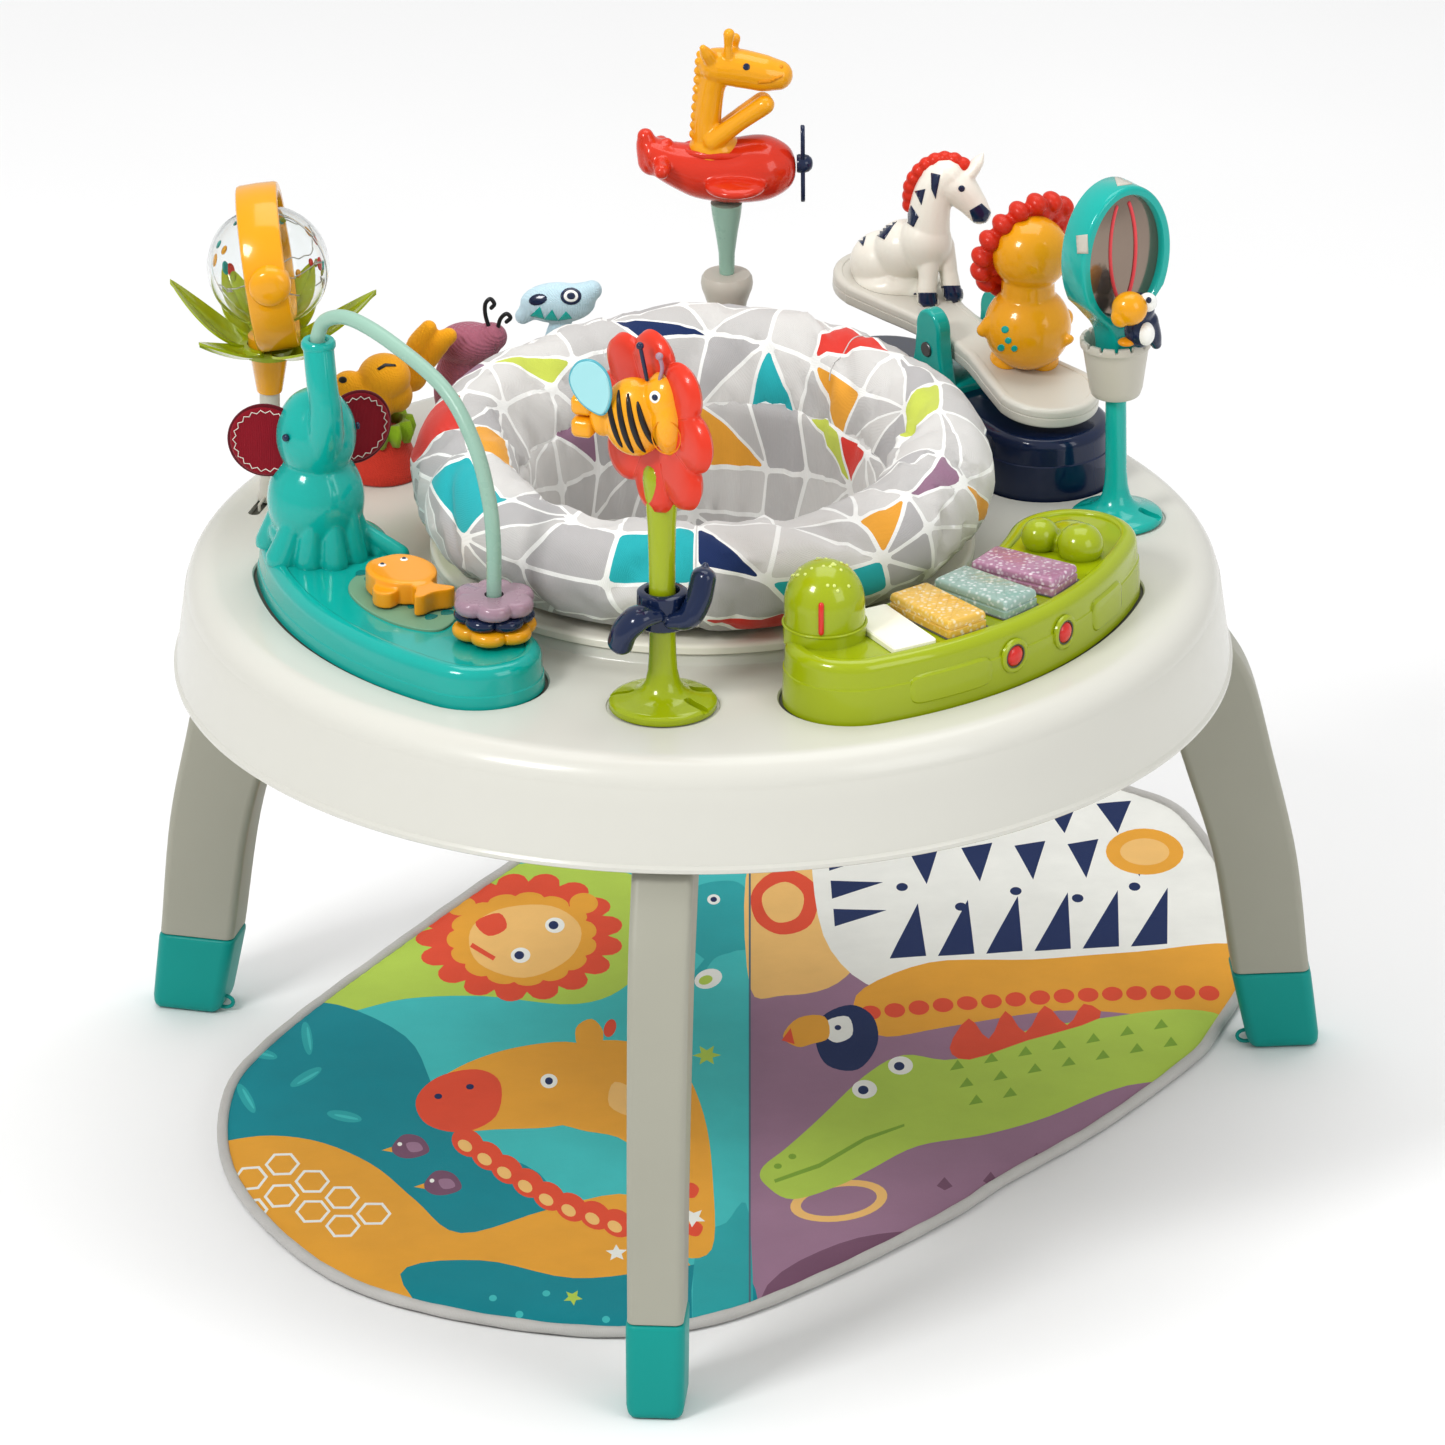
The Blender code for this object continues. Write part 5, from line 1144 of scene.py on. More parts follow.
# leg holes: where each leg's round opening meets the cloth
gv = SLING.reshape(-1, 3)
tris, where = [], []
for i in range(NU):
    for j in range(NV - 1):
        a, b, c, d = i * NV + j, ((i + 1) % NU) * NV + j, ((i + 1) % NU) * NV + j + 1, i * NV + j + 1
        tris += [(a, b, c), (a, c, d)]
        where += [(i, j, 0), (i, j, 1)]
tree = BVHTree.FromPolygons([Vector(p) for p in gv], tris)
holes, rims = [], []
for side in (-1, 1):
    p0, p1 = Vector((side * 0.030, -0.020, 0.350)), Vector((side * 0.068, -0.064, 0.235))
    ax = (p1 - p0).normalized()
    bs = basis((0, 0, 0), ax).to_3x3()
    loop, rim = [], []
    for k in range(40):
        t = 2 * pi * k / 40
        off = bs @ Vector((cos(t) * 0.039, sin(t) * 0.039, 0))
        hit, _, fi, _ = tree.ray_cast(p0 + off - ax * 0.03, ax)
        if hit is None:
            continue
        i, j, half = where[fi]
        tri = [Vector(gv[x]) for x in tris[fi]]
        n = (tri[1] - tri[0]).cross(tri[2] - tri[0])
        w = [((tri[1] - hit).cross(tri[2] - hit)).dot(n), ((tri[2] - hit).cross(tri[0] - hit)).dot(n), ((tri[0] - hit).cross(tri[1] - hit)).dot(n)]
        sm = sum(w)
        w = [x / sm for x in w]
        if half == 0:
            fu, fv = w[1] + w[2], w[2]
        else:
            fu, fv = w[1], w[1] + w[2]
        loop.append(((i + fu) / NU * PER, ROLL_Y + (j + fv) / (NV - 1) * SLING_L))
        rim.append(hit)
    # keep the loop on one side of the seam
    mid = PER * 0.5
    mean = np.median([p[0] for p in loop])
    loop = [(x - PER if x - mean > mid else x + PER if mean - x > mid else x, y) for x, y in loop]
    lo = min(p[0] for p in loop)
    hi = max(p[0] for p in loop)
    if lo >= 0 and hi <= PER:
        holes.append(loop)
    rims.append(rim)
sl_rows = []
k_rows = 46
for k in range(k_rows + 1):
    y = SLING_L * k / k_rows
    r = float(np.interp(y, sv, rr))
    sl_rows.append((ROLL_Y + y, int(max(28, min(140, 2 * pi * r / 0.0062)))))
sl = cover('sling_cloth', sling_at, ROLL_Y, ROLL_Y + SLING_L, sl_rows, holes, 0.0016, 'seat', 'seat_sling')
bm = bmesh.new()
bm.from_mesh(sl.data)
one_side = sum(f.calc_area() for f in bm.faces) / 2
bm.free()
for i, rim in enumerate(rims):
    if len(rim) < 12:
        continue
    n = len(rim)
    sm = [(rim[k - 1] + rim[k] * 2 + rim[(k + 1) % n]) / 4 for k in range(n)]
    cen = sum(sm, Vector()) / n
    lp = []
    for k in range(n):
        tt = (sm[(k + 1) % n] - sm[k - 1]).normalized()
        n1 = (sm[k] - cen)
        n1 = (n1 - tt * n1.dot(tt)).normalized()
        n2 = tt.cross(n1)
        lp.append([sm[k] + n1 * 0.0024 * cos(2 * pi * j / 12) + n2 * 0.0030 * sin(2 * pi * j / 12) for j in range(12)])
    b = piece(f'leg_hole_binding_{"lr"[i]}', loft(lp, closed=True), M_SEAT['grey2'], body='seat', turn=False, sharp=None)
# ring that the cover clips to, seen only from below
piece('seat_ring_look', lathe([(0.1920, 0.4674), (0.1920, 0.4718), (0.1914, 0.4728), (0.1900, 0.4737), (0.1880, 0.4740), (0.1435, 0.4740), (0.1415, 0.4735),
                               (0.1402, 0.4722), (0.1400, 0.4700), (0.1400, 0.4448), (0.1406, 0.4440), (0.1449, 0.4440), (0.1455, 0.4448),
                               (0.1455, 0.4662), (0.1462, 0.4668), (0.1914, 0.4668)], 160, closed=True), M_WHITE, body='seat',
      replaces='seat_ring', turn=False, sharp=30)
# fine piped seam lines across the roll
for k, s in enumerate(seams):
    tt = np.radians(np.linspace(-72, 150, 40))
    x = np.full(40, ((s - U0) % (2 * pi)) * SEAT_R)
    y = (np.degrees(tt) + 75) / 260 * ROLL_Y
    p = roll_at(x + 1e-5, y)
    q = roll_at(x + 0.0018, y)
    c = p + (p - np.array([SEAT_R * cos(s), SEAT_R * sin(s), 0.52])) * 0.004
    pts = [Vector(v) for v in c]
    piece(f'roll_seam_{k}', tube(pts, 0.0005, 8), M_SEAT['grey3'], body='seat', turn=False, sharp=None)
# ----------------------------------------------------------------- play mat
MAT_PTS = [(-0.245, 0.334), (-0.326, 0.160), (-0.350, 0.055), (-0.334, -0.083), (-0.266, -0.222), (-0.181, -0.2925),
           (-0.060, -0.327), (0.025, -0.301), (0.103, -0.222), (0.181, -0.118), (0.217, -0.057), (0.280, 0.038),
           (0.340, 0.155), (0.357, 0.212), (0.378, 0.319), (0.372, 0.410), (0.326, 0.567), (0.286, 0.624),
           (0.187, 0.675), (0.047, 0.693), (-0.075, 0.637), (-0.160, 0.500)]
mat_line = ccw(smooth_loop(MAT_PTS, 6))
MAT_TOP = 0.0050


AFF = ((0.00046799, 2.028e-05), (6.336e-05, -0.00114191), (-0.38948583, 0.59394429))


def fp(cx, cy):
    """Floor position of a point of the print, read on a flat chart of the visible part."""
    return (AFF[0][0] * cx + AFF[1][0] * cy + AFF[2][0], AFF[0][1] * cx + AFF[1][1] * cy + AFF[2][1])


def blob(pts, per=5):
    return smooth_loop([fp(*p) for p in pts], per)


def shape(pts):
    return [fp(*p) for p in pts]


def oval(cx, cy, a, b, n=28, turn=0.0):
    t = radians(turn)
    return [fp(cx + a * cos(2 * pi * k / n) * cos(t) - b * sin(2 * pi * k / n) * sin(t),
               cy + a * cos(2 * pi * k / n) * sin(t) + b * sin(2 * pi * k / n) * cos(t)) for k in range(n)]


def petals(cx, cy, a, b, n, amp, phase=0.0, per=7):
    """Round patch with a scalloped edge."""
    out = []
    for k in range(n * per):
        t = 2 * pi * k / (n * per)
        w = 1 - amp + amp * abs(sin(n * t / 2 + phase)) ** 0.6
        out.append(fp(cx + a * w * cos(t), cy + b * w * sin(t)))
    return out


MC = {k: i for i, k in enumerate(['dteal', 'lteal', 'lime', 'mustard', 'mauve', 'dmauve', 'peach', 'red', 'navy', 'white', 'dlime', 'grey',
                                  'seam', 'teal'])}
MAT_RGB = {'dteal': (0, 140, 152), 'lteal': (70, 192, 192), 'lime': (182, 208, 86), 'mustard': (232, 168, 58), 'mauve': (160, 124, 148),
           'dmauve': (124, 86, 110), 'peach': (240, 194, 120), 'red': (226, 84, 54), 'navy': (25, 46, 94), 'white': (238, 238, 232),
           'dlime': (134, 172, 58), 'grey': (196, 192, 188), 'seam': (86, 110, 124), 'teal': (44, 168, 172)}
M_MATP = [cloth('mat_' + k, MAT_RGB[k], 1900.0, 0.25, mottle=0.04, sheen=0.08) for k in MC]
R = []


def add_p(outline, col):
    R.append((outline, MC[col]))


# hidden back of the mat: simple bands of colour
add_p(shape([(-500, -1400), (2100, -1400), (2100, 40), (-500, 40)]), 'lteal')
add_p(blob([(-300, -300), (200, -420), (620, -300), (700, -120), (500, 60), (0, 80), (-300, 0)]), 'lime')
add_p(blob([(500, -700), (1000, -760), (1300, -560), (1200, -360), (800, -300), (520, -440)]), 'mauve')
add_p(blob([(1100, -300), (1500, -420), (1900, -300), (1900, -60), (1400, -20), (1100, -120)]), 'mustard')
# left of the seam
add_p(shape([(-400, 40), (826, 40), (826, 1100), (-400, 1100)]), 'lteal')
add_p(shape([(826, 40), (1900, 40), (1900, 1100), (826, 1100)]), 'mauve')
add_p(blob([(120, 150), (400, 110), (640, 130), (690, 220), (640, 300), (560, 330), (420, 318), (300, 322), (190, 345), (120, 320)]), 'lime')
add_p(blob([(-60, 360), (60, 318), (170, 322), (300, 380), (352, 470), (420, 540), (520, 600), (500, 690), (380, 700), (200, 690), (-60, 640)]),
      'dteal')
add_p(shape([(690, 150), (826, 130), (826, 330), (760, 352), (700, 330)]), 'lteal')
add_p(blob([(-40, 560), (60, 530), (160, 536), (250, 570), (320, 625), (390, 676), (520, 640), (650, 618), (720, 700), (760, 800), (600, 860), (300, 800),
            (60, 700)]), 'mustard')
add_p(blob([(300, 735), (420, 716), (560, 742), (700, 730), (822, 726), (822, 900), (560, 880), (400, 830)]), 'dteal')
add_p(shape([(690, 330), (827, 330), (827, 900), (742, 900), (738, 760), (752, 640), (736, 520), (700, 430)]), 'lteal')
add_p(blob([(744, 700), (790, 660), (824, 640), (824, 900), (750, 900)]), 'teal')
# honeycomb outlines on the mustard hill
for hx, hy in ((70, 590), (118, 572), (118, 618), (164, 598), (210, 622), (166, 642), (212, 664), (258, 646), (72, 636)):
    add_p([fp(hx + 27 * cos(pi / 3 * k), hy + 19 * sin(pi / 3 * k)) for k in range(6)], 'white')
    add_p([fp(hx + 22 * cos(pi / 3 * k), hy + 15 * sin(pi / 3 * k)) for k in range(6)], 'mustard')
# leaves on the dark hills
for lx, ly, tw in ((80, 400, 20), (150, 440, -30), (60, 470, 60), (210, 500, 10), (150, 380, 80)):
    add_p(oval(lx, ly, 27, 8, 20, tw), 'teal')
    add_p(oval(lx + 3, ly + 1, 19, 2.2, 14, tw), 'lteal')
# mane and face of the big cat
add_p(petals(472, 226, 160, 100, 17, 0.15), 'red')
add_p(petals(476, 230, 116, 72, 15, 0.08), 'mustard')
add_p(blob([(440, 184), (520, 180), (566, 214), (548, 262), (480, 290), (410, 268), (396, 218)]), 'peach')
add_p(oval(382, 176, 22, 16), 'mustard')
add_p(oval(570, 176, 22, 16), 'mustard')
for ex, ey in ((526, 210), (474, 256)):
    add_p(oval(ex, ey, 15, 12), 'white')
    add_p(oval(ex - 2, ey, 7.5, 6.5), 'navy')
add_p(blob([(404, 204), (440, 190), (452, 214), (424, 226)], 4), 'red')
add_p(shape([(400, 236), (436, 258), (432, 264), (396, 242)]), 'red')
# long-necked grazer
add_p(blob([(560, 392), (640, 386), (716, 420), (756, 500), (770, 600), (768, 700), (716, 704), (690, 620), (640, 540), (566, 520), (520, 500), (512, 430)]),
      'mustard')
add_p(blob([(330, 470), (380, 428), (470, 396), (560, 388), (604, 420), (600, 480), (540, 514), (440, 520), (360, 520)]), 'mustard')
add_p(blob([(318, 476), (350, 442), (410, 430), (446, 450), (440, 500), (390, 524), (336, 512)]), 'red')
add_p(oval(352, 470, 6, 4), 'navy')
add_p(oval(400, 456, 6, 4), 'navy')
add_p(oval(520, 447, 13, 11), 'white')
add_p(oval(520, 447, 6, 5.5), 'navy')
add_p(blob([(560, 366), (584, 352), (602, 372), (594, 398), (566, 398)], 4), 'mustard')
add_p(oval(612, 366, 9, 14, 20, 20), 'red')
add_p(blob([(620, 448), (660, 470), (650, 500), (612, 484)], 4), 'peach')
for sx, sy in ((690, 470), (722, 540), (736, 610), (700, 590), (690, 520), (742, 668)):
    add_p(blob([(sx - 13, sy), (sx, sy - 11), (sx + 13, sy - 2), (sx + 6, sy + 12), (sx - 8, sy + 10)], 3), 'red')
# scalloped mane strip under the head
for k, (mx, my) in enumerate([(398, 540), (428, 560), (458, 580), (490, 600), (522, 620), (556, 636), (592, 648), (626, 660)]):
    add_p(oval(mx, my, 26, 20, 22, 32), 'red')
    add_p(oval(mx - 4, my + 5, 12, 8, 16, 32), 'peach')
# birds
for bx, by in ((310, 545), (360, 600)):
    add_p(blob([(bx - 27, by + 3), (bx - 10, by - 17), (bx + 17, by - 13), (bx + 30, by + 8), (bx + 6, by + 18), (bx - 16, by + 16)]), 'dmauve')
    add_p(blob([(bx - 5, by - 4), (bx + 13, by - 5), (bx + 20, by + 6), (bx + 2, by + 9)], 4), 'mauve')
    add_p(shape([(bx - 27, by + 1), (bx - 42, by + 6), (bx - 26, by + 9)]), 'mustard')
    add_p(oval(bx - 15, by - 3, 3.6, 3), 'white')
# big-eared walker beside the seam
add_p(blob([(704, 190), (742, 150), (800, 140), (826, 160), (826, 232), (800, 250), (770, 262), (742, 300), (716, 288), (722, 244)]), 'teal')
add_p(oval(770, 170, 10, 8), 'white')
add_p(oval(770, 170, 5, 4), 'navy')
add_p(shape([(740, 250), (756, 262), (738, 284), (728, 270)]), 'lteal')
add_p(oval(762, 292, 22, 15, 20, -20), 'white')
add_p(oval(758, 294, 11, 7, 16, -20), 'lime')


def star(cx, cy, r, col, n=5, ph=0.0):
    add_p([fp(cx + (r if k % 2 == 0 else r * 0.46) * cos(pi * k / n + ph), cy + (r if k % 2 == 0 else r * 0.46) * 0.75 * sin(pi * k / n + ph))
           for k in range(2 * n)], col)


star(760, 408, 22, 'lime', 6)
star(740, 652, 20, 'white', 5, 0.4)
star(625, 705, 17, 'white', 5, 0.9)
star(560, 770, 15, 'lime', 5, 0.2)
star(700, 776, 14, 'lteal', 5, 0.6)
for dx, dy in ((440, 770), (480, 792), (520, 764), (610, 800), (650, 762)):
    add_p(oval(dx, dy, 6, 4.5, 14), 'lteal')
# right of the seam: peach band, mauve field, hills
add_p(blob([(826, 100), (920, 90), (1010, 120), (1012, 230), (960, 300), (880, 318), (826, 300)]), 'peach')
add_p(blob([(830, 150), (880, 122), (928, 150), (920, 208), (872, 224), (836, 200)]), 'red')
add_p(blob([(846, 160), (880, 142), (908, 162), (900, 196), (870, 206), (850, 190)]), 'peach')
add_p(blob([(840, 770), (960, 690), (1120, 660), (1300, 640), (1500, 610), (1560, 760), (1200, 900), (900, 900)]), 'dmauve')
add_p(oval(960, 628, 74, 30, 34, -8), 'peach')
add_p(oval(960, 628, 58, 21, 30, -8), 'mauve')
# white field with navy marks
add_p(blob([(930, -40), (1200, -120), (1600, -80), (1600, 300), (1300, 312), (1060, 318), (950, 250), (920, 100)]), 'white')
# bold wedges growing out of both edges of the field, and a few dots
for k in range(6):
    x = 1040 + 74 * k
    add_p(shape([(x, 262 - 4 * k), (x + 56, 258 - 4 * k), (x + 44 + 3 * k, 176 - 5 * k)]), 'navy')
for k in range(5):
    y = 4 + 44 * k
    add_p(shape([(938 + 4 * k, y + 4), (940 + 4 * k, y + 32), (1016 + 5 * k, y + 6)]), 'navy')
for k in range(5):
    x = 1096 + 82 * k
    add_p(shape([(x - 26, 92 - 3 * k), (x + 22, 84 - 3 * k), (x + 2, 146 - 3 * k)]), 'navy')
    add_p(shape([(x - 62, 20), (x - 8, 14), (x - 30, 66)]), 'navy')
for x, y in ((1060, 150), (1150, 182), (1235, 158), (1330, 170), (1418, 150)):
    add_p(oval(x, y, 9, 6.5, 16), 'navy')
# orange band with red scallops
add_p(blob([(988, 318), (1100, 268), (1260, 262), (1420, 250), (1600, 240), (1600, 330), (1480, 350), (1300, 340), (1120, 366), (1020, 378)]),
      'mustard')
for k in range(15):
    x = 1010 + k * 37
    add_p(oval(x, 344 - 0.062 * (x - 1010) - 8 * sin((x - 1000) / 520 * pi), 16, 11, 20), 'red')
add_p(oval(1435, 95, 60, 36), 'mustard')
add_p(oval(1435, 95, 38, 21), 'peach')
# beaked bird
add_p(blob([(936, 350), (980, 332), (1014, 350), (1020, 392), (990, 430), (944, 424), (926, 388)]), 'navy')
add_p(blob([(944, 356), (976, 350), (982, 378), (958, 390), (940, 378)], 4), 'white')
add_p(oval(960, 367, 5, 4), 'navy')
add_p(blob([(876, 380), (900, 352), (940, 350), (946, 382), (920, 392), (898, 396)], 4), 'mustard')
add_p(shape([(874, 386), (888, 368), (894, 392)]), 'red')
# long snouted swimmer
add_p(blob([(842, 580), (880, 550), (936, 500), (1000, 440), (1060, 408), (1140, 415), (1250, 370), (1380, 350), (1480, 338), (1560, 350), (1560, 420),
            (1400, 452), (1280, 500), (1180, 528), (1080, 545), (1010, 580), (960, 605), (890, 625), (852, 606)]), 'lime')
add_p(blob([(1130, 398), (1160, 352), (1190, 384), (1216, 340), (1246, 374), (1276, 332), (1310, 362), (1336, 330), (1360, 352), (1250, 386), (1160, 416)], 3), 'red')
for ex, ey in ((1000, 460), (1055, 424)):
    add_p(oval(ex, ey, 19, 14), 'white')
    add_p(oval(ex - 2, ey + 1, 8, 6.5), 'navy')
add_p(oval(868, 576, 6, 4), 'dlime')
add_p(oval(890, 562, 6, 4), 'dlime')
add_p(shape([(862, 596), (930, 572), (1000, 532), (1060, 512), (1060, 516), (1001, 538), (932, 578), (864, 601)]), 'dlime')
for i in range(7):
    for j in range(3):
        x, y = 1130 + i * 52 + j * 14, 432 - i * 10.5 + j * 26
        if y < 452 - 0.22 * (x - 1130) + 40:
            add_p(shape([(x, y), (x + 22, y - 4), (x + 12, y - 16)]), 'dlime')
for sx, sy in ((1120, 600), (1190, 590), (1260, 560), (1340, 530), (1420, 505), (1480, 480), (1150, 640), (1230, 625), (1320, 590), (1400, 560)):
    add_p(shape([(sx - 12, sy + 4), (sx, sy - 9), (sx + 12, sy + 4), (sx, sy + 10)]), 'dmauve')
for sx, sy in ((880, 700), (960, 740), (1060, 720), (1160, 690), (1260, 670), (1360, 640), (1110, 760)):
    add_p(oval(sx, sy, 17, 8, 20, -12), 'mauve')
add_p(shape([(824, -60), (827, -60), (827, 1100), (824, 1100)]), 'seam')

edge_m = inset(mat_line, 0.0044)
step = 0.011
lo, hi = np.min(edge_m, axis=0), np.max(edge_m, axis=0)
gx, gy = np.meshgrid(np.arange(lo[0] + 0.004, hi[0], step), np.arange(lo[1] + 0.004, hi[1], step))
gx[::2] += step / 2
core = inset(mat_line, 0.0085)
ok = in_poly(gx.ravel(), gy.ravel(), core)
inner = list(zip(gx.ravel()[ok].tolist(), gy.ravel()[ok].tolist()))


def within(loop, keep):
    """Outline clipped to the mat by moving outside points to the nearest edge point."""
    a = np.array(loop)
    ins = in_poly(a[:, 0], a[:, 1], keep)
    if not ins.any():
        return None
    k = np.array(dense(keep, 0.004))
    out = []
    for p, i in zip(a, ins):
        out.append(tuple(p) if i else tuple(k[np.argmin(((k - p) ** 2).sum(axis=1))]))
    clean = [out[0]]
    for p in out[1:]:
        if math.hypot(p[0] - clean[-1][0], p[1] - clean[-1][1]) > 2e-4:
            clean.append(p)
    return clean if len(clean) > 2 else None


# big background fields go beyond the mat, so they are cut by line instead of moved
def cdt_mat(points, edge_loop, regs, stepc):
    vs_in = [Vector(p) for p in points]
    edges = []
    for loop in [edge_loop] + [r for r, _ in regs]:
        d = dense(loop, stepc)
        o = len(vs_in)
        vs_in += [Vector(p) for p in d]
        edges += [(o + i, o + (i + 1) % len(d)) for i in range(len(d))]
    vs, _, fs, *_rest = delaunay_2d_cdt(vs_in, edges, [], 0, 2e-6, False)
    v = np.array([(p.x, p.y) for p in vs])
    f = np.array([t for t in fs if len(t) == 3])
    c = v[f].mean(axis=1)
    keep = in_poly(c[:, 0], c[:, 1], edge_loop)
    m = np.zeros(len(f), int)
    for loop, idx in regs:
        l0, l1 = np.min(loop, axis=0), np.max(loop, axis=0)
        near = np.where(keep & (c[:, 0] >= l0[0]) & (c[:, 0] <= l1[0]) & (c[:, 1] >= l0[1]) & (c[:, 1] <= l1[1]))[0]
        got = near[in_poly(c[near, 0], c[near, 1], loop)]
        m[got] = idx
    a, b, d = v[f[:, 0]], v[f[:, 1]], v[f[:, 2]]
    cr = (b[:, 0] - a[:, 0]) * (d[:, 1] - a[:, 1]) - (b[:, 1] - a[:, 1]) * (d[:, 0] - a[:, 0])
    f[cr < 0] = f[cr < 0][:, ::-1]
    keep &= np.abs(cr) > 1e-11
    f, m = f[keep], m[keep]
    used = np.unique(f)
    remap = np.full(len(v), -1)
    remap[used] = np.arange(len(used))
    return v[used], remap[f], m


mv, mf, mm = cdt_mat(inner, edge_m, R, 0.010)


def dist_edge(xy):
    k = np.array(dense(edge_m, 0.006))
    out = np.empty(len(xy))
    for i in range(0, len(xy), 2000):
        out[i:i + 2000] = np.sqrt(((xy[i:i + 2000, None, :] - k[None]) ** 2).sum(axis=2)).min(axis=1)
    return out


de = dist_edge(mv)
wave = np.array([noise.noise(Vector((x * 7.0, y * 7.0, 3.1))) * 0.5 + noise.noise(Vector((x * 19.0, y * 19.0, 8.0))) * 0.22 for x, y in mv])
puff = 0.0034 * (1 - np.exp(-de / 0.016)) + 0.0026 * wave * np.clip(de / 0.05, 0, 1)
sx0, sy0 = fp(825.5, 400)
sx1, sy1 = fp(825.5, 700)
nx, ny = -(sy1 - sy0), (sx1 - sx0)
nl = math.hypot(nx, ny)
ds = np.abs((mv[:, 0] - sx0) * nx / nl + (mv[:, 1] - sy0) * ny / nl)
puff -= 0.0030 * np.exp(-(ds / 0.007) ** 2)
top = MAT_TOP + np.maximum(puff, -0.0020)
n = len(mv)
co = np.concatenate([np.column_stack([mv, top]), np.column_stack([mv, np.full(n, 0.0002)])])
seen = set()
for t in mf.tolist():
    seen.update([(t[0], t[1]), (t[1], t[2]), (t[2], t[0])])
rim = [(a, b) for a, b in seen if (b, a) not in seen]
me = bpy.data.meshes.new('mat')
me.from_pydata(co.tolist(), [], mf.tolist() + (mf[:, ::-1] + n).tolist() + [(b, a, a + n, b + n) for a, b in rim])
me.polygons.foreach_set('material_index', mm.tolist() + [MC['grey']] * (len(mf) + len(rim)))
bm = bmesh.new()
bm.from_mesh(me)
outward(bm)
bm.to_mesh(me)
bm.free()
mat = place('play_mat_cloth', me, M_MATP, 'table', 'play_mat', turn=False, sharp=60)
bnd = []
line = [Vector((x, y, 0.0046)) for x, y in dense(inset(mat_line, 0.0042), 0.009)]
k = len(line)
for i in range(k):
    t = (line[(i + 1) % k] - line[i - 1]).normalized()
    nrm = Vector((-t.y, t.x, 0))
    wob = 0.0003 * sin(i * 0.9)
    bnd.append([line[i] + nrm * 0.0040 * cos(2 * pi * j / 14) + Vector((0, 0, (0.0043 + wob) * sin(2 * pi * j / 14))) for j in range(14)])
binding = piece('mat_binding_cloth', loft(bnd, closed=True), M_BIND, replaces='mat_binding', turn=False, sharp=None)
area_m = abs(area2(edge_m)) / 2
# --------------------------------------------------- materials for the toys


def tweak(mat, **vals):
    b = next(n for n in mat.node_tree.nodes if n.type == 'BSDF_PRINCIPLED')
    for k, v in vals.items():
        b.inputs[k.replace('_', ' ')].default_value = v
    return mat


def clear_mat(name, rgb, rough, trans, ior=1.25):
    m = bpy.data.materials.new(name)
    m.use_nodes = True
    nt = m.node_tree
    b = nt.nodes['Principled BSDF']
    b.inputs['Base Color'].default_value = (*lin(rgb)[:3], 1)
    b.inputs['Roughness'].default_value = rough
    b.inputs['Transmission Weight'].default_value = trans
    b.inputs['IOR'].default_value = ior
    tc = nt.nodes.new('ShaderNodeTexCoord')
    no = nt.nodes.new('ShaderNodeTexNoise')
    no.inputs['Scale'].default_value = 90.0
    bu = nt.nodes.new('ShaderNodeBump')
    bu.inputs['Strength'].default_value = 0.05
    bu.inputs['Distance'].default_value = 0.001
    nt.links.new(tc.outputs['Object'], no.inputs['Vector'])
    nt.links.new(no.outputs['Fac'], bu.inputs['Height'])
    nt.links.new(bu.outputs['Normal'], b.inputs['Normal'])
    return m


def glitter_mat(name, rgb):
    """Translucent plastic full of bright flakes."""
    m = bpy.data.materials.new(name)
    m.use_nodes = True
    nt = m.node_tree
    b = nt.nodes['Principled BSDF']
    b.inputs['Roughness'].default_value = 0.16
    b.inputs['Coat Weight'].default_value = 0.5
    b.inputs['Coat Roughness'].default_value = 0.06
    b.inputs['Transmission Weight'].default_value = 0.18
    tc = nt.nodes.new('ShaderNodeTexCoord')
    vo = nt.nodes.new('ShaderNodeTexVoronoi')
    vo.inputs['Scale'].default_value = 260.0
    ramp = nt.nodes.new('ShaderNodeValToRGB')
    ramp.color_ramp.elements[0].position, ramp.color_ramp.elements[0].color = 0.05, (1, 1, 1, 1)
    ramp.color_ramp.elements[1].position, ramp.color_ramp.elements[1].color = 0.46, (0, 0, 0, 1)
    mix = nt.nodes.new('ShaderNodeMixRGB')
    mix.inputs['Color1'].default_value = (*lin(rgb)[:3], 1)
    light = tuple(min(255, int(c * 0.30 + 178)) for c in rgb)
    mix.inputs['Color2'].default_value = (*lin(light)[:3], 1)
    vo2 = nt.nodes.new('ShaderNodeTexVoronoi')
    vo2.inputs['Scale'].default_value = 150.0
    mul = nt.nodes.new('ShaderNodeMath')
    mul.operation = 'MULTIPLY'
    bu = nt.nodes.new('ShaderNodeBump')
    bu.inputs['Strength'].default_value = 0.45
    bu.inputs['Distance'].default_value = 0.0006
    nt.links.new(tc.outputs['Object'], vo.inputs['Vector'])
    nt.links.new(tc.outputs['Object'], vo2.inputs['Vector'])
    nt.links.new(vo.outputs['Distance'], ramp.inputs['Fac'])
    nt.links.new(vo2.outputs['Distance'], mul.inputs[0])
    mul.inputs[1].default_value = 2.4
    mx2 = nt.nodes.new('ShaderNodeMath')
    mx2.operation = 'MULTIPLY'
    nt.links.new(ramp.outputs['Color'], mx2.inputs[0])
    nt.links.new(mul.outputs[0], mx2.inputs[1])
    nt.links.new(mx2.outputs[0], mix.inputs['Fac'])
    nt.links.new(mix.outputs['Color'], b.inputs['Base Color'])
    nt.links.new(vo2.outputs['Distance'], bu.inputs['Height'])
    nt.links.new(bu.outputs['Normal'], b.inputs['Normal'])
    return m


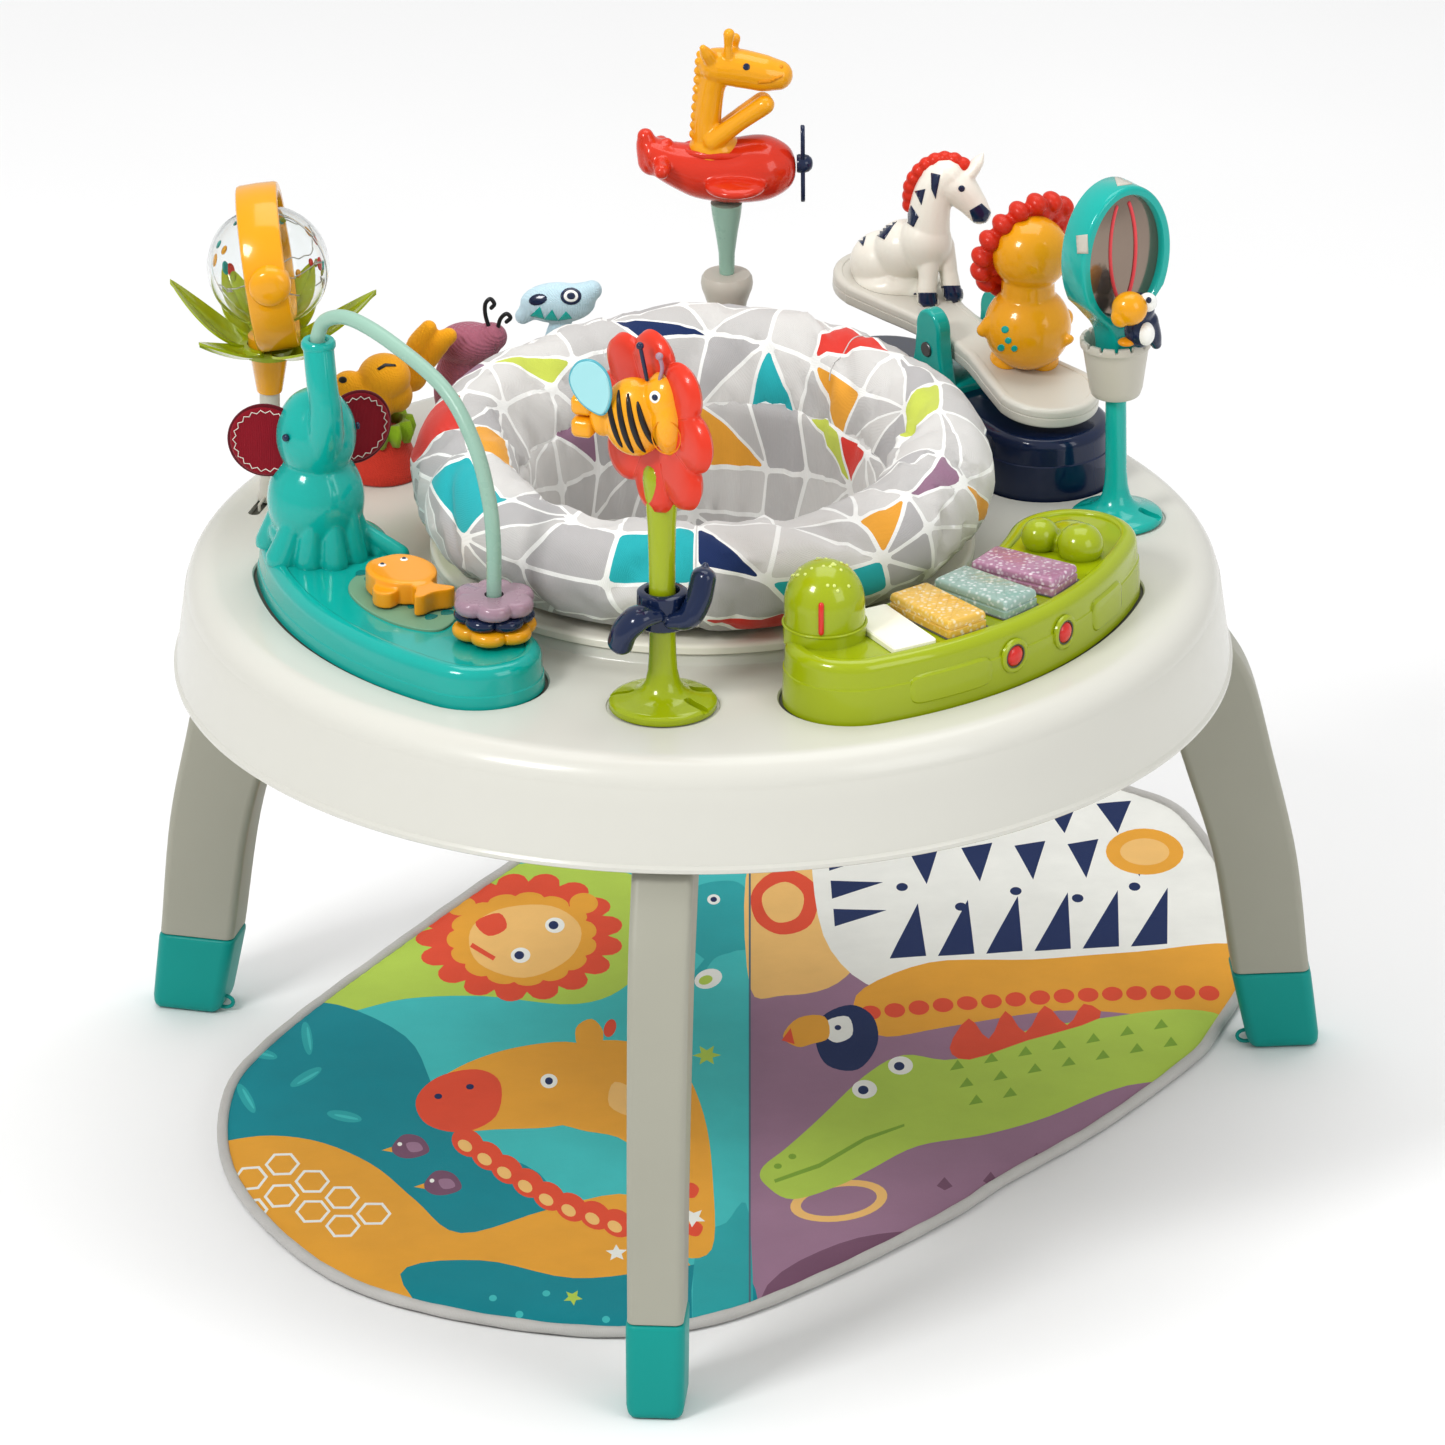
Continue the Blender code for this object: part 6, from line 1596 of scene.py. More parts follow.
M_PALE = plastic('pale_lime', (214, 226, 130), 0.25, 0.5, 0.1)
M_KEYS = {'yellow': glitter_mat('key_yellow', (238, 194, 84)), 'green': glitter_mat('key_green', (160, 188, 178)),
          'purple': glitter_mat('key_purple', (184, 134, 162))}
M_LAMPS = plastic('lamp_red', (214, 44, 36), 0.18, 0.6, 0.1)
M_CLEARB = clear_mat('clear_shell', (250, 252, 252), 0.02, 1.0, 1.22)
M_EYEW = plastic('eye_white', (240, 240, 236), 0.25, 0.4, 0.0)
M_BODY = M_TEAL

# ------------------------------------------------- boat shaped base of a toy
DECK_FISH, DECK_KEYS, DECK_ROCK = 0.486, 0.503, 0.503
FLOOR_REC, GAP, TRAY_TOP = 0.455, 0.0003, 0.458
BASE_RC, BASE_HW = 0.267, 0.048


def base_look(name, rc, a0, a1, top, material, replaces, dip=0.0, hw=BASE_HW, bands=0):
    o = ccw(bean(rc, a0, a1, hw, 56, 34))
    lv = [(FLOOR_REC + 0.0004, 0.0012), (FLOOR_REC + 0.0014, 0.0)]
    z = top - 0.0085
    lv += [(z - 0.0120, 0.0008), (z - 0.0112, 0.0016), (z - 0.0100, 0.0018)]
    lv += [(z + 0.0 * 1, 0.0022)]
    for k in range(1, 8):
        t = pi / 2 * k / 7
        lv.append((z + 0.0085 * sin(t), 0.0022 + 0.0075 * (1 - cos(t))))
    rings = [[(x, y, zz) for x, y in inset(o, d)] for zz, d in lv]
    if dip:
        d0 = 0.0115
        rings.append([(x, y, top) for x, y in inset(o, d0)])
        for k in range(1, 5):
            t = pi / 2 * k / 4
            rings.append([(x, y, top - dip * (1 - cos(t)) if k < 4 else top - dip) for x, y in inset(o, d0 + 0.0024 * sin(t))])
        rings.append([(x, y, top - dip) for x, y in inset(o, d0 + 0.0034)])
    return piece(name, loft(rings), material, replaces=replaces, sharp=32)


def eye(name, p, n, r=0.0042, body='table', big=False, turn=True):
    """White of an eye with its dark pupil, both slightly domed."""
    out = []
    m = basis(p, n)
    if big:
        out.append(piece(name + '_white', put(lathe([(0, -0.001), (r, -0.001), (r * 0.96, 0.0003), (r * 0.7, 0.0009), (0, 0.0013)], 24), m), M_EYEW,
                         body=body, turn=turn, sharp=None))
    k = 0.55 if big else 1.0
    out.append(piece(name + '_pupil', put(lathe([(0, -0.0006), (r * k, -0.0006), (r * k * 0.9, 0.0012), (r * k * 0.5, 0.0018), (0, 0.002)], 20), m), M_NAVY,
                     body=body, turn=turn, sharp=None))
    return out


def arc_tube(path, r, **kw):
    return tube(spline([Vector(p) for p in path], 8, False), r, **kw)


# ------------------------------------------------------------- elephant toy
base_look('elephant_base_look', BASE_RC, 184, 233, DECK_FISH, M_TEAL, 'elephant_base', dip=0.0018)
ex, ey = -0.272, -0.040
E = []
TURN = Matrix.Translation((ex, ey, 0)) @ Matrix.Rotation(radians(19), 4, 'Z') @ Matrix.Translation((-ex, -ey, 0))
E.append(ball((ex, ey, 0.524), (0.0345, 0.0340, 0.0410), 40, 28))
E.append(ball((ex, ey - 0.002, 0.5740), (0.0285, 0.0290, 0.0345), 40, 28))
E.append(ball((ex, ey + 0.004, 0.4985), (0.0330, 0.0320, 0.0200), 36, 22))
tr = [(ex + 0.004, ey - 0.0120, 0.562), (ex + 0.007, ey - 0.0225, 0.582), (ex + 0.0075, ey - 0.0260, 0.603), (ex + 0.005, ey - 0.0240, 0.624), (ex + 0.003, ey - 0.0170, 0.6470)]
trunk = tube(spline([Vector(p) for p in tr], 8, False), [0.0150 - 0.0040 * min(1, k / 20) for k in range(33)], 24)
for k in (-1, 0, 1):
    E.append(tube([Vector((ex + 0.003 + 0.0170 * k, ey - 0.031 + 0.007 * abs(k), 0.4860)), Vector((ex + 0.002 + 0.0125 * k, ey - 0.0235, 0.531))], [0.0098, 0.0055], 20))
for k in (-1, 1):
    E.append(tube([Vector((ex + 0.029 * k, ey - 0.010, 0.4860)), Vector((ex + 0.017 * k, ey - 0.016, 0.528))], [0.0120, 0.0065], 20))
for k in (-1, 1):
    E.append(tube([Vector((ex + 0.026 * k, ey + 0.022, 0.4860)), Vector((ex + 0.018 * k, ey + 0.012, 0.520))], [0.0115, 0.009], 20))
for k, dx in enumerate((0.039, 0.052)):
    E.append(tube([Vector((ex + dx, ey - 0.020 - 0.010 * k, 0.4855)), Vector((ex + 0.022, ey - 0.010, 0.512 - 0.004 * k))], [0.0068, 0.0046], 18))
E = [put(e, TURN) for e in E] + [trunk]
me = melt(E, voxel=0.0012, smooth=6, planes=[((0, 0, DECK_FISH - 0.0022), (0, 0, -1)), ((0, 0, 0.6502), (0, 0, 1))])
ele = place('elephant_look', me, M_TEAL, 'table', 'elephant_body', sharp=45)
piece('trunk_rim', put(lathe([(0.0062, 0.6450), (0.0112, 0.6450), (0.0124, 0.6475), (0.0122, 0.6505), (0.0110, 0.6520), (0.0075, 0.6522), (0.0062, 0.6508)], 40, closed=True),
                       (ex + 0.003, ey - 0.0160, 0)), M_TEAL, sharp=40)
eye('elephant_eye', (ex - 0.0205, ey - 0.0222, 0.5800), (-0.70, -0.72, 0.1), 0.0028)
eye('elephant_eye_r', (ex + 0.0297, ey - 0.0020, 0.5800), (1.0, -0.02, 0.1), 0.0028)
for side, nm in ((-1, 'left'), (1, 'right')):
    c = TURN @ Vector((ex + side * 0.0335, ey + 0.009, 0.5700))
    m = TURN @ basis((ex + side * 0.0335, ey + 0.009, 0.5700), (side * 0.22 - (0.30 if side < 0 else 0.10), -1, 0.03))
    wob = []
    n = 72
    for k in range(n):
        t = 2 * pi * k / n
        wob.append((0.0262 + 0.0004 * sin(3 * t + side), t))
    rings = []
    for z, q in ((-0.0024, 0.90), (-0.0016, 0.975), (0.0, 1.0), (0.0016, 0.975), (0.0023, 0.90), (0.0018, 0.80), (0.0022, 0.55), (0.0026, 0.2)):
        rings.append([(r * q * cos(t), r * q * sin(t), z) for r, t in wob])
    piece(f'ear_{nm}', put(loft(rings), m), M_CRIMSON, replaces=f'elephant_ear_{nm}', sharp=None)
    piece(f'ear_rim_{nm}', put(ring_sweep(72, lambda a: [(0.0258 + 0.0016 * cos(t), 0.0016 * sin(t)) for t in [2 * pi * j / 12 for j in range(12)]]), m), M_MAROON,
          sharp=None)
    zz = []
    for k in range(44):
        t = 2 * pi * k / 44
        r = 0.0222 + (0.0011 if k % 2 else -0.0011)
        zz.append(m @ Vector((r * cos(t), r * sin(t), 0.0021)))
    zz.append(zz[0])
    zz.append(zz[1])
    piece(f'ear_stitch_{nm}', tube(zz, 0.00042, 6), M_THREAD, sharp=None)

TP = [(ex + 0.003, ey - 0.016, 0.6450), (ex + 0.003, ey - 0.0165, 0.6560), (ex + 0.009, ey - 0.021, 0.6690), (ex + 0.026, ey - 0.037, 0.6765),
      (-0.2166, -0.105, 0.669), (-0.181, -0.142, 0.6500), (-0.161, -0.168, 0.620), (-0.151, -0.186, 0.585), (-0.148, -0.195, 0.555),
      (-0.148, -0.195, 0.520), (-0.148, -0.195, 0.4862)]
piece('bead_tube_look', tube(spline([Vector(p) for p in TP], 14, False), 0.0053, 24), M_MINT, replaces='bead_tube', sharp=None)
piece('bead_socket', put(lathe([(0.0, 0.4842), (0.0125, 0.4842), (0.0118, 0.4858), (0.0082, 0.4866), (0.0060, 0.4868), (0.0, 0.4868)], 40), (-0.148, -0.195, 0)), M_TEAL)


def washer_look(z0, z1, r0, amp, phase):
    m = (z1 - z0) / 2
    zc = (z0 + z1) / 2

    def sec(a):
        r = r0 + amp * abs(cos(3 * (a - phase))) ** 0.62
        out = []
        for j in range(9):
            t = -pi / 2 + pi * j / 8
            out.append((r - 0.0042 + 0.0042 * cos(t), zc + m * sin(t)))
        return [(0.0068, z0 + 0.0006)] + out + [(0.0068, z1 - 0.0006)]
    return ring_sweep(144, sec)


for nm, z0, z1, r0, m, ph, bd in (('yellow', 0.4868, 0.4965, 0.0245, M_YELLOW, 0.3, 'bottom_bead'), ('navy', 0.4970, 0.5055, 0.0225, M_NAVY, 0.0, 'middle_bead'),
                                  ('purple', 0.5060, 0.5170, 0.0240, M_PURPLE, 0.5, 'top_bead')):
    piece(f'bead_{nm}_look', put(washer_look(z0, z1, r0, 0.0060, ph), (-0.148, -0.195, 0)), m, body=bd, replaces=f'flower_bead_{nm}', sharp=50)

# the fish and its recessed track with a leaf pattern
FD = Vector((-0.5225, 0.8526, 0)).normalized()
FM = basis((-0.207, -0.127, 0), (0, 0, 1), FD)
fish_body = smooth_loop([(0.0365, 0.0), (0.0345, 0.0120), (0.0245, 0.0210), (0.0090, 0.0240), (-0.0050, 0.0200), (-0.0150, 0.0110), (-0.0190, 0.0),
                         (-0.0150, -0.0110), (-0.0050, -0.0200), (0.0090, -0.0240), (0.0245, -0.0210), (0.0345, -0.0120)], 4)
fish_tail = smooth_loop([(-0.0100, 0.0065), (-0.0220, 0.0085), (-0.0330, 0.0165), (-0.0366, 0.0110), (-0.0338, 0.0), (-0.0366, -0.0110), (-0.0330, -0.0165),
                         (-0.0220, -0.0085), (-0.0100, -0.0065)], 4)
fin = smooth_loop([(0.010, 0.0150), (-0.007, 0.0120), (-0.0140, 0.0240), (-0.0070, 0.0310), (0.0040, 0.0280)], 5)
zf = DECK_FISH + 0.0010
fish_me = melt([put(slab(ccw(fish_body), [(zf, 0.0), (0.5030, 0.0), (0.5042, 0.0030)]), FM), put(slab(ccw(fish_tail), [(zf, 0.0), (0.5022, 0.0)]), FM),
                put(slab(ccw(fin), [(zf, 0.0), (0.4990, 0.0)]), FM)], voxel=0.0009, smooth=7)
fish_ob = place('fish_look', fish_me, M_FISHO, 'fish', replaces='fish_slider', sharp=None)
for sy in (-1, 1):
    eye(f'fish_eye_{sy + 1}', FM @ Vector((0.0215, sy * 0.0090, 0.5040)), (0, 0, 1), 0.0030, body='fish', big=True)
track = ccw([(x * 1.0, y) for x, y in smooth_loop([(0.054, 0.004), (0.046, 0.0200), (0.028, 0.0320), (-0.004, 0.0370), (-0.034, 0.0330), (-0.056, 0.0210), (-0.060, 0.0080),
                                                    (-0.046, -0.0105), (-0.030, -0.0150), (0.0, -0.0165), (0.030, -0.0150), (0.050, -0.0105)], 5)])
piece('fish_track', put(slab(track, [(DECK_FISH - 0.0022, 0.0), (DECK_FISH - 0.0004, 0.0), (DECK_FISH + 0.0001, 0.0006)]), FM), M_SLOT, sharp=20)
leaf = []
for k in range(9):
    x = -0.040 + k * 0.0115
    for sy in (-1, 1):
        p = smooth_loop([(x, sy * 0.0015), (x + 0.005, sy * 0.0050), (x + 0.0035, sy * 0.0100), (x - 0.0015, sy * 0.0118), (x - 0.0030, sy * 0.0070)], 3)
        leaf.append(put(slab(ccw(p), [(DECK_FISH - 0.0008, 0.0), (DECK_FISH + 0.0004, 0.0), (DECK_FISH + 0.0007, 0.0004)]), FM))
piece('track_leaves', leaf, M_TEAL_D, sharp=20)
# ------------------------------------------------- flower, bee and spinner
bx, by = -0.031, -0.2588
BEE_N = Vector((-0.83, -0.557, 0)).normalized()
FLOWER_Z, SPIN_Z = 0.679, 0.533
prof = [(0.0, TRAY_TOP + 0.0003), (0.0378, TRAY_TOP + 0.0003), (0.0382, 0.4596), (0.0378, 0.4625), (0.0362, 0.4642), (0.0330, 0.4652), (0.0250, 0.4668), (0.0190, 0.4690),
        (0.0150, 0.4725), (0.0122, 0.4775), (0.0104, 0.4860), (0.0096, 0.4980), (0.0092, 0.5150), (0.0094, 0.5700), (0.0100, 0.5950), (0.0112, 0.6120),
        (0.0126, 0.6240), (0.0132, 0.6310), (0.0124, 0.6370), (0.0100, 0.6412), (0.0060, 0.6438), (0.0, 0.6446)]
stalk = piece('bee_stalk_look', put(lathe(prof, 72), (bx, by, 0)), M_LIME, replaces='bee_stalk', sharp=35)
for a0, w in ((18, 0.0085), (-38, 0.0065), (170, 0.0045)):
    d = Vector((cos(radians(a0)), sin(radians(a0)), 0))
    bsz = basis(Vector((bx, by, 0)) + d * 0.0300, (0, 0, 1), d)
    boolean(stalk, put(slab(rounded_rect(0.020, w, 0.002), [(0.4616, 0.0), (0.49, 0.0)]), bsz))
piece('stalk_clip', put(slab(rounded_rect(0.0150, 0.0040, 0.0015), [(0.4610, 0.0), (0.4632, 0.0), (0.4638, 0.0006)]),
                        basis((bx + 0.026, by + 0.006, 0), (0, 0, 1), (1, 0.3, 0))), M_LIME)
hubr = ring_sweep(72, lambda a: [(0.0116, SPIN_Z - 0.0120), (0.0126, SPIN_Z - 0.0134), (0.0160, SPIN_Z - 0.0134), (0.0178, SPIN_Z - 0.0120),
                                 (0.0180 - 0.0009 * (abs(sin(6 * a)) ** 8), SPIN_Z), (0.0178, SPIN_Z + 0.0120), (0.0160, SPIN_Z + 0.0134), (0.0126, SPIN_Z + 0.0134),
                                 (0.0116, SPIN_Z + 0.0120)])
sp = [put(hubr, (bx, by, 0))]
lobe_l = [(bx - 0.006, by - 0.016, SPIN_Z + 0.001), (bx - 0.016, by - 0.020, SPIN_Z + 0.001), (bx - 0.025, by - 0.020, SPIN_Z - 0.007), (bx - 0.029, by - 0.018, SPIN_Z - 0.017), (bx - 0.031, by - 0.017, SPIN_Z - 0.025)]
lobe_r = [(bx + 0.008, by - 0.014, SPIN_Z - 0.004), (bx + 0.018, by - 0.015, SPIN_Z - 0.001), (bx + 0.025, by - 0.012, SPIN_Z + 0.010), (bx + 0.028, by - 0.008, SPIN_Z + 0.022), (bx + 0.030, by - 0.004, SPIN_Z + 0.032)]
for pth in (lobe_l, lobe_r):
    sp.append(tube(spline([Vector(p) for p in pth], 7, False), [(0.0085 + 0.0042 * min(1, k / 9)) * math.sqrt(max(0.06, 1 - (max(0, k - 23) / 5.2) ** 2)) for k in range(29)], 28, flat=0.72))
me = melt(sp[1:], voxel=0.0011, smooth=5)
place('spinner_lobes', me, M_NAVY, 'spinner', sharp=50)
piece('spinner_hub', sp[0], M_NAVY, body='spinner', replaces='leaf_spinner', sharp=40)

fm = basis(Vector((bx, by, FLOWER_Z - 0.004)) + BEE_N * 0.0040, BEE_N, (0, 0, 1))
rings = []
NPET = 168
for q, z in ((0.00, -0.0062), (0.55, -0.0060), (0.86, -0.0052), (0.955, -0.0034), (1.0, 0.0), (0.965, 0.0036), (0.88, 0.0056), (0.62, 0.0050), (0.40, 0.0034), (0.0, 0.0030)):
    ring = []
    for k in range(NPET):
        t = 2 * pi * k / NPET
        w = abs(cos(4 * t))
        r = 0.0540 + 0.0145 * w ** 0.62
        rr_ = r * max(q, 0.004)
        puffz = z + (0.0022 * w * q if z > 0.003 and q > 0.3 else 0.0)
        ring.append((rr_ * cos(t), rr_ * sin(t), puffz))
    rings.append(ring)
piece('flower_look', put(loft(rings), fm), M_FLOWER, replaces='flower_head', sharp=50)
cuts = []
for k in range(8):
    t = 2 * pi * (k + 0.5) / 8
    cuts.append(put(tube([(0.030 * cos(t), 0.030 * sin(t), 0.0040), (0.049 * cos(t), 0.049 * sin(t), 0.0050)], 0.0009, 10), fm))
piece('flower_creases', cuts, M_RED, sharp=None)

bc = Vector((bx, by, FLOWER_Z)) + BEE_N * 0.002
BM = basis(bc, (-0.35, -0.94, 0), BEE_N)


BQ, BS, BZ = 0.852, -0.0082, 0.0115      # the bee is a little shorter than its solid and sits in front of the flower
BM = BM @ Matrix.Translation((BS, 0, BZ)) @ Matrix.Diagonal((BQ, 1, 1, 1))


def bat(x, y, z=0.0):
    return BM @ Vector((x, -y, z))


def bball(x, y, z, r, u=36, v=24):
    vs, fs = ball((0, 0, 0), r, u, v)
    return [BM @ (Vector(p) + Vector((x, -y, z))) for p in vs], fs


B = [bball(-0.004, 0.020, 0, (0.0205, 0.0205, 0.0165)), bball(-0.008, 0.006, 0.001, (0.0180, 0.0290, 0.0168)), bball(0.025, 0.002, 0, (0.0275, 0.0290, 0.0180)),
     bball(0.052, 0.001, 0, (0.0120, 0.0165, 0.0125))]
me = melt(B, voxel=0.0011, smooth=4)
place('bee_look', me, M_BEE, 'bee', 'bee_body', sharp=50)
for sy, y in ((0, 0.0085), (1, -0.0085)):
    piece(f'bee_tail_{sy}', put(slab(rounded_rect(0.0190, 0.0150, 0.0048, 6), [(-0.0115, 0.0035), (-0.0085, 0.0004), (-0.004, 0.0), (0.004, 0.0), (0.0085, 0.0004), (0.0115, 0.0035)]),
                                BM @ Matrix.Translation((0.0680, -y, 0))), M_BEE, body='bee', sharp=50)
for k, (x, l) in enumerate(((0.0105, 0.034), (0.0195, 0.043), (0.0285, 0.044), (0.0375, 0.036))):
    pts = []
    for j in range(17):
        t = -0.5 + j / 16
        yy = 0.002 + t * l
        xx = x + t * 0.013
        e2 = 1 - ((xx - 0.025) / 0.0275) ** 2 - ((yy - 0.002) / 0.0290) ** 2
        zz_ = 0.0180 * math.sqrt(max(0.02, e2)) - 0.0001
        pts.append(bat(xx, yy, zz_))
    piece(f'bee_stripe_{k}', tube(pts, [0.0008 + 0.0015 * sin(pi * j / 16) ** 0.5 for j in range(17)], 12), M_BLACK, body='bee', sharp=None)
    pts2 = [bat(-0.0, 0, 0) for _ in range(0)]
piece('bee_cheek', put(ring_sweep(40, lambda a: [(0.0125 + 0.0005 * cos(t), 0.0006 * sin(t)) for t in [2 * pi * j / 8 for j in range(8)]]),
                       BM @ Matrix.Translation((-0.0090, 0.0030, 0.0166))), M_YELLOW_D, body='bee', sharp=None)
eye('bee_eye', bat(0.0010, 0.0255, 0.0150), BM.to_3x3() @ Vector((0.05, -0.15, 1)), 0.0046, body='bee', big=True)
wing = ccw(smooth_loop([(0.047, 0.008), (0.041, 0.022), (0.044, 0.038), (0.056, 0.047), (0.070, 0.044), (0.0770, 0.031), (0.070, 0.017), (0.058, 0.009)], 6))
wing = [(x - 0.002, -y) for x, y in wing]
wing = ccw(wing)
wz = 0.0145
piece('bee_wing', put(slab(wing, [(wz - 0.0016, 0.0012), (wz, 0.0), (wz + 0.0016, 0.0), (wz + 0.0030, 0.0014)]), BM), M_WING, body='bee', sharp=40)
wl = [BM @ Vector((x, y, wz + 0.0012)) for x, y in inset(wing, 0.0004)]
piece('bee_wing_edge', tube(wl + wl[:2], 0.0011, 10), M_WING_D, body='bee', sharp=None)
for nm, m_, p in (('left', M_NAVY, [(0.012, 0.034, 0.006), (0.014, 0.047, 0.008), (0.0165, 0.060, 0.009)]), ('right', M_PURPLE, [(0.000, 0.036, 0.008), (-0.003, 0.046, 0.010), (-0.001, 0.055, 0.011)])):
    pp = spline([Vector(bat(*q)) for q in p], 6, False)
    piece(f'bee_antenna_{nm}', [tube(pp, 0.0015, 12), ball(pp[-1], 0.0028, 18, 12)], m_, body='bee', sharp=None, fix=False)

# ------------------------------------------------------------- keyboard toy
kb = base_look('piano_base_look', BASE_RC, -68, -14, DECK_KEYS, M_LIME, 'piano_base', dip=0.0022)
hx, hy = 0.0825, -0.235
dome = [(0.0, DECK_KEYS - 0.006), (0.0292, DECK_KEYS - 0.006), (0.0292, 0.5100), (0.0284, 0.5108), (0.0284, 0.5250)]
dome += [(0.0284 * cos(pi / 2 * k / 12), 0.5260 + 0.0305 * sin(pi / 2 * k / 12)) for k in range(0, 12)] + [(0.0, 0.5565)]
piece('piano_dome', put(lathe(dome, 96), (hx, hy, 0)), M_LIME, sharp=35)
piece('dome_lip', put(ring_sweep(96, lambda a: [(0.0291 + 0.0011 * cos(t), 0.5105 + 0.0011 * sin(t)) for t in [2 * pi * j / 10 for j in range(10)]]), (hx, hy, 0)), M_LIME, sharp=None)
hs = []
for j in range(14):
    zz_ = 0.5140 + 0.0205 * j / 13
    rr_ = 0.0284 if zz_ < 0.526 else 0.0284 * math.sqrt(max(0, 1 - ((zz_ - 0.526) / 0.0305) ** 2))
    hs.append(Vector((hx - 0.10 * rr_, hy - 0.995 * rr_, zz_)))
piece('dome_stripe', tube(hs, 0.0020, 14), M_LAMPS, sharp=None)
dots = []
rs = random.Random(4)
for k in range(26):
    a, h = rs.uniform(0, 2 * pi), rs.uniform(0.55, 1.45)
    n_ = Vector((cos(a) * cos(h), sin(a) * cos(h), sin(h)))
    p = Vector((hx, hy, 0.526)) + Vector((n_.x * 0.0284, n_.y * 0.0284, n_.z * 0.0305))
    dots.append(put(lathe([(0, -0.0003), (0.0015, -0.0003), (0.0010, 0.0005), (0, 0.0007)], 12), basis(p, n_)))
piece('dome_dots', dots, M_PALE, sharp=None)
ang = lambda a: Vector((cos(radians(a)), sin(radians(a)), 0))
PD = ang(-61.2)
pl = piece('piano_panel_look', put(slab(rounded_rect(0.072, 0.0350, 0.003, 6), [(DECK_KEYS - 0.0018, 0.0), (DECK_KEYS + 0.0016, 0.0), (DECK_KEYS + 0.0026, 0.0010)]),
                                   basis(PD * 0.266, (0, 0, 1), PD)), M_PANEL, replaces='piano_panel', sharp=40)
KEY_L, KEY_W, KEY_RC = 0.068, 0.0345, 0.266
for nm, an in (('yellow', -52.5), ('green', -42.6), ('purple', -32.7)):
    d = ang(an)
    km = basis(d * KEY_RC, (0, 0, 1), d)
    kr = [[(x, y, z) for x, y in rounded_rect(KEY_L - 2 * q, KEY_W - 2 * q, 0.0022, 6)] for z, q in ((0.4945, 0.0), (0.5065, 0.0), (0.5072, 0.0010), (0.5082, 0.0010),
                                                                                                  (0.5088, 0.0002), (0.5118, 0.0004), (0.5134, 0.0012), (0.5140, 0.0024))]
    piece(f'key_{nm}_look', put(loft(kr), km), M_KEYS[nm], body=f'{nm}_key', replaces=f'key_{nm}', sharp=40)
    # a fine raised net on each key top
    net_l = []
    for k in range(-3, 4):
        for s_ in (-1, 1):
            a_, b_ = (k * 0.0095 - s_ * 0.0135, -0.0140), (k * 0.0095 + s_ * 0.0135, 0.0140)
            pa_, pb_ = [Vector((max(-0.030, min(0.030, q[0])), q[1], 0.5139)) for q in (a_, b_)]
            net_l.append(put(tube([pa_, pb_], 0.00035, 6), km))
    piece(f'key_{nm}_net', net_l, M_KEYS[nm], body=f'{nm}_key', sharp=None, fix=False)
    # thin dark sheet in the gap round each key: painted shade
    well = rounded_rect(KEY_L + 0.0032, KEY_W + 0.0028, 0.003, 5)
    piece(f'key_{nm}_well', put(loft([[(x, y, DECK_KEYS - 0.0017) for x, y in well], [(x, y, DECK_KEYS - 0.0012) for x, y in well]]), km), M_PAINTED_SHADE, sharp=40)
for nm, an in (('left', -46.8), ('right', -37.0)):
    d = ang(an)
    lm = basis(d * (BASE_RC + BASE_HW - 0.0045) + Vector((0, 0, 0.480)), d)
    piece(f'lens_{nm}_look', put(lathe([(0.0, 0.0), (0.0078, 0.0), (0.0078, 0.0036), (0.0070, 0.0050), (0.0052, 0.0062), (0.0028, 0.0069), (0.0, 0.0071)], 40), lm), M_LAMPS,
          replaces=f'light_lens_{nm}', sharp=35)
    piece(f'lens_rim_{nm}', put(lathe([(0.0078, 0.0018), (0.0120, 0.0018), (0.0128, 0.0034), (0.0124, 0.0050), (0.0110, 0.0058), (0.0094, 0.0056), (0.0082, 0.0044), (0.0078, 0.0036)], 56, closed=True), lm),
          M_LIME, sharp=35)
    # dark ring in the gap between lens and rim: painted shade
    piece(f'lens_gap_{nm}', put(ring_sweep(48, lambda a: [(0.0083 + 0.0006 * cos(t), 0.0046 + 0.0006 * sin(t)) for t in [2 * pi * j / 8 for j in range(8)]]), lm), M_PAINTED_SHADE, sharp=None)
# raised arm shapes at both ends of the front, following the curve
for a0, a1, zl, zh in ((-63.5, -50.5, 0.4640, 0.4880), (-30.5, -21.5, 0.4640, 0.4900)):
    lp = []
    ns = 26
    ro = BASE_RC + BASE_HW
    prof_ = [(-0.0035, zl), (0.0006, zl + 0.0008), (0.0020, zl + 0.0026), (0.0022, (zl + zh) / 2), (0.0016, zh - 0.0026), (-0.0002, zh - 0.0008), (-0.0040, zh)]
    for k in range(ns + 1):
        a = radians(a0 + (a1 - a0) * k / ns)
        t = k / ns
        s_ = math.sqrt(max(0.02, 1 - (2 * t - 1) ** 10))
        zm = (zl + zh) / 2
        lp.append([((ro + r_ * s_ - 0.0012) * cos(a), (ro + r_ * s_ - 0.0012) * sin(a), zm + (z_ - zm) * s_) for r_, z_ in prof_])
    piece(f'piano_arm_{int(-a0)}', loft(lp), M_LIME, sharp=35)
for p_, r_ in (((1042, 531), 0.0125), ((1080, 542), 0.0155)):
    X, Y = (p_[0] - 705) / 1408, None
bump = []
for an, rc_, r_, z_ in ((-20.4, 0.2520, 0.0135, 0.5100), (-21.0, 0.2830, 0.0165, 0.5085)):
    d = ang(an) * rc_
    bump.append(ball((d.x, d.y, z_), (r_, r_, r_ * 0.95), 40, 26))
bump.append(ball((ang(-16.6) * 0.268).to_tuple()[:2] + (0.5025,), (0.020, 0.024, 0.0105), 36, 20))
me = melt(bump, voxel=0.0012, smooth=5)
place('piano_bumps', me, M_LIME, 'table', sharp=50)
for nm_, m_ in (('circuit_board', (30, 95, 60)), ('speaker', (28, 28, 30)), ('battery_box', (150, 150, 148))):
    pass
# ------------------------------------------------------------ the back toys


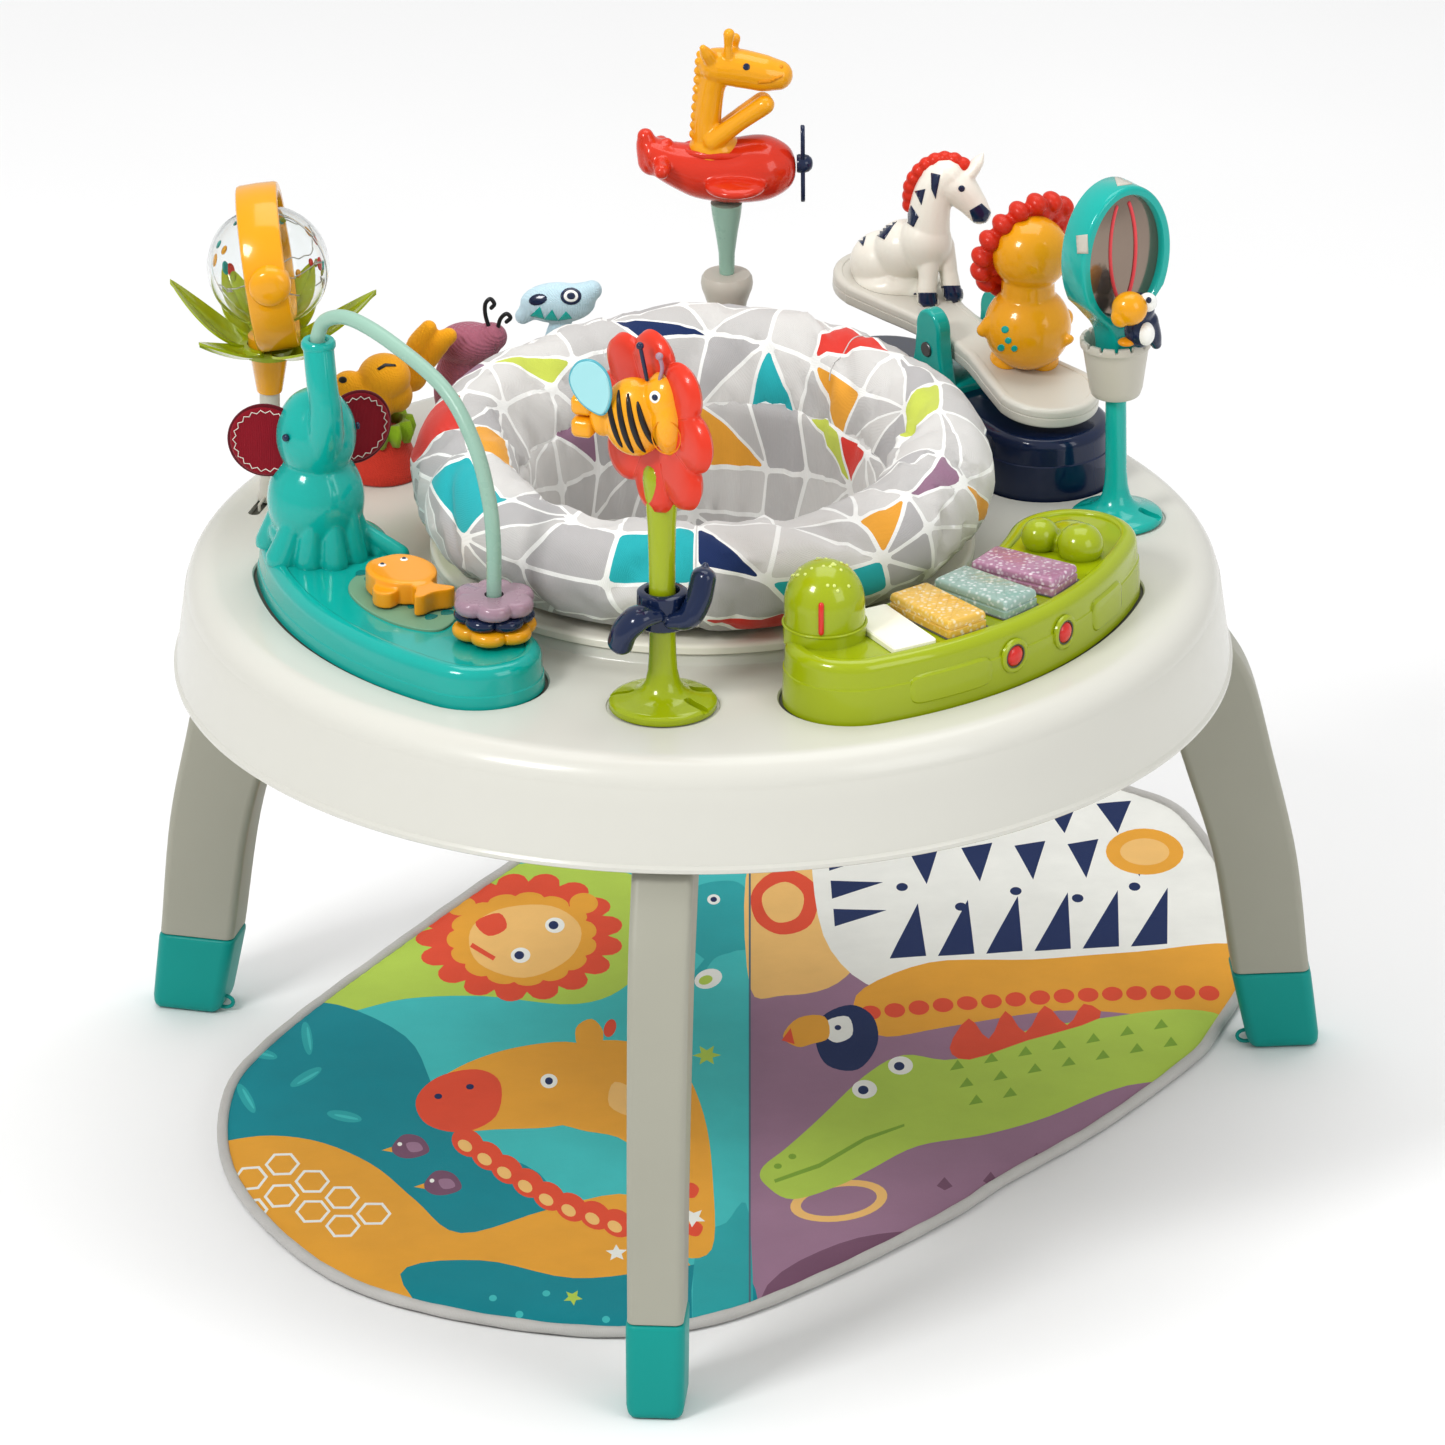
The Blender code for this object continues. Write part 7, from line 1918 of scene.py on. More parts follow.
def pp(u, v, y):
    """Layout point seen at (u, v) of the flat chart when it stands at depth y."""
    return Vector(((u - 705) / 1408, y, 0.458 + (560 - 575 * y - v) / 1296))


def pball(u, v, y, r, seg=36, rings=24):
    return ball(pp(u, v, y), r if isinstance(r, tuple) else (r, r, r), seg, rings)


def ptube(pts, r, seg=20, per=6, flat=1.0):
    path = spline([pp(*p) for p in pts], per, False)
    if isinstance(r, (list, tuple)):
        xs = np.linspace(0, len(r) - 1, len(path))
        r = [float(q) for q in np.interp(xs, range(len(r)), r)]
    return tube(path, r, seg, flat=flat)


def tree_of(me):
    return BVHTree.FromPolygons([v.co.copy() for v in me.vertices], [tuple(p.vertices) for p in me.polygons])


EYE_DIR = Vector((0, 1, -575 / 1296)).normalized()


def paint(name, tree, loops, y0, material, body='table', lift=0.0005, grid=0.0022):
    """Thin coloured patches laid onto a surface; the outlines are on the flat chart."""
    vs_all, fs_all = [], []
    for loop in loops:
        loop = ccw([((u - 705) / 1408, -(v) / 1296) for u, v in loop])
        lo_, hi_ = np.min(loop, axis=0), np.max(loop, axis=0)
        gx_, gy_ = np.meshgrid(np.arange(lo_[0], hi_[0], grid), np.arange(lo_[1], hi_[1], grid))
        k_ = in_poly(gx_.ravel(), gy_.ravel(), loop)
        pts_ = list(zip(gx_.ravel()[k_].tolist(), gy_.ravel()[k_].tolist()))
        d_ = dense(loop, grid)
        vs_, _, fs_, *_r = delaunay_2d_cdt([Vector(p) for p in pts_ + d_], [(len(pts_) + i, len(pts_) + (i + 1) % len(d_)) for i in range(len(d_))], [], 0, 1e-6, False)
        hits = {}
        for i, p in enumerate(vs_):
            s_ = pp(p.x * 1408 + 705, -p.y * 1296, y0) - EYE_DIR * 0.4
            h, n_, _, _ = tree.ray_cast(s_, EYE_DIR)
            if h is not None:
                hits[i] = (h, n_)
        keep_ = []
        for f in fs_:
            if len(f) != 3 or any(i not in hits for i in f):
                continue
            c_ = sum((vs_[i] for i in f), Vector((0, 0))) / 3
            if not inside((c_.x, c_.y), loop):
                continue
            q_ = [hits[i][0] for i in f]
            if max((q_[0] - q_[1]).length, (q_[1] - q_[2]).length, (q_[2] - q_[0]).length) > grid * 5:
                continue
            keep_.append(f)
        used_ = sorted({i for f in keep_ for i in f})
        o_ = len(vs_all)
        mp = {i: o_ + k for k, i in enumerate(used_)}
        m_ = len(used_)
        vs_all += [hits[i][0] + hits[i][1] * lift for i in used_] + [hits[i][0] - hits[i][1] * 0.0012 for i in used_]
        seen_ = set()
        for f in keep_:
            a_, b_, c_ = (mp[i] for i in f)
            if (vs_all[b_] - vs_all[a_]).cross(vs_all[c_] - vs_all[a_]).dot(EYE_DIR) > 0:
                b_, c_ = c_, b_
            fs_all += [(a_, b_, c_), (c_ + m_, b_ + m_, a_ + m_)]
            seen_.update([(a_, b_), (b_, c_), (c_, a_)])
        fs_all += [(b_, a_, a_ + m_, b_ + m_) for a_, b_ in seen_ if (b_, a_) not in seen_]
    if fs_all:
        return piece(name, (vs_all, fs_all), material, body=body, sharp=None, fix=False)


def disc2(u, v, a, b=None, n=20, turn=0.0):
    b = a if b is None else b
    t = radians(turn)
    return [(u + a * cos(2 * pi * k / n) * cos(t) - b * sin(2 * pi * k / n) * sin(t), v + a * cos(2 * pi * k / n) * sin(t) + b * sin(2 * pi * k / n) * cos(t))
            for k in range(n)]


# ---------------------------------------------------------------- mirror toy
mx, my, MIRROR_A = 0.293, 0.061, radians(38)
ms = piece('mirror_stalk_look', put(lathe([(0.0, TRAY_TOP + 0.0003), (0.0328, TRAY_TOP + 0.0003), (0.0332, 0.4595), (0.0326, 0.4618), (0.0305, 0.4636), (0.0240, 0.4652),
                                           (0.0170, 0.4680), (0.0125, 0.4720), (0.0100, 0.4770), (0.0084, 0.4850), (0.0076, 0.4960), (0.0074, 0.5540), (0.0, 0.5540)], 64),
                                   (mx, my, 0)), M_MIRRORT, replaces='mirror_stalk', sharp=35)
for a0, w in ((-20, 0.0070), (160, 0.0045)):
    d = Vector((cos(radians(a0)), sin(radians(a0)), 0))
    boolean(ms, put(slab(rounded_rect(0.018, w, 0.002), [(0.4612, 0.0), (0.49, 0.0)]), basis(Vector((mx, my, 0)) + d * 0.0260, (0, 0, 1), d)))


def basket_sec(a):
    k = abs(((a * 14 / (2 * pi)) % 1.0) - 0.5) * 2
    nt = 0.0030 if k < 0.22 else 0.0
    return [(0.0, 0.5543), (0.0168, 0.5543), (0.0174, 0.5550), (0.0190, 0.5600), (0.0228, 0.5860), (0.0236, 0.5900), (0.0251, 0.5916), (0.0254, 0.5935), (0.0254, 0.5965 - nt),
            (0.0249, 0.5975 - nt), (0.0226, 0.5975 - nt), (0.0220, 0.5965 - nt), (0.0206, 0.5900), (0.0168, 0.5600), (0.0, 0.5600)]


bs_r = []
NB = 196
for k in range(NB):
    a = 2 * pi * k / NB
    bs_r.append([(r * cos(a), r * sin(a), z) for r, z in basket_sec(a)[1:-1]])
cv, cf = [], []
n_s = len(bs_r[0])
for ring in bs_r:
    cv += ring
for i in range(NB):
    for j in range(n_s - 1):
        a_, b_ = i * n_s + j, ((i + 1) % NB) * n_s + j
        cf.append((a_, b_, b_ + 1, a_ + 1))
cv += [(0, 0, 0.5543), (0, 0, 0.5600)]
for i in range(NB):
    a_, b_ = i * n_s, ((i + 1) % NB) * n_s
    cf.append((b_, a_, len(cv) - 2))
    cf.append((a_ + n_s - 1, b_ + n_s - 1, len(cv) - 1))
piece('mirror_basket_look', put(([Vector(p) for p in cv], cf), (mx, my, 0)), M_OFFWHITE, replaces='mirror_basket', sharp=32)
mn = Vector((sin(MIRROR_A), -cos(MIRROR_A), 0))
mm = basis((mx, my, 0.6640), mn, (0, 0, 1))


def teardrop(rh, rw, n=64):
    pts = [(rh * cos(radians(-122 + 244 * k / n)) - 0.003, rw * sin(radians(-122 + 244 * k / n))) for k in range(n + 1)]
    side = spline([Vector(p) for p in ((-0.0360, 0.0300), (-0.0460, 0.0215), (-0.0560, 0.0135), (-0.0680, 0.0100), (-0.0955, 0.0088))], 6, False)[2:]
    right = [tuple(p) for p in side]
    return ccw(pts + right + [(x, -y) for x, y in right[::-1]])


M_ARC = plastic('arc_print', (236, 84, 92), 0.3, grain=0.1)
fl = teardrop(0.0545, 0.0405)
lv = [(-0.0130, 0.0040), (-0.0128, 0.0022), (-0.0120, 0.0008), (-0.0108, 0.0)] + [(0.0060, 0.0), (0.0100, 0.0)] + [(0.0100 + 0.0030 * sin(pi / 2 * k / 5), 0.0028 * (1 - cos(pi / 2 * k / 5))) for k in range(1, 6)]
frame_ob = piece('mirror_frame_look', put(slab(fl, lv), mm), M_MIRRORT, body='mirror_head', replaces='mirror_frame', sharp=40)
oval_l = [(0.0465 * cos(2 * pi * k / 72) - 0.002, 0.0325 * sin(2 * pi * k / 72)) for k in range(72)]
boolean(frame_ob, put(slab(oval_l, [(0.0058, 0.0), (0.0110, 0.0), (0.0145, -0.0022), (0.03, -0.0022)]), mm))
frame_ob.data.shade_smooth()
frame_ob.data.set_sharp_from_angle(angle=radians(38))
gm = bpy.data.materials.new('mirror_film')
gm.use_nodes = True
gb = gm.node_tree.nodes['Principled BSDF']
gb.inputs['Metallic'].default_value = 0.75
gb.inputs['Roughness'].default_value = 0.13
gb.inputs['Base Color'].default_value = (*lin((150, 134, 122))[:3], 1)
gn = gm.node_tree.nodes.new('ShaderNodeTexNoise')
gn.inputs['Scale'].default_value = 26.0
gt = gm.node_tree.nodes.new('ShaderNodeTexCoord')
gu = gm.node_tree.nodes.new('ShaderNodeBump')
gu.inputs['Strength'].default_value = 0.25
gu.inputs['Distance'].default_value = 0.0008
gm.node_tree.links.new(gt.outputs['Object'], gn.inputs['Vector'])
gm.node_tree.links.new(gn.outputs['Fac'], gu.inputs['Height'])
gm.node_tree.links.new(gu.outputs['Normal'], gb.inputs['Normal'])
piece('mirror_glass_look', put(slab([(x, y) for x, y in oval_l], [(0.0062, 0.0), (0.0078, 0.0), (0.0080, 0.0004)]), mm), gm, body='mirror_head', replaces='mirror_glass', sharp=40)
for k, y_ in enumerate((-0.0075, 0.0075)):
    pts = []
    for j in range(25):
        t = -0.85 + 1.7 * j / 24
        pts.append(mm @ Vector((0.003 + 0.034 * sin(t) / sin(0.85), y_ * (cos(t) ** 1.3) * 1.9 - y_ * 0.35, 0.0080)))
    piece(f'mirror_arc_{k}', tube(pts, 0.0014, 12), M_ARC, body='mirror_head', sharp=None)
ft = tree_of(frame_ob.data.copy())
inv_l = LAYOUT.inverted()
fm_me = frame_ob.data.copy()
fm_me.transform(inv_l)
ft = tree_of(fm_me)
paint('frame_patches', ft, [[(1078, 244), (1089, 243), (1089, 262), (1079, 262)], [(1117, 186), (1134, 184), (1134, 193), (1119, 195)], [(1166, 196), (1173, 204), (1167, 212), (1160, 204)]],
      0.06, M_OFFWHITE, body='mirror_head')
ty = my - 0.030
DV = 7
TB = [pball(1140, 338, ty, (0.0110, 0.0100, 0.0135)), pball(1138, 317, ty + 0.002, (0.0125, 0.0115, 0.0120)), ptube([(1148, 329, ty + 0.004), (1154, 344, ty + 0.006), (1157, 352, ty + 0.008)], [0.008, 0.006, 0.004])]
me = melt(TB, voxel=0.0010, smooth=4)
place('toucan_look', me, M_NAVY, 'mirror_head', 'toucan', sharp=50)
me2 = melt([pball(1130, 317, ty - 0.009, (0.0128, 0.0110, 0.0125)), pball(1121, 325, ty - 0.012, (0.0070, 0.0065, 0.0080))], voxel=0.0009, smooth=3)
place('toucan_beak', me2, M_YELLOW, 'mirror_head', sharp=50)
piece('toucan_cheek', [pball(1148, 311, ty - 0.0045, (0.0068, 0.0055, 0.0072), 24, 16)], M_EYEW, body='mirror_head', sharp=None)
piece('toucan_belly', [pball(1146, 342, ty - 0.0060, (0.0065, 0.0055, 0.0090), 24, 16)], M_EYEW, body='mirror_head', sharp=None)
piece('toucan_eye', [pball(1149, 309, ty - 0.0098, (0.0020, 0.0014, 0.0024), 16, 12)], M_NAVY, body='mirror_head', sharp=None)
piece('toucan_foot', [pball(1127, 350, ty - 0.004, (0.0062, 0.0055, 0.0030), 20, 12)], M_YELLOW_D, body='mirror_head', sharp=None)

# ---------------------------------------------------------------- seesaw toy
base_look('seesaw_base_look', 0.283, 30, 62, DECK_ROCK, M_NAVY, 'seesaw_base', dip=0.0)
ROCK, ROCK_Z, ROCK_DIR, ROCK_TILT = (0.190, 0.2135), 0.533, Vector((-0.586, 0.810, 0)).normalized(), radians(7)
rx, ry = ROCK
side_v = Vector((ROCK_DIR.y, -ROCK_DIR.x, 0))
rm = basis((rx, ry, 0), (0, 0, 1), ROCK_DIR)
beam_m = basis((rx, ry, ROCK_Z), (0, 0, 1), ROCK_DIR) @ Matrix.Rotation(-ROCK_TILT, 4, 'Y')
half = 0.0955
bl = []
for k in range(33):
    t = -pi / 2 * 1.12 + pi * 1.12 * k / 32
    bl.append((half + 0.0375 * cos(t), 0.0375 * sin(t)))
bl += [(0.058, 0.0290), (0.030, 0.0215), (0.0, 0.0200), (-0.030, 0.0215), (-0.058, 0.0290)]
for k in range(33):
    t = pi - pi / 2 * 1.12 + pi * 1.12 * k / 32
    bl.append((-half + 0.0375 * cos(t), 0.0375 * sin(t)))
bl += [(-0.058, -0.0290), (-0.030, -0.0215), (0.0, -0.0200), (0.030, -0.0215), (0.058, -0.0290)]
bl = ccw(smooth_loop(bl, 2))
lv = [(-0.0074, 0.0034), (-0.0072, 0.0016), (-0.0062, 0.0004), (-0.0050, 0.0), (0.0000, 0.0), (0.0004, 0.0005), (0.0008, 0.0006), (0.0012, 0.0005), (0.0016, 0.0), (0.0046, 0.0),
      (0.0060, 0.0005), (0.0070, 0.0018), (0.0074, 0.0034), (0.0072, 0.0060), (0.0066, 0.0066), (0.0064, 0.0080)]
beam_ob = piece('seesaw_beam_look', put(loft([[(x, y, z) for x, y in inset(bl, d)] for z, d in lv]), beam_m), M_BEAM, body='seesaw', replaces='seesaw_beam', sharp=35)
pin_m = basis((rx, ry, ROCK_Z), side_v)
boolean(beam_ob, put(lathe([(0.0, -0.06), (0.0034, -0.06), (0.0034, 0.06), (0.0, 0.06)], 24), pin_m))
piece('seesaw_pin_look', put(lathe([(0.0, -0.0360), (0.0050, -0.0360), (0.0055, -0.0354), (0.0055, -0.0345), (0.0030, -0.0345), (0.0030, 0.0345), (0.0055, 0.0345), (0.0055, 0.0354),
                                    (0.0050, 0.0360), (0.0, 0.0360)], 32), pin_m), M_SCREW, replaces='seesaw_pin', sharp=35)
ear = [(0.022, DECK_ROCK - 0.001), (0.0185, 0.5150), (0.0150, 0.5300), (0.0135, 0.5440)] + [(0.0135 * cos(t), 0.5480 + 0.0150 * sin(t)) for t in [pi * k / 18 for k in range(19)]] + \
      [(-0.0135, 0.5440), (-0.0150, 0.5300), (-0.0185, 0.5150), (-0.022, DECK_ROCK - 0.001)]
parts = []
for s in (-1, 1):
    lo_, hi_ = sorted((s * 0.0225, s * 0.0345))
    parts.append(put(loft([[(x, y, z) for x, z in ear] for y in (lo_, hi_)]), rm))
piece('bracket_ears', parts, M_TEAL, replaces='seesaw_bracket', sharp=40, bevel=0.0022)
piece('bracket_plate', put(slab(rounded_rect(0.046, 0.071, 0.006, 6), [(DECK_ROCK - 0.001, 0.0), (0.5070, 0.0), (0.5082, 0.0004), (0.5090, 0.0016)]), rm), M_TEAL, sharp=35)


# white grazer with stripes, sitting on the far end
zy = 0.283
Z = [pball(893, 262, zy + 0.004, (0.0245, 0.0220, 0.0235)), pball(914, 250, zy - 0.006, (0.0225, 0.0195, 0.0225)), pball(934, 243, zy - 0.016, (0.0190, 0.0175, 0.0220)),
     pball(905, 279, zy, (0.0310, 0.0260, 0.0130)),
     ptube([(936, 246, zy - 0.016), (938, 214, zy - 0.014), (944, 190, zy - 0.012), (955, 177, zy - 0.012)], [0.0165, 0.0150, 0.0140, 0.0135]),
     ptube([(950, 181, zy - 0.010), (966, 188, zy - 0.013), (980, 203, zy - 0.016), (988, 214, zy - 0.018)], [0.0150, 0.0140, 0.0105, 0.0085]),
     ptube([(938, 250, 0.262), (936, 280, 0.254), (935, 300, 0.250), (937, 304, 0.2495)], [0.0090, 0.0068, 0.0072, 0.0074]),
     ptube([(951, 246, 0.270), (957, 274, 0.262), (960, 292, 0.2575), (962, 296, 0.257)], [0.0088, 0.0066, 0.0070, 0.0072]),
     ptube([(898, 287, zy - 0.016), (915, 292, zy - 0.018), (929, 290, zy - 0.018)], [0.0090, 0.0075, 0.0070]),
     ptube([(968, 184, zy - 0.010), (980, 172, zy - 0.010), (988, 162, zy - 0.010), (992, 155, zy - 0.010)], [0.0076, 0.0092, 0.0066, 0.0016], flat=0.6),
     ptube([(873, 268, zy + 0.010), (866, 277, zy + 0.012), (865, 288, zy + 0.012)], [0.0050, 0.0034, 0.0024])]
me = melt(Z, voxel=0.0011, smooth=4, planes=[(beam_m @ Vector((0, 0, 0.0066)), -(beam_m.to_3x3() @ Vector((0, 0, 1))))])
zt = tree_of(me)
place('zebra_look', me, M_WHITE, 'seesaw', 'zebra', sharp=50)
tri = lambda a, b, c: [a, b, c]
paint('zebra_stripes', zt, [
    [(866, 238), (878, 226), (872, 246)], [(886, 236), (892, 216), (913, 213), (902, 226), (893, 240)], [(914, 222), (920, 206), (927, 218), (922, 228)],
    [(924, 192), (934, 190), (930, 206)], [(940, 174), (949, 176), (944, 200), (940, 190)]], zy, M_NAVY, body='seesaw')
paint('zebra_muzzle', zt, [[(978, 212), (990, 205), (999, 214), (994, 224), (982, 223)]], zy, M_NAVY, body='seesaw', grid=0.0016)
paint('zebra_hooves', zt, [[(922, 294), (948, 294), (950, 316), (920, 316)], [(950, 287), (974, 287), (976, 308), (950, 308)]], zy, M_NAVY, body='seesaw', grid=0.0016)
paint('zebra_eye', zt, [disc2(970, 190, 3.2)], zy, M_NAVY, body='seesaw', grid=0.0012)
mane = []
path = spline([pp(*p) for p in ((919, 205, zy - 0.006), (920, 186, zy - 0.006), (930, 170, zy - 0.007), (945, 161, zy - 0.008), (960, 160, zy - 0.009), (972, 166, zy - 0.010))], 6, False)
acc = [0.0]
for a_, b_ in zip(path, path[1:]):
    acc.append(acc[-1] + (b_ - a_).length)
for k in range(10):
    s_ = acc[-1] * k / 9
    i = min(len(path) - 2, int(np.searchsorted(acc, s_, side='right')) - 1)
    t = (s_ - acc[i]) / max(1e-9, acc[i + 1] - acc[i])
    mane.append(ball(path[i].lerp(path[i + 1], t), 0.0058, 22, 14))
me = melt(mane + [tube(path, 0.0042, 12)], voxel=0.0009, smooth=2)
place('zebra_mane', me, M_MANE, 'seesaw', sharp=50)

# round yellow one with a scalloped mane on the near end, seen from behind
ly = 0.163
L = [pball(1033, 330, ly, (0.0310, 0.0300, 0.0315)), pball(1036, 257, ly, (0.0278, 0.0265, 0.0275)), ptube([(1033, 330, ly), (1034, 262, ly)], [0.020, 0.0185], per=3),
     ptube([(1012, 326, ly - 0.006), (998, 329, ly - 0.006), (989, 334, ly - 0.006)], [0.0105, 0.0085, 0.0052]),
     ptube([(1055, 318, ly + 0.010), (1068, 322, ly + 0.014)], [0.0105, 0.0080], per=3),
     pball(1012, 362, ly + 0.012, (0.0120, 0.0180, 0.0080)), pball(1048, 364, ly + 0.012, (0.0120, 0.0180, 0.0080)),
     ptube([(1058, 350, ly - 0.010), (1074, 344, ly - 0.016)], [0.0055, 0.0035], per=3)]
me = melt(L, voxel=0.0012, smooth=4, planes=[(beam_m @ Vector((0, 0, 0.0066)), -(beam_m.to_3x3() @ Vector((0, 0, 1))))])
lt = tree_of(me)
place('lion_look', me, M_YELLOW, 'seesaw', 'lion_body', sharp=50)
paint('lion_dots', lt, [disc2(1010, 334, 3.6), disc2(1013, 345, 3.2), disc2(1006, 352, 3.4), disc2(1019, 353, 3.0)], ly, M_TEAL, body='seesaw', grid=0.0012)
mane_c = pp(1031, 248, ly + 0.019)
mane_d = (beam_m.to_3x3() @ Vector((1, 0, 0.25))).normalized()
rings = []
NM = 196
for q, z in ((0.0, -0.0068), (0.70, -0.0068), (0.90, -0.0060), (0.975, -0.0040), (1.0, 0.0), (0.975, 0.0040), (0.90, 0.0060), (0.70, 0.0068), (0.0, 0.0068)):
    ring = []
    for k in range(NM):
        t = 2 * pi * k / NM
        r = 0.0385 + 0.0048 * abs(cos(8 * t)) ** 0.6
        ring.append((max(q, 0.003) * r * cos(t), max(q, 0.003) * r * sin(t), z * (0.88 + 0.12 * abs(cos(8 * t)))))
    rings.append(ring)
mane_m = basis(mane_c, mane_d)
bumps = [put(ball((0.0385 * cos(2 * pi * k / 16), 0.0385 * sin(2 * pi * k / 16), 0), (0.0068, 0.0068, 0.0088), 22, 14), mane_m) for k in range(16)]
bumps += [put(ball((0.0290 * cos(2 * pi * (k + 0.5) / 14), 0.0290 * sin(2 * pi * (k + 0.5) / 14), -0.0040), (0.0050, 0.0050, 0.0050), 20, 12), mane_m) for k in range(14)]
me = melt([put(loft(rings), mane_m)] + bumps, voxel=0.0010, smooth=2)
place('lion_mane_look', me, M_MANE, 'seesaw', 'lion_mane', sharp=50)

# ----------------------------------------------------------------- plane toy
px_, py_ = 0.0216, 0.281
PLANE_Z = 0.640
piece('plane_post_look', put(lathe([(0.0, TRAY_TOP + 0.0003), (0.0336, TRAY_TOP + 0.0003), (0.0340, 0.4600), (0.0334, 0.4636), (0.0300, 0.4660), (0.0230, 0.4690), (0.0185, 0.4740),
                                    (0.0155, 0.4820), (0.0136, 0.4920), (0.0126, 0.5080), (0.0127, 0.5250), (0.0142, 0.5340), (0.0162, 0.5400), (0.0180, 0.5450), (0.0186, 0.5490),
                                    (0.0181, 0.5530), (0.0165, 0.5555), (0.0120, 0.5562), (0.0, 0.5562)], 64), (px_, py_, 0)), M_OFFWHITE, replaces='plane_post', sharp=35)
piece('plane_stalk_look', put(lathe([(0.0, 0.5563), (0.0052, 0.5563), (0.0055, 0.5600), (0.0058, 0.5720), (0.0080, 0.5880), (0.0104, 0.6020), (0.0112, 0.6105), (0.0, 0.6120)], 48),
                              (px_, py_, 0)), M_MINT, replaces='plane_stalk', sharp=35)
hull = []
secs = [(651, 149, 6), (653, 149, 13), (658, 151, 18), (668, 156, 21), (685, 163, 24), (705, 168, 28), (735, 169, 32), (760, 167, 34), (777, 166, 32.5), (790, 166, 27), (799, 166, 20), (803.5, 166.5, 12),
        (805, 167, 5)]
fine = spline([Vector((a, b, c)) for a, b, c in secs], 4, False)
for p in fine:
    c = pp(p.x, p.y, py_)
    r = p.z / math.hypot(1296, 575)
    hull.append([(c.x, c.y + r * 1.02 * cos(t), c.z + r * sin(t)) for t in [2 * pi * k / 48 for k in range(48)]])
PB = [loft(hull), ptube([(662, 158, py_), (657, 142, py_), (655, 134, py_)], [0.0110, 0.0085, 0.0062]),
      ptube([(664, 154, py_), (672, 146, py_), (676, 142, py_)], [0.0100, 0.0072, 0.0050]),
      tube([Vector((px_ - 0.046, py_ - 0.026, PLANE_Z + 0.006)), Vector((px_ - 0.046, py_ + 0.026, PLANE_Z + 0.006))], 0.0058, 18),
      ball((px_ + 0.006, py_ - 0.026, PLANE_Z - 0.006), (0.0220, 0.0200, 0.0062), 32, 20), ball((px_ + 0.006, py_ + 0.026, PLANE_Z - 0.006), (0.0220, 0.0200, 0.0062), 32, 20)]
me = melt(PB, voxel=0.0012, smooth=4)
plane_ob = place('plane_look', me, M_RED, 'plane', 'plane_body', sharp=50)
cp = pp(731, 141, py_)
piece('plane_cockpit', put(ring_sweep(64, lambda a: [(0.0265 + 0.0028 * cos(t), 0.0028 * sin(t)) for t in [2 * pi * j / 12 for j in range(12)]]),
                           Matrix.Translation(cp + Vector((0.003, 0, -0.0045))) @ Matrix.Diagonal((1.15, 0.58, 1, 1))), M_RED, body='plane', sharp=None)
pm_ = basis((px_ + 0.0545, py_, PLANE_Z), (1, 0, 0), (0, 0, 1))
bl_ = []
for k in range(96):
    t = 2 * pi * k / 96
    r = 0.0060 + 0.0235 * abs(cos(t)) ** 9
    bl_.append((r * cos(t), r * sin(t)))
piece('propeller_look', put(slab(ccw(bl_), [(-0.0016, 0.0004), (-0.0010, 0.0), (0.0006, 0.0), (0.0014, 0.0006)]), pm_), M_NAVY, body='propeller', replaces='propeller', sharp=40)
piece('propeller_hub', put(lathe([(0.0, -0.0044), (0.0062, -0.0044), (0.0068, -0.0030), (0.0068, 0.0010), (0.0060, 0.0040), (0.0040, 0.0062), (0.0018, 0.0070), (0.0, 0.0071)], 36), pm_),
      M_NAVY, body='propeller', sharp=35)
gy_ = py_
G = [ptube([(716, 150, gy_), (717, 118, gy_), (721, 88, gy_), (727, 68, gy_)], [0.0110, 0.0098, 0.0095, 0.0105]),
     ptube([(727, 64, gy_), (750, 67, gy_), (774, 72, gy_), (787, 74, gy_)], [0.0132, 0.0140, 0.0132, 0.0112]),
     pball(741, 62, gy_, (0.0110, 0.0120, 0.0085)),
     ptube([(738, 58, gy_ - 0.007), (738, 44, gy_ - 0.007), (739, 33, gy_ - 0.007)], [0.0036, 0.0030, 0.0042]),
     ptube([(742, 60, gy_ + 0.007), (744, 46, gy_ + 0.007), (745, 37, gy_ + 0.007)], [0.0036, 0.0030, 0.0042]),
     ptube([(722, 60, gy_ - 0.006), (716, 52, gy_ - 0.010), (713, 47, gy_ - 0.012)], [0.0055, 0.0048, 0.0028]),
     ptube([(722, 60, gy_ + 0.006), (714, 56, gy_ + 0.010), (710, 52, gy_ + 0.012)], [0.0055, 0.0048, 0.0028]),
     ptube([(722, 140, gy_ - 0.009), (748, 121, gy_ - 0.011), (774, 104, gy_ - 0.012)], [0.0072, 0.0066, 0.0072]),
     ptube([(722, 136, gy_ + 0.009), (748, 116, gy_ + 0.010), (772, 100, gy_ + 0.011)], [0.0072, 0.0066, 0.0072]),
     pball(724, 148, gy_, (0.0190, 0.0160, 0.0150))]
for k in range(9):
    t = k / 8
    G.append(ptube([(718 - 9 * t, 62 + 72 * t, gy_), (709 - 9 * t + 3 * t, 60 + 72 * t, gy_)], [0.0048, 0.0034], per=2, seg=14))
me = melt(G, voxel=0.0010, smooth=3)
gt_ = tree_of(me)
place('giraffe_look', me, M_YELLOW, 'plane', 'giraffe', sharp=50)
paint('giraffe_eye', gt_, [disc2(756, 66, 3.4)], gy_, M_NAVY, body='plane', grid=0.0012)
paint('giraffe_mouth', gt_, [[(768, 80), (780, 79), (792, 74), (792, 76), (780, 82), (768, 83)], disc2(791, 66, 1.6)], gy_, M_YELLOW_D, body='plane', grid=0.0014)

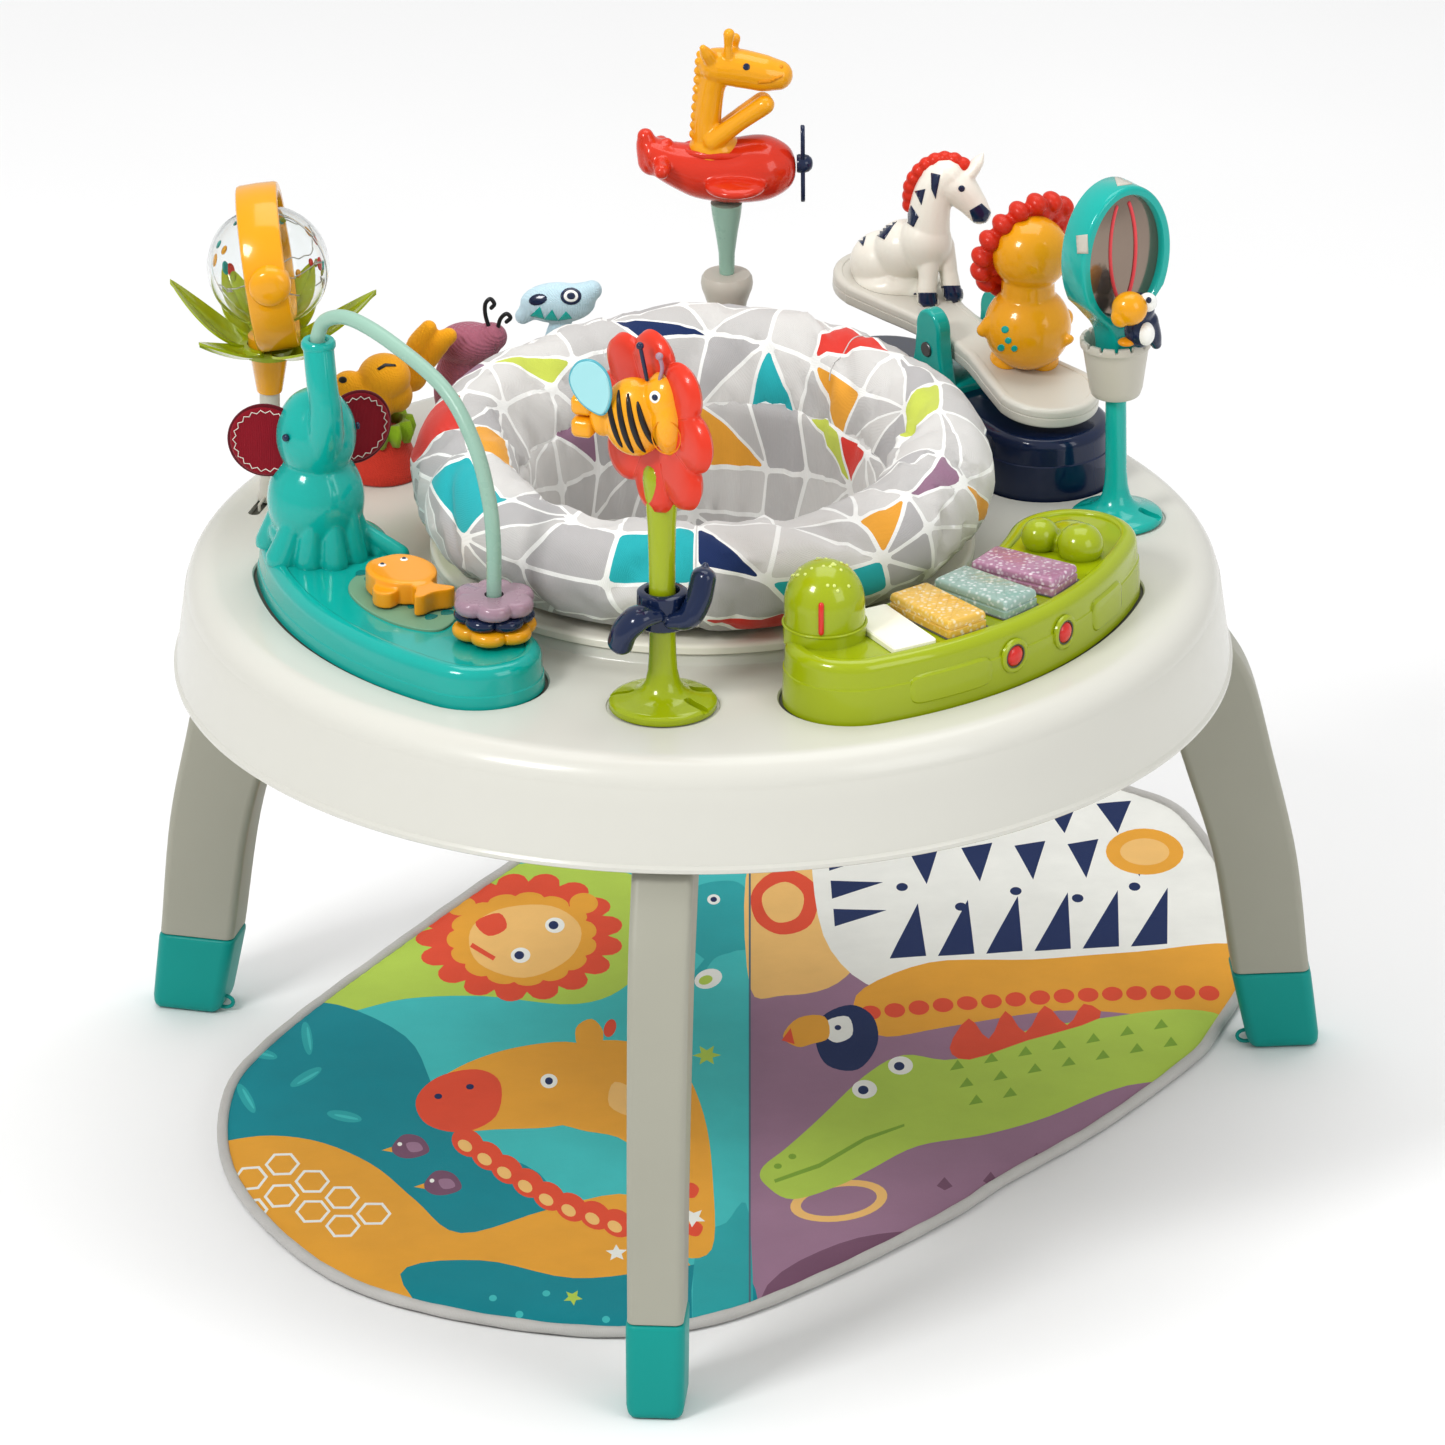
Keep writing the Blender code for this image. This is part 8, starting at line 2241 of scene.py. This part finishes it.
# ------------------------------------------------------------ clear ball toy
cx, cy = -0.304, 0.1125
BALL_Z = 0.6365
piece('ball_post_look', put(lathe([(0.0, TRAY_TOP + 0.0003), (0.0092, TRAY_TOP + 0.0003), (0.0094, 0.4600), (0.0090, 0.4615), (0.0082, 0.4640), (0.0078, 0.4700), (0.0076, 0.4760), (0.0074, 0.4840), (0.0074, 0.5000), (0.0072, 0.5410), (0.0, 0.5410)], 56), (cx, cy, 0)), M_OFFWHITE, replaces='ball_post', sharp=35)
tilt_b = Matrix.Rotation(radians(-8), 4, 'Y')
lean = basis((cx, cy, BALL_Z), tilt_b @ Vector((1, 0, 0)), tilt_b @ Vector((0, 0, 1)))
band = ring_sweep(120, lambda a: [(0.0522, -0.0135), (0.0530, -0.0146), (0.0570, -0.0150), (0.0586, -0.0142), (0.0594, -0.0122), (0.0598, 0.0), (0.0594, 0.0122), (0.0586, 0.0142),
                                  (0.0570, 0.0150), (0.0530, 0.0146), (0.0522, 0.0135), (0.0520, 0.0)])
piece('ball_band', put(band, lean), M_YELLOW, replaces='ball_yoke', sharp=40)
cone = [(0.0, 0.5413), (0.0088, 0.5413), (0.0092, 0.5422), (0.0136, 0.5700), (0.0150, 0.5720), (0.0150, 0.5840), (0.0, 0.5870)]
piece('ball_cone', put(lathe(cone, 48), (cx, cy, 0)), M_YELLOW, sharp=35)
front = lean.to_3x3() @ Vector((0, 1, 0))
if front.y > 0:
    front = -front
bd = basis(Vector((cx, cy, BALL_Z)) + front * 0.0500 + Vector((0.001, 0, 0.0095)), front)
piece('ball_boss', put(lathe([(0.0, 0.0), (0.0150, 0.0), (0.0150, 0.0085), (0.0142, 0.0112), (0.0122, 0.0134), (0.0090, 0.0148), (0.0050, 0.0154), (0.0, 0.0155)], 48), bd), M_YELLOW, sharp=35)
piece('ball_boss_back', put(lathe([(0.0, 0.0), (0.0140, 0.0), (0.0140, 0.0085), (0.0122, 0.0124), (0.0060, 0.0140), (0.0, 0.0142)], 48),
                            basis(Vector((cx, cy, BALL_Z)) - front * 0.0500, -front)), M_YELLOW, sharp=35)
outer, inner_b = ball((cx, cy, BALL_Z), 0.0433, 64, 40), ball((cx, cy, BALL_Z), 0.0417, 64, 40)
vs_o, fs_o = outer
vs_i, fs_i = inner_b
n_o = len(vs_o)
piece('clear_ball_look', (list(vs_o) + list(vs_i), list(fs_o) + [tuple(i + n_o for i in f[::-1]) for f in fs_i]), M_CLEARB, body='rattle_ball', replaces='clear_ball', sharp=None, fix=False)
piece('ball_seam', put(ring_sweep(96, lambda a: [(0.0434 + 0.0005 * cos(t), 0.0009 * sin(t)) for t in [2 * pi * j / 8 for j in range(8)]]), lean @ Matrix.Rotation(radians(72), 4, 'X')),
      M_CLEARB, body='rattle_ball', sharp=None)
rs = random.Random(8)
for i, m_ in enumerate((M_LIME, M_FLOWER, M_YELLOW, M_TEAL)):
    bits = []
    for k in range(5):
        a, h, q = rs.uniform(0, 2 * pi), rs.uniform(-0.5, 0.9), rs.uniform(0.0385, 0.0402)
        n_ = Vector((cos(a) * cos(h), sin(a) * cos(h), sin(h)))
        rad_ = rs.uniform(0.0028, 0.0052)
        bits.append(put(ball((0, 0, 0), (rad_, rad_ * 0.7, 0.0011), 18, 10), basis(Vector((cx, cy, BALL_Z)) + n_ * q, n_)))
    piece(f'ball_bits_{i}', bits, m_, body='rattle_ball', sharp=None)
scr = []
for k in range(7):
    a, h = rs.uniform(0, 2 * pi), rs.uniform(-0.2, 1.0)
    pts = []
    for j in range(14):
        a += rs.uniform(-0.16, 0.16)
        h += rs.uniform(-0.10, 0.10)
        pts.append(Vector((cx, cy, BALL_Z)) + Vector((cos(a) * cos(h), sin(a) * cos(h), sin(h))) * 0.0412)
        a += 0.05
    scr.append(tube(spline(pts, 3, False), 0.00045, 6))
piece('ball_scribble', scr, M_OFFWHITE, body='rattle_ball', sharp=None, fix=False)
leaf_parts = []
for a0, ln, w, rise in ((6, 0.060, 0.0170, 0.040), (62, 0.054, 0.0160, 0.040), (118, 0.054, 0.0160, 0.040), (170, 0.054, 0.0165, 0.048), (226, 0.054, 0.0185, 0.026), (304, 0.050, 0.0180, 0.022)):
    rows = []
    NL, NWd = 22, 10
    for i in range(NL + 1):
        t = i / NL
        hw_ = w * (sin(pi * min(1.0, 0.16 + 0.84 * t)) ** 0.75) * (1 - 0.15 * t) if t < 1 else 0.0004
        r_ = 0.0165 + ln * t
        z_ = 0.5745 + rise * t ** 1.35
        row = []
        for j in range(NWd + 1):
            s_ = -1 + 2 * j / NWd
            row.append(Vector((r_, hw_ * s_, z_ + 0.0052 * (s_ ** 2) * (1 - t) - 0.0018 * math.exp(-(s_ / 0.12) ** 2))))
        rows.append(row)
    top_v = [p for row in rows for p in row]
    bot_v = [p - Vector((0, 0, 0.0020)) for p in top_v]
    vs_, n_ = top_v + bot_v, len(top_v)
    fs_ = []
    idx = lambda i, j: i * (NWd + 1) + j
    for i in range(NL):
        for j in range(NWd):
            q = (idx(i, j), idx(i + 1, j), idx(i + 1, j + 1), idx(i, j + 1))
            fs_ += [q, tuple(x + n_ for x in q[::-1])]
    rim = [idx(i, 0) for i in range(NL + 1)] + [idx(NL, j) for j in range(1, NWd + 1)] + [idx(i, NWd) for i in range(NL - 1, -1, -1)] + [idx(0, j) for j in range(NWd - 1, 0, -1)]
    for i in range(len(rim)):
        a_, b_ = rim[i], rim[(i + 1) % len(rim)]
        fs_.append((b_, a_, a_ + n_, b_ + n_))
    leaf_parts.append(put((vs_, fs_), Matrix.Translation((cx, cy, 0)) @ Matrix.Rotation(radians(a0), 4, 'Z')))
leaf_ob = piece('leaf_collar_look', leaf_parts, M_LIME, replaces='leaf_collar', sharp=40)
piece('leaf_cup', put(lathe([(0.0155, 0.5690), (0.0200, 0.5710), (0.0215, 0.5750), (0.0200, 0.5775), (0.0155, 0.5780)], 48, closed=True), (cx, cy, 0)), M_LIME, sharp=40)

# ---------------------------------------------------------- small soft toys
M_PLUSHB = cloth('plush_blue', (196, 222, 232), 900.0, 0.6, sheen=0.4)
M_PLUSHM = cloth('plush_mauve', (172, 104, 122), 420.0, 1.0, sheen=0.3)
M_PLUSHO = cloth('plush_orange', (240, 170, 30), 800.0, 0.45, sheen=0.3)
M_PLUSHR = cloth('plush_red', (206, 62, 46), 800.0, 0.45, sheen=0.3)
M_PLUSHL = cloth('plush_lime', (150, 184, 40), 800.0, 0.45, sheen=0.3)
uy = 0.157
me = melt([pball(374, 396, uy, (0.0215, 0.0200, 0.0190)), pball(391, 374, uy, (0.0190, 0.0175, 0.0170)), pball(356, 384, uy - 0.004, (0.0130, 0.0120, 0.0120)),
           pball(404, 392, uy, (0.0110, 0.0110, 0.0130))], voxel=0.0014, smooth=5)
bt = tree_of(me)
place('bud_look', me, M_PLUSHO, 'table', 'bud_toy', sharp=None)
paint('bud_face', bt, [[(384, 366), (392, 361), (402, 362), (403, 364), (393, 364), (386, 368)], disc2(350, 377, 4.0, 3.2)], uy, M_BLACK, grid=0.0012)
bx_, by_ = pp(388, 430, uy).x, uy
ruff = ring_sweep(144, lambda a: [(0.0150, 0.4860), (0.0195 + 0.0030 * sin(11 * a), 0.4850), (0.0215 + 0.0034 * sin(11 * a), 0.4930), (0.0195 + 0.0030 * sin(11 * a), 0.5010), (0.0150, 0.5000)])
piece('bud_ruff', put(ruff, (bx_, by_, 0)), M_PLUSHL, sharp=None)
piece('bud_skirt', put(lathe([(0.0, 0.4584), (0.0268, 0.4584), (0.0276, 0.4600), (0.0262, 0.4660), (0.0225, 0.4760), (0.0185, 0.4860), (0.0168, 0.4910), (0.0, 0.4930)], 64), (bx_, by_, 0)),
      M_PLUSHR, sharp=None)
hy_ = 0.205
me = melt([ptube([(418, 360, hy_), (426, 340, hy_), (436, 325, hy_)], [0.0080, 0.0082, 0.0060]), ptube([(434, 356, hy_), (446, 340, hy_), (456, 333, hy_)], [0.0080, 0.0082, 0.0062]),
           ptube([(418, 372, hy_), (421, 356, hy_), (424, 342, hy_)], [0.0120, 0.0100, 0.0060])], voxel=0.0013, smooth=4)
place('bud_leaves', me, M_PLUSHO, 'table', sharp=None)
gy2 = 0.228
me = melt([pball(476, 340, gy2, (0.0235, 0.0190, 0.0150)), ball((-0.168, gy2, 0.492), (0.0200, 0.0180, 0.0350), 32, 20), pball(498, 334, gy2 - 0.002, (0.0120, 0.0120, 0.0105))], voxel=0.0015, smooth=4,
          planes=[((0, 0, TRAY_TOP + 0.0003), (0, 0, -1))])
place('soft_bug_look', me, M_PLUSHM, 'table', 'soft_bug', sharp=None)
for k, pts in enumerate((((497, 326, gy2 - 0.004), (493, 312, gy2 - 0.005), (493, 301, gy2 - 0.006), (498, 296, gy2 - 0.006), (502, 301, gy2 - 0.006), (499, 305, gy2 - 0.006)),
                         ((505, 326, gy2 - 0.004), (508, 316, gy2 - 0.005), (514, 311, gy2 - 0.006), (518, 315, gy2 - 0.006), (514, 319, gy2 - 0.006)))):
    piece(f'bug_feeler_{k}', ptube(pts, 0.0015, seg=12), M_BLACK, sharp=None)
fy_ = 0.285
me = melt([pball(566, 299, fy_, (0.0270, 0.0130, 0.0150)), ptube([(590, 293, fy_), (600, 287, fy_)], [0.0110, 0.0075], per=3), ptube([(541, 303, fy_), (531, 312, fy_)], [0.0090, 0.0060], per=3),
           ball((-0.097, fy_, 0.490), (0.0130, 0.0110, 0.0340), 30, 20)], voxel=0.0013, smooth=4, planes=[((0, 0, TRAY_TOP + 0.0003), (0, 0, -1))])
ft_ = tree_of(me)
place('soft_fish_look', me, M_PLUSHB, 'table', 'soft_fish', sharp=None)
paint('fish_marks', ft_, [disc2(579, 293, 10.5, 8.5), disc2(546, 296, 9, 5.5, turn=-12)], fy_, M_NAVY, grid=0.0014)
paint('fish_ring', ft_, [disc2(579, 293, 7.4, 5.8)], fy_, M_EYEW, grid=0.0013, lift=0.0009)
paint('fish_pupil', ft_, [disc2(579, 293, 4.2, 3.2)], fy_, M_NAVY, grid=0.0012, lift=0.0013)
paint('fish_triangles', ft_, [[(538, 312), (548, 303), (552, 315)], [(552, 316), (560, 306), (566, 317)], [(566, 317), (574, 308), (580, 315)]], fy_, M_MIRRORT, grid=0.0014)

# glossy moulded finish on the toys
for m_ in (M_TEAL, M_LIME, M_YELLOW, M_RED, M_NAVY, M_MIRRORT, M_BEE, M_FISHO, M_PURPLE):
    b_ = next(n for n in m_.node_tree.nodes if n.type == 'BSDF_PRINCIPLED')
    b_.inputs['Coat Weight'].default_value = 0.55
    b_.inputs['Coat Roughness'].default_value = 0.05
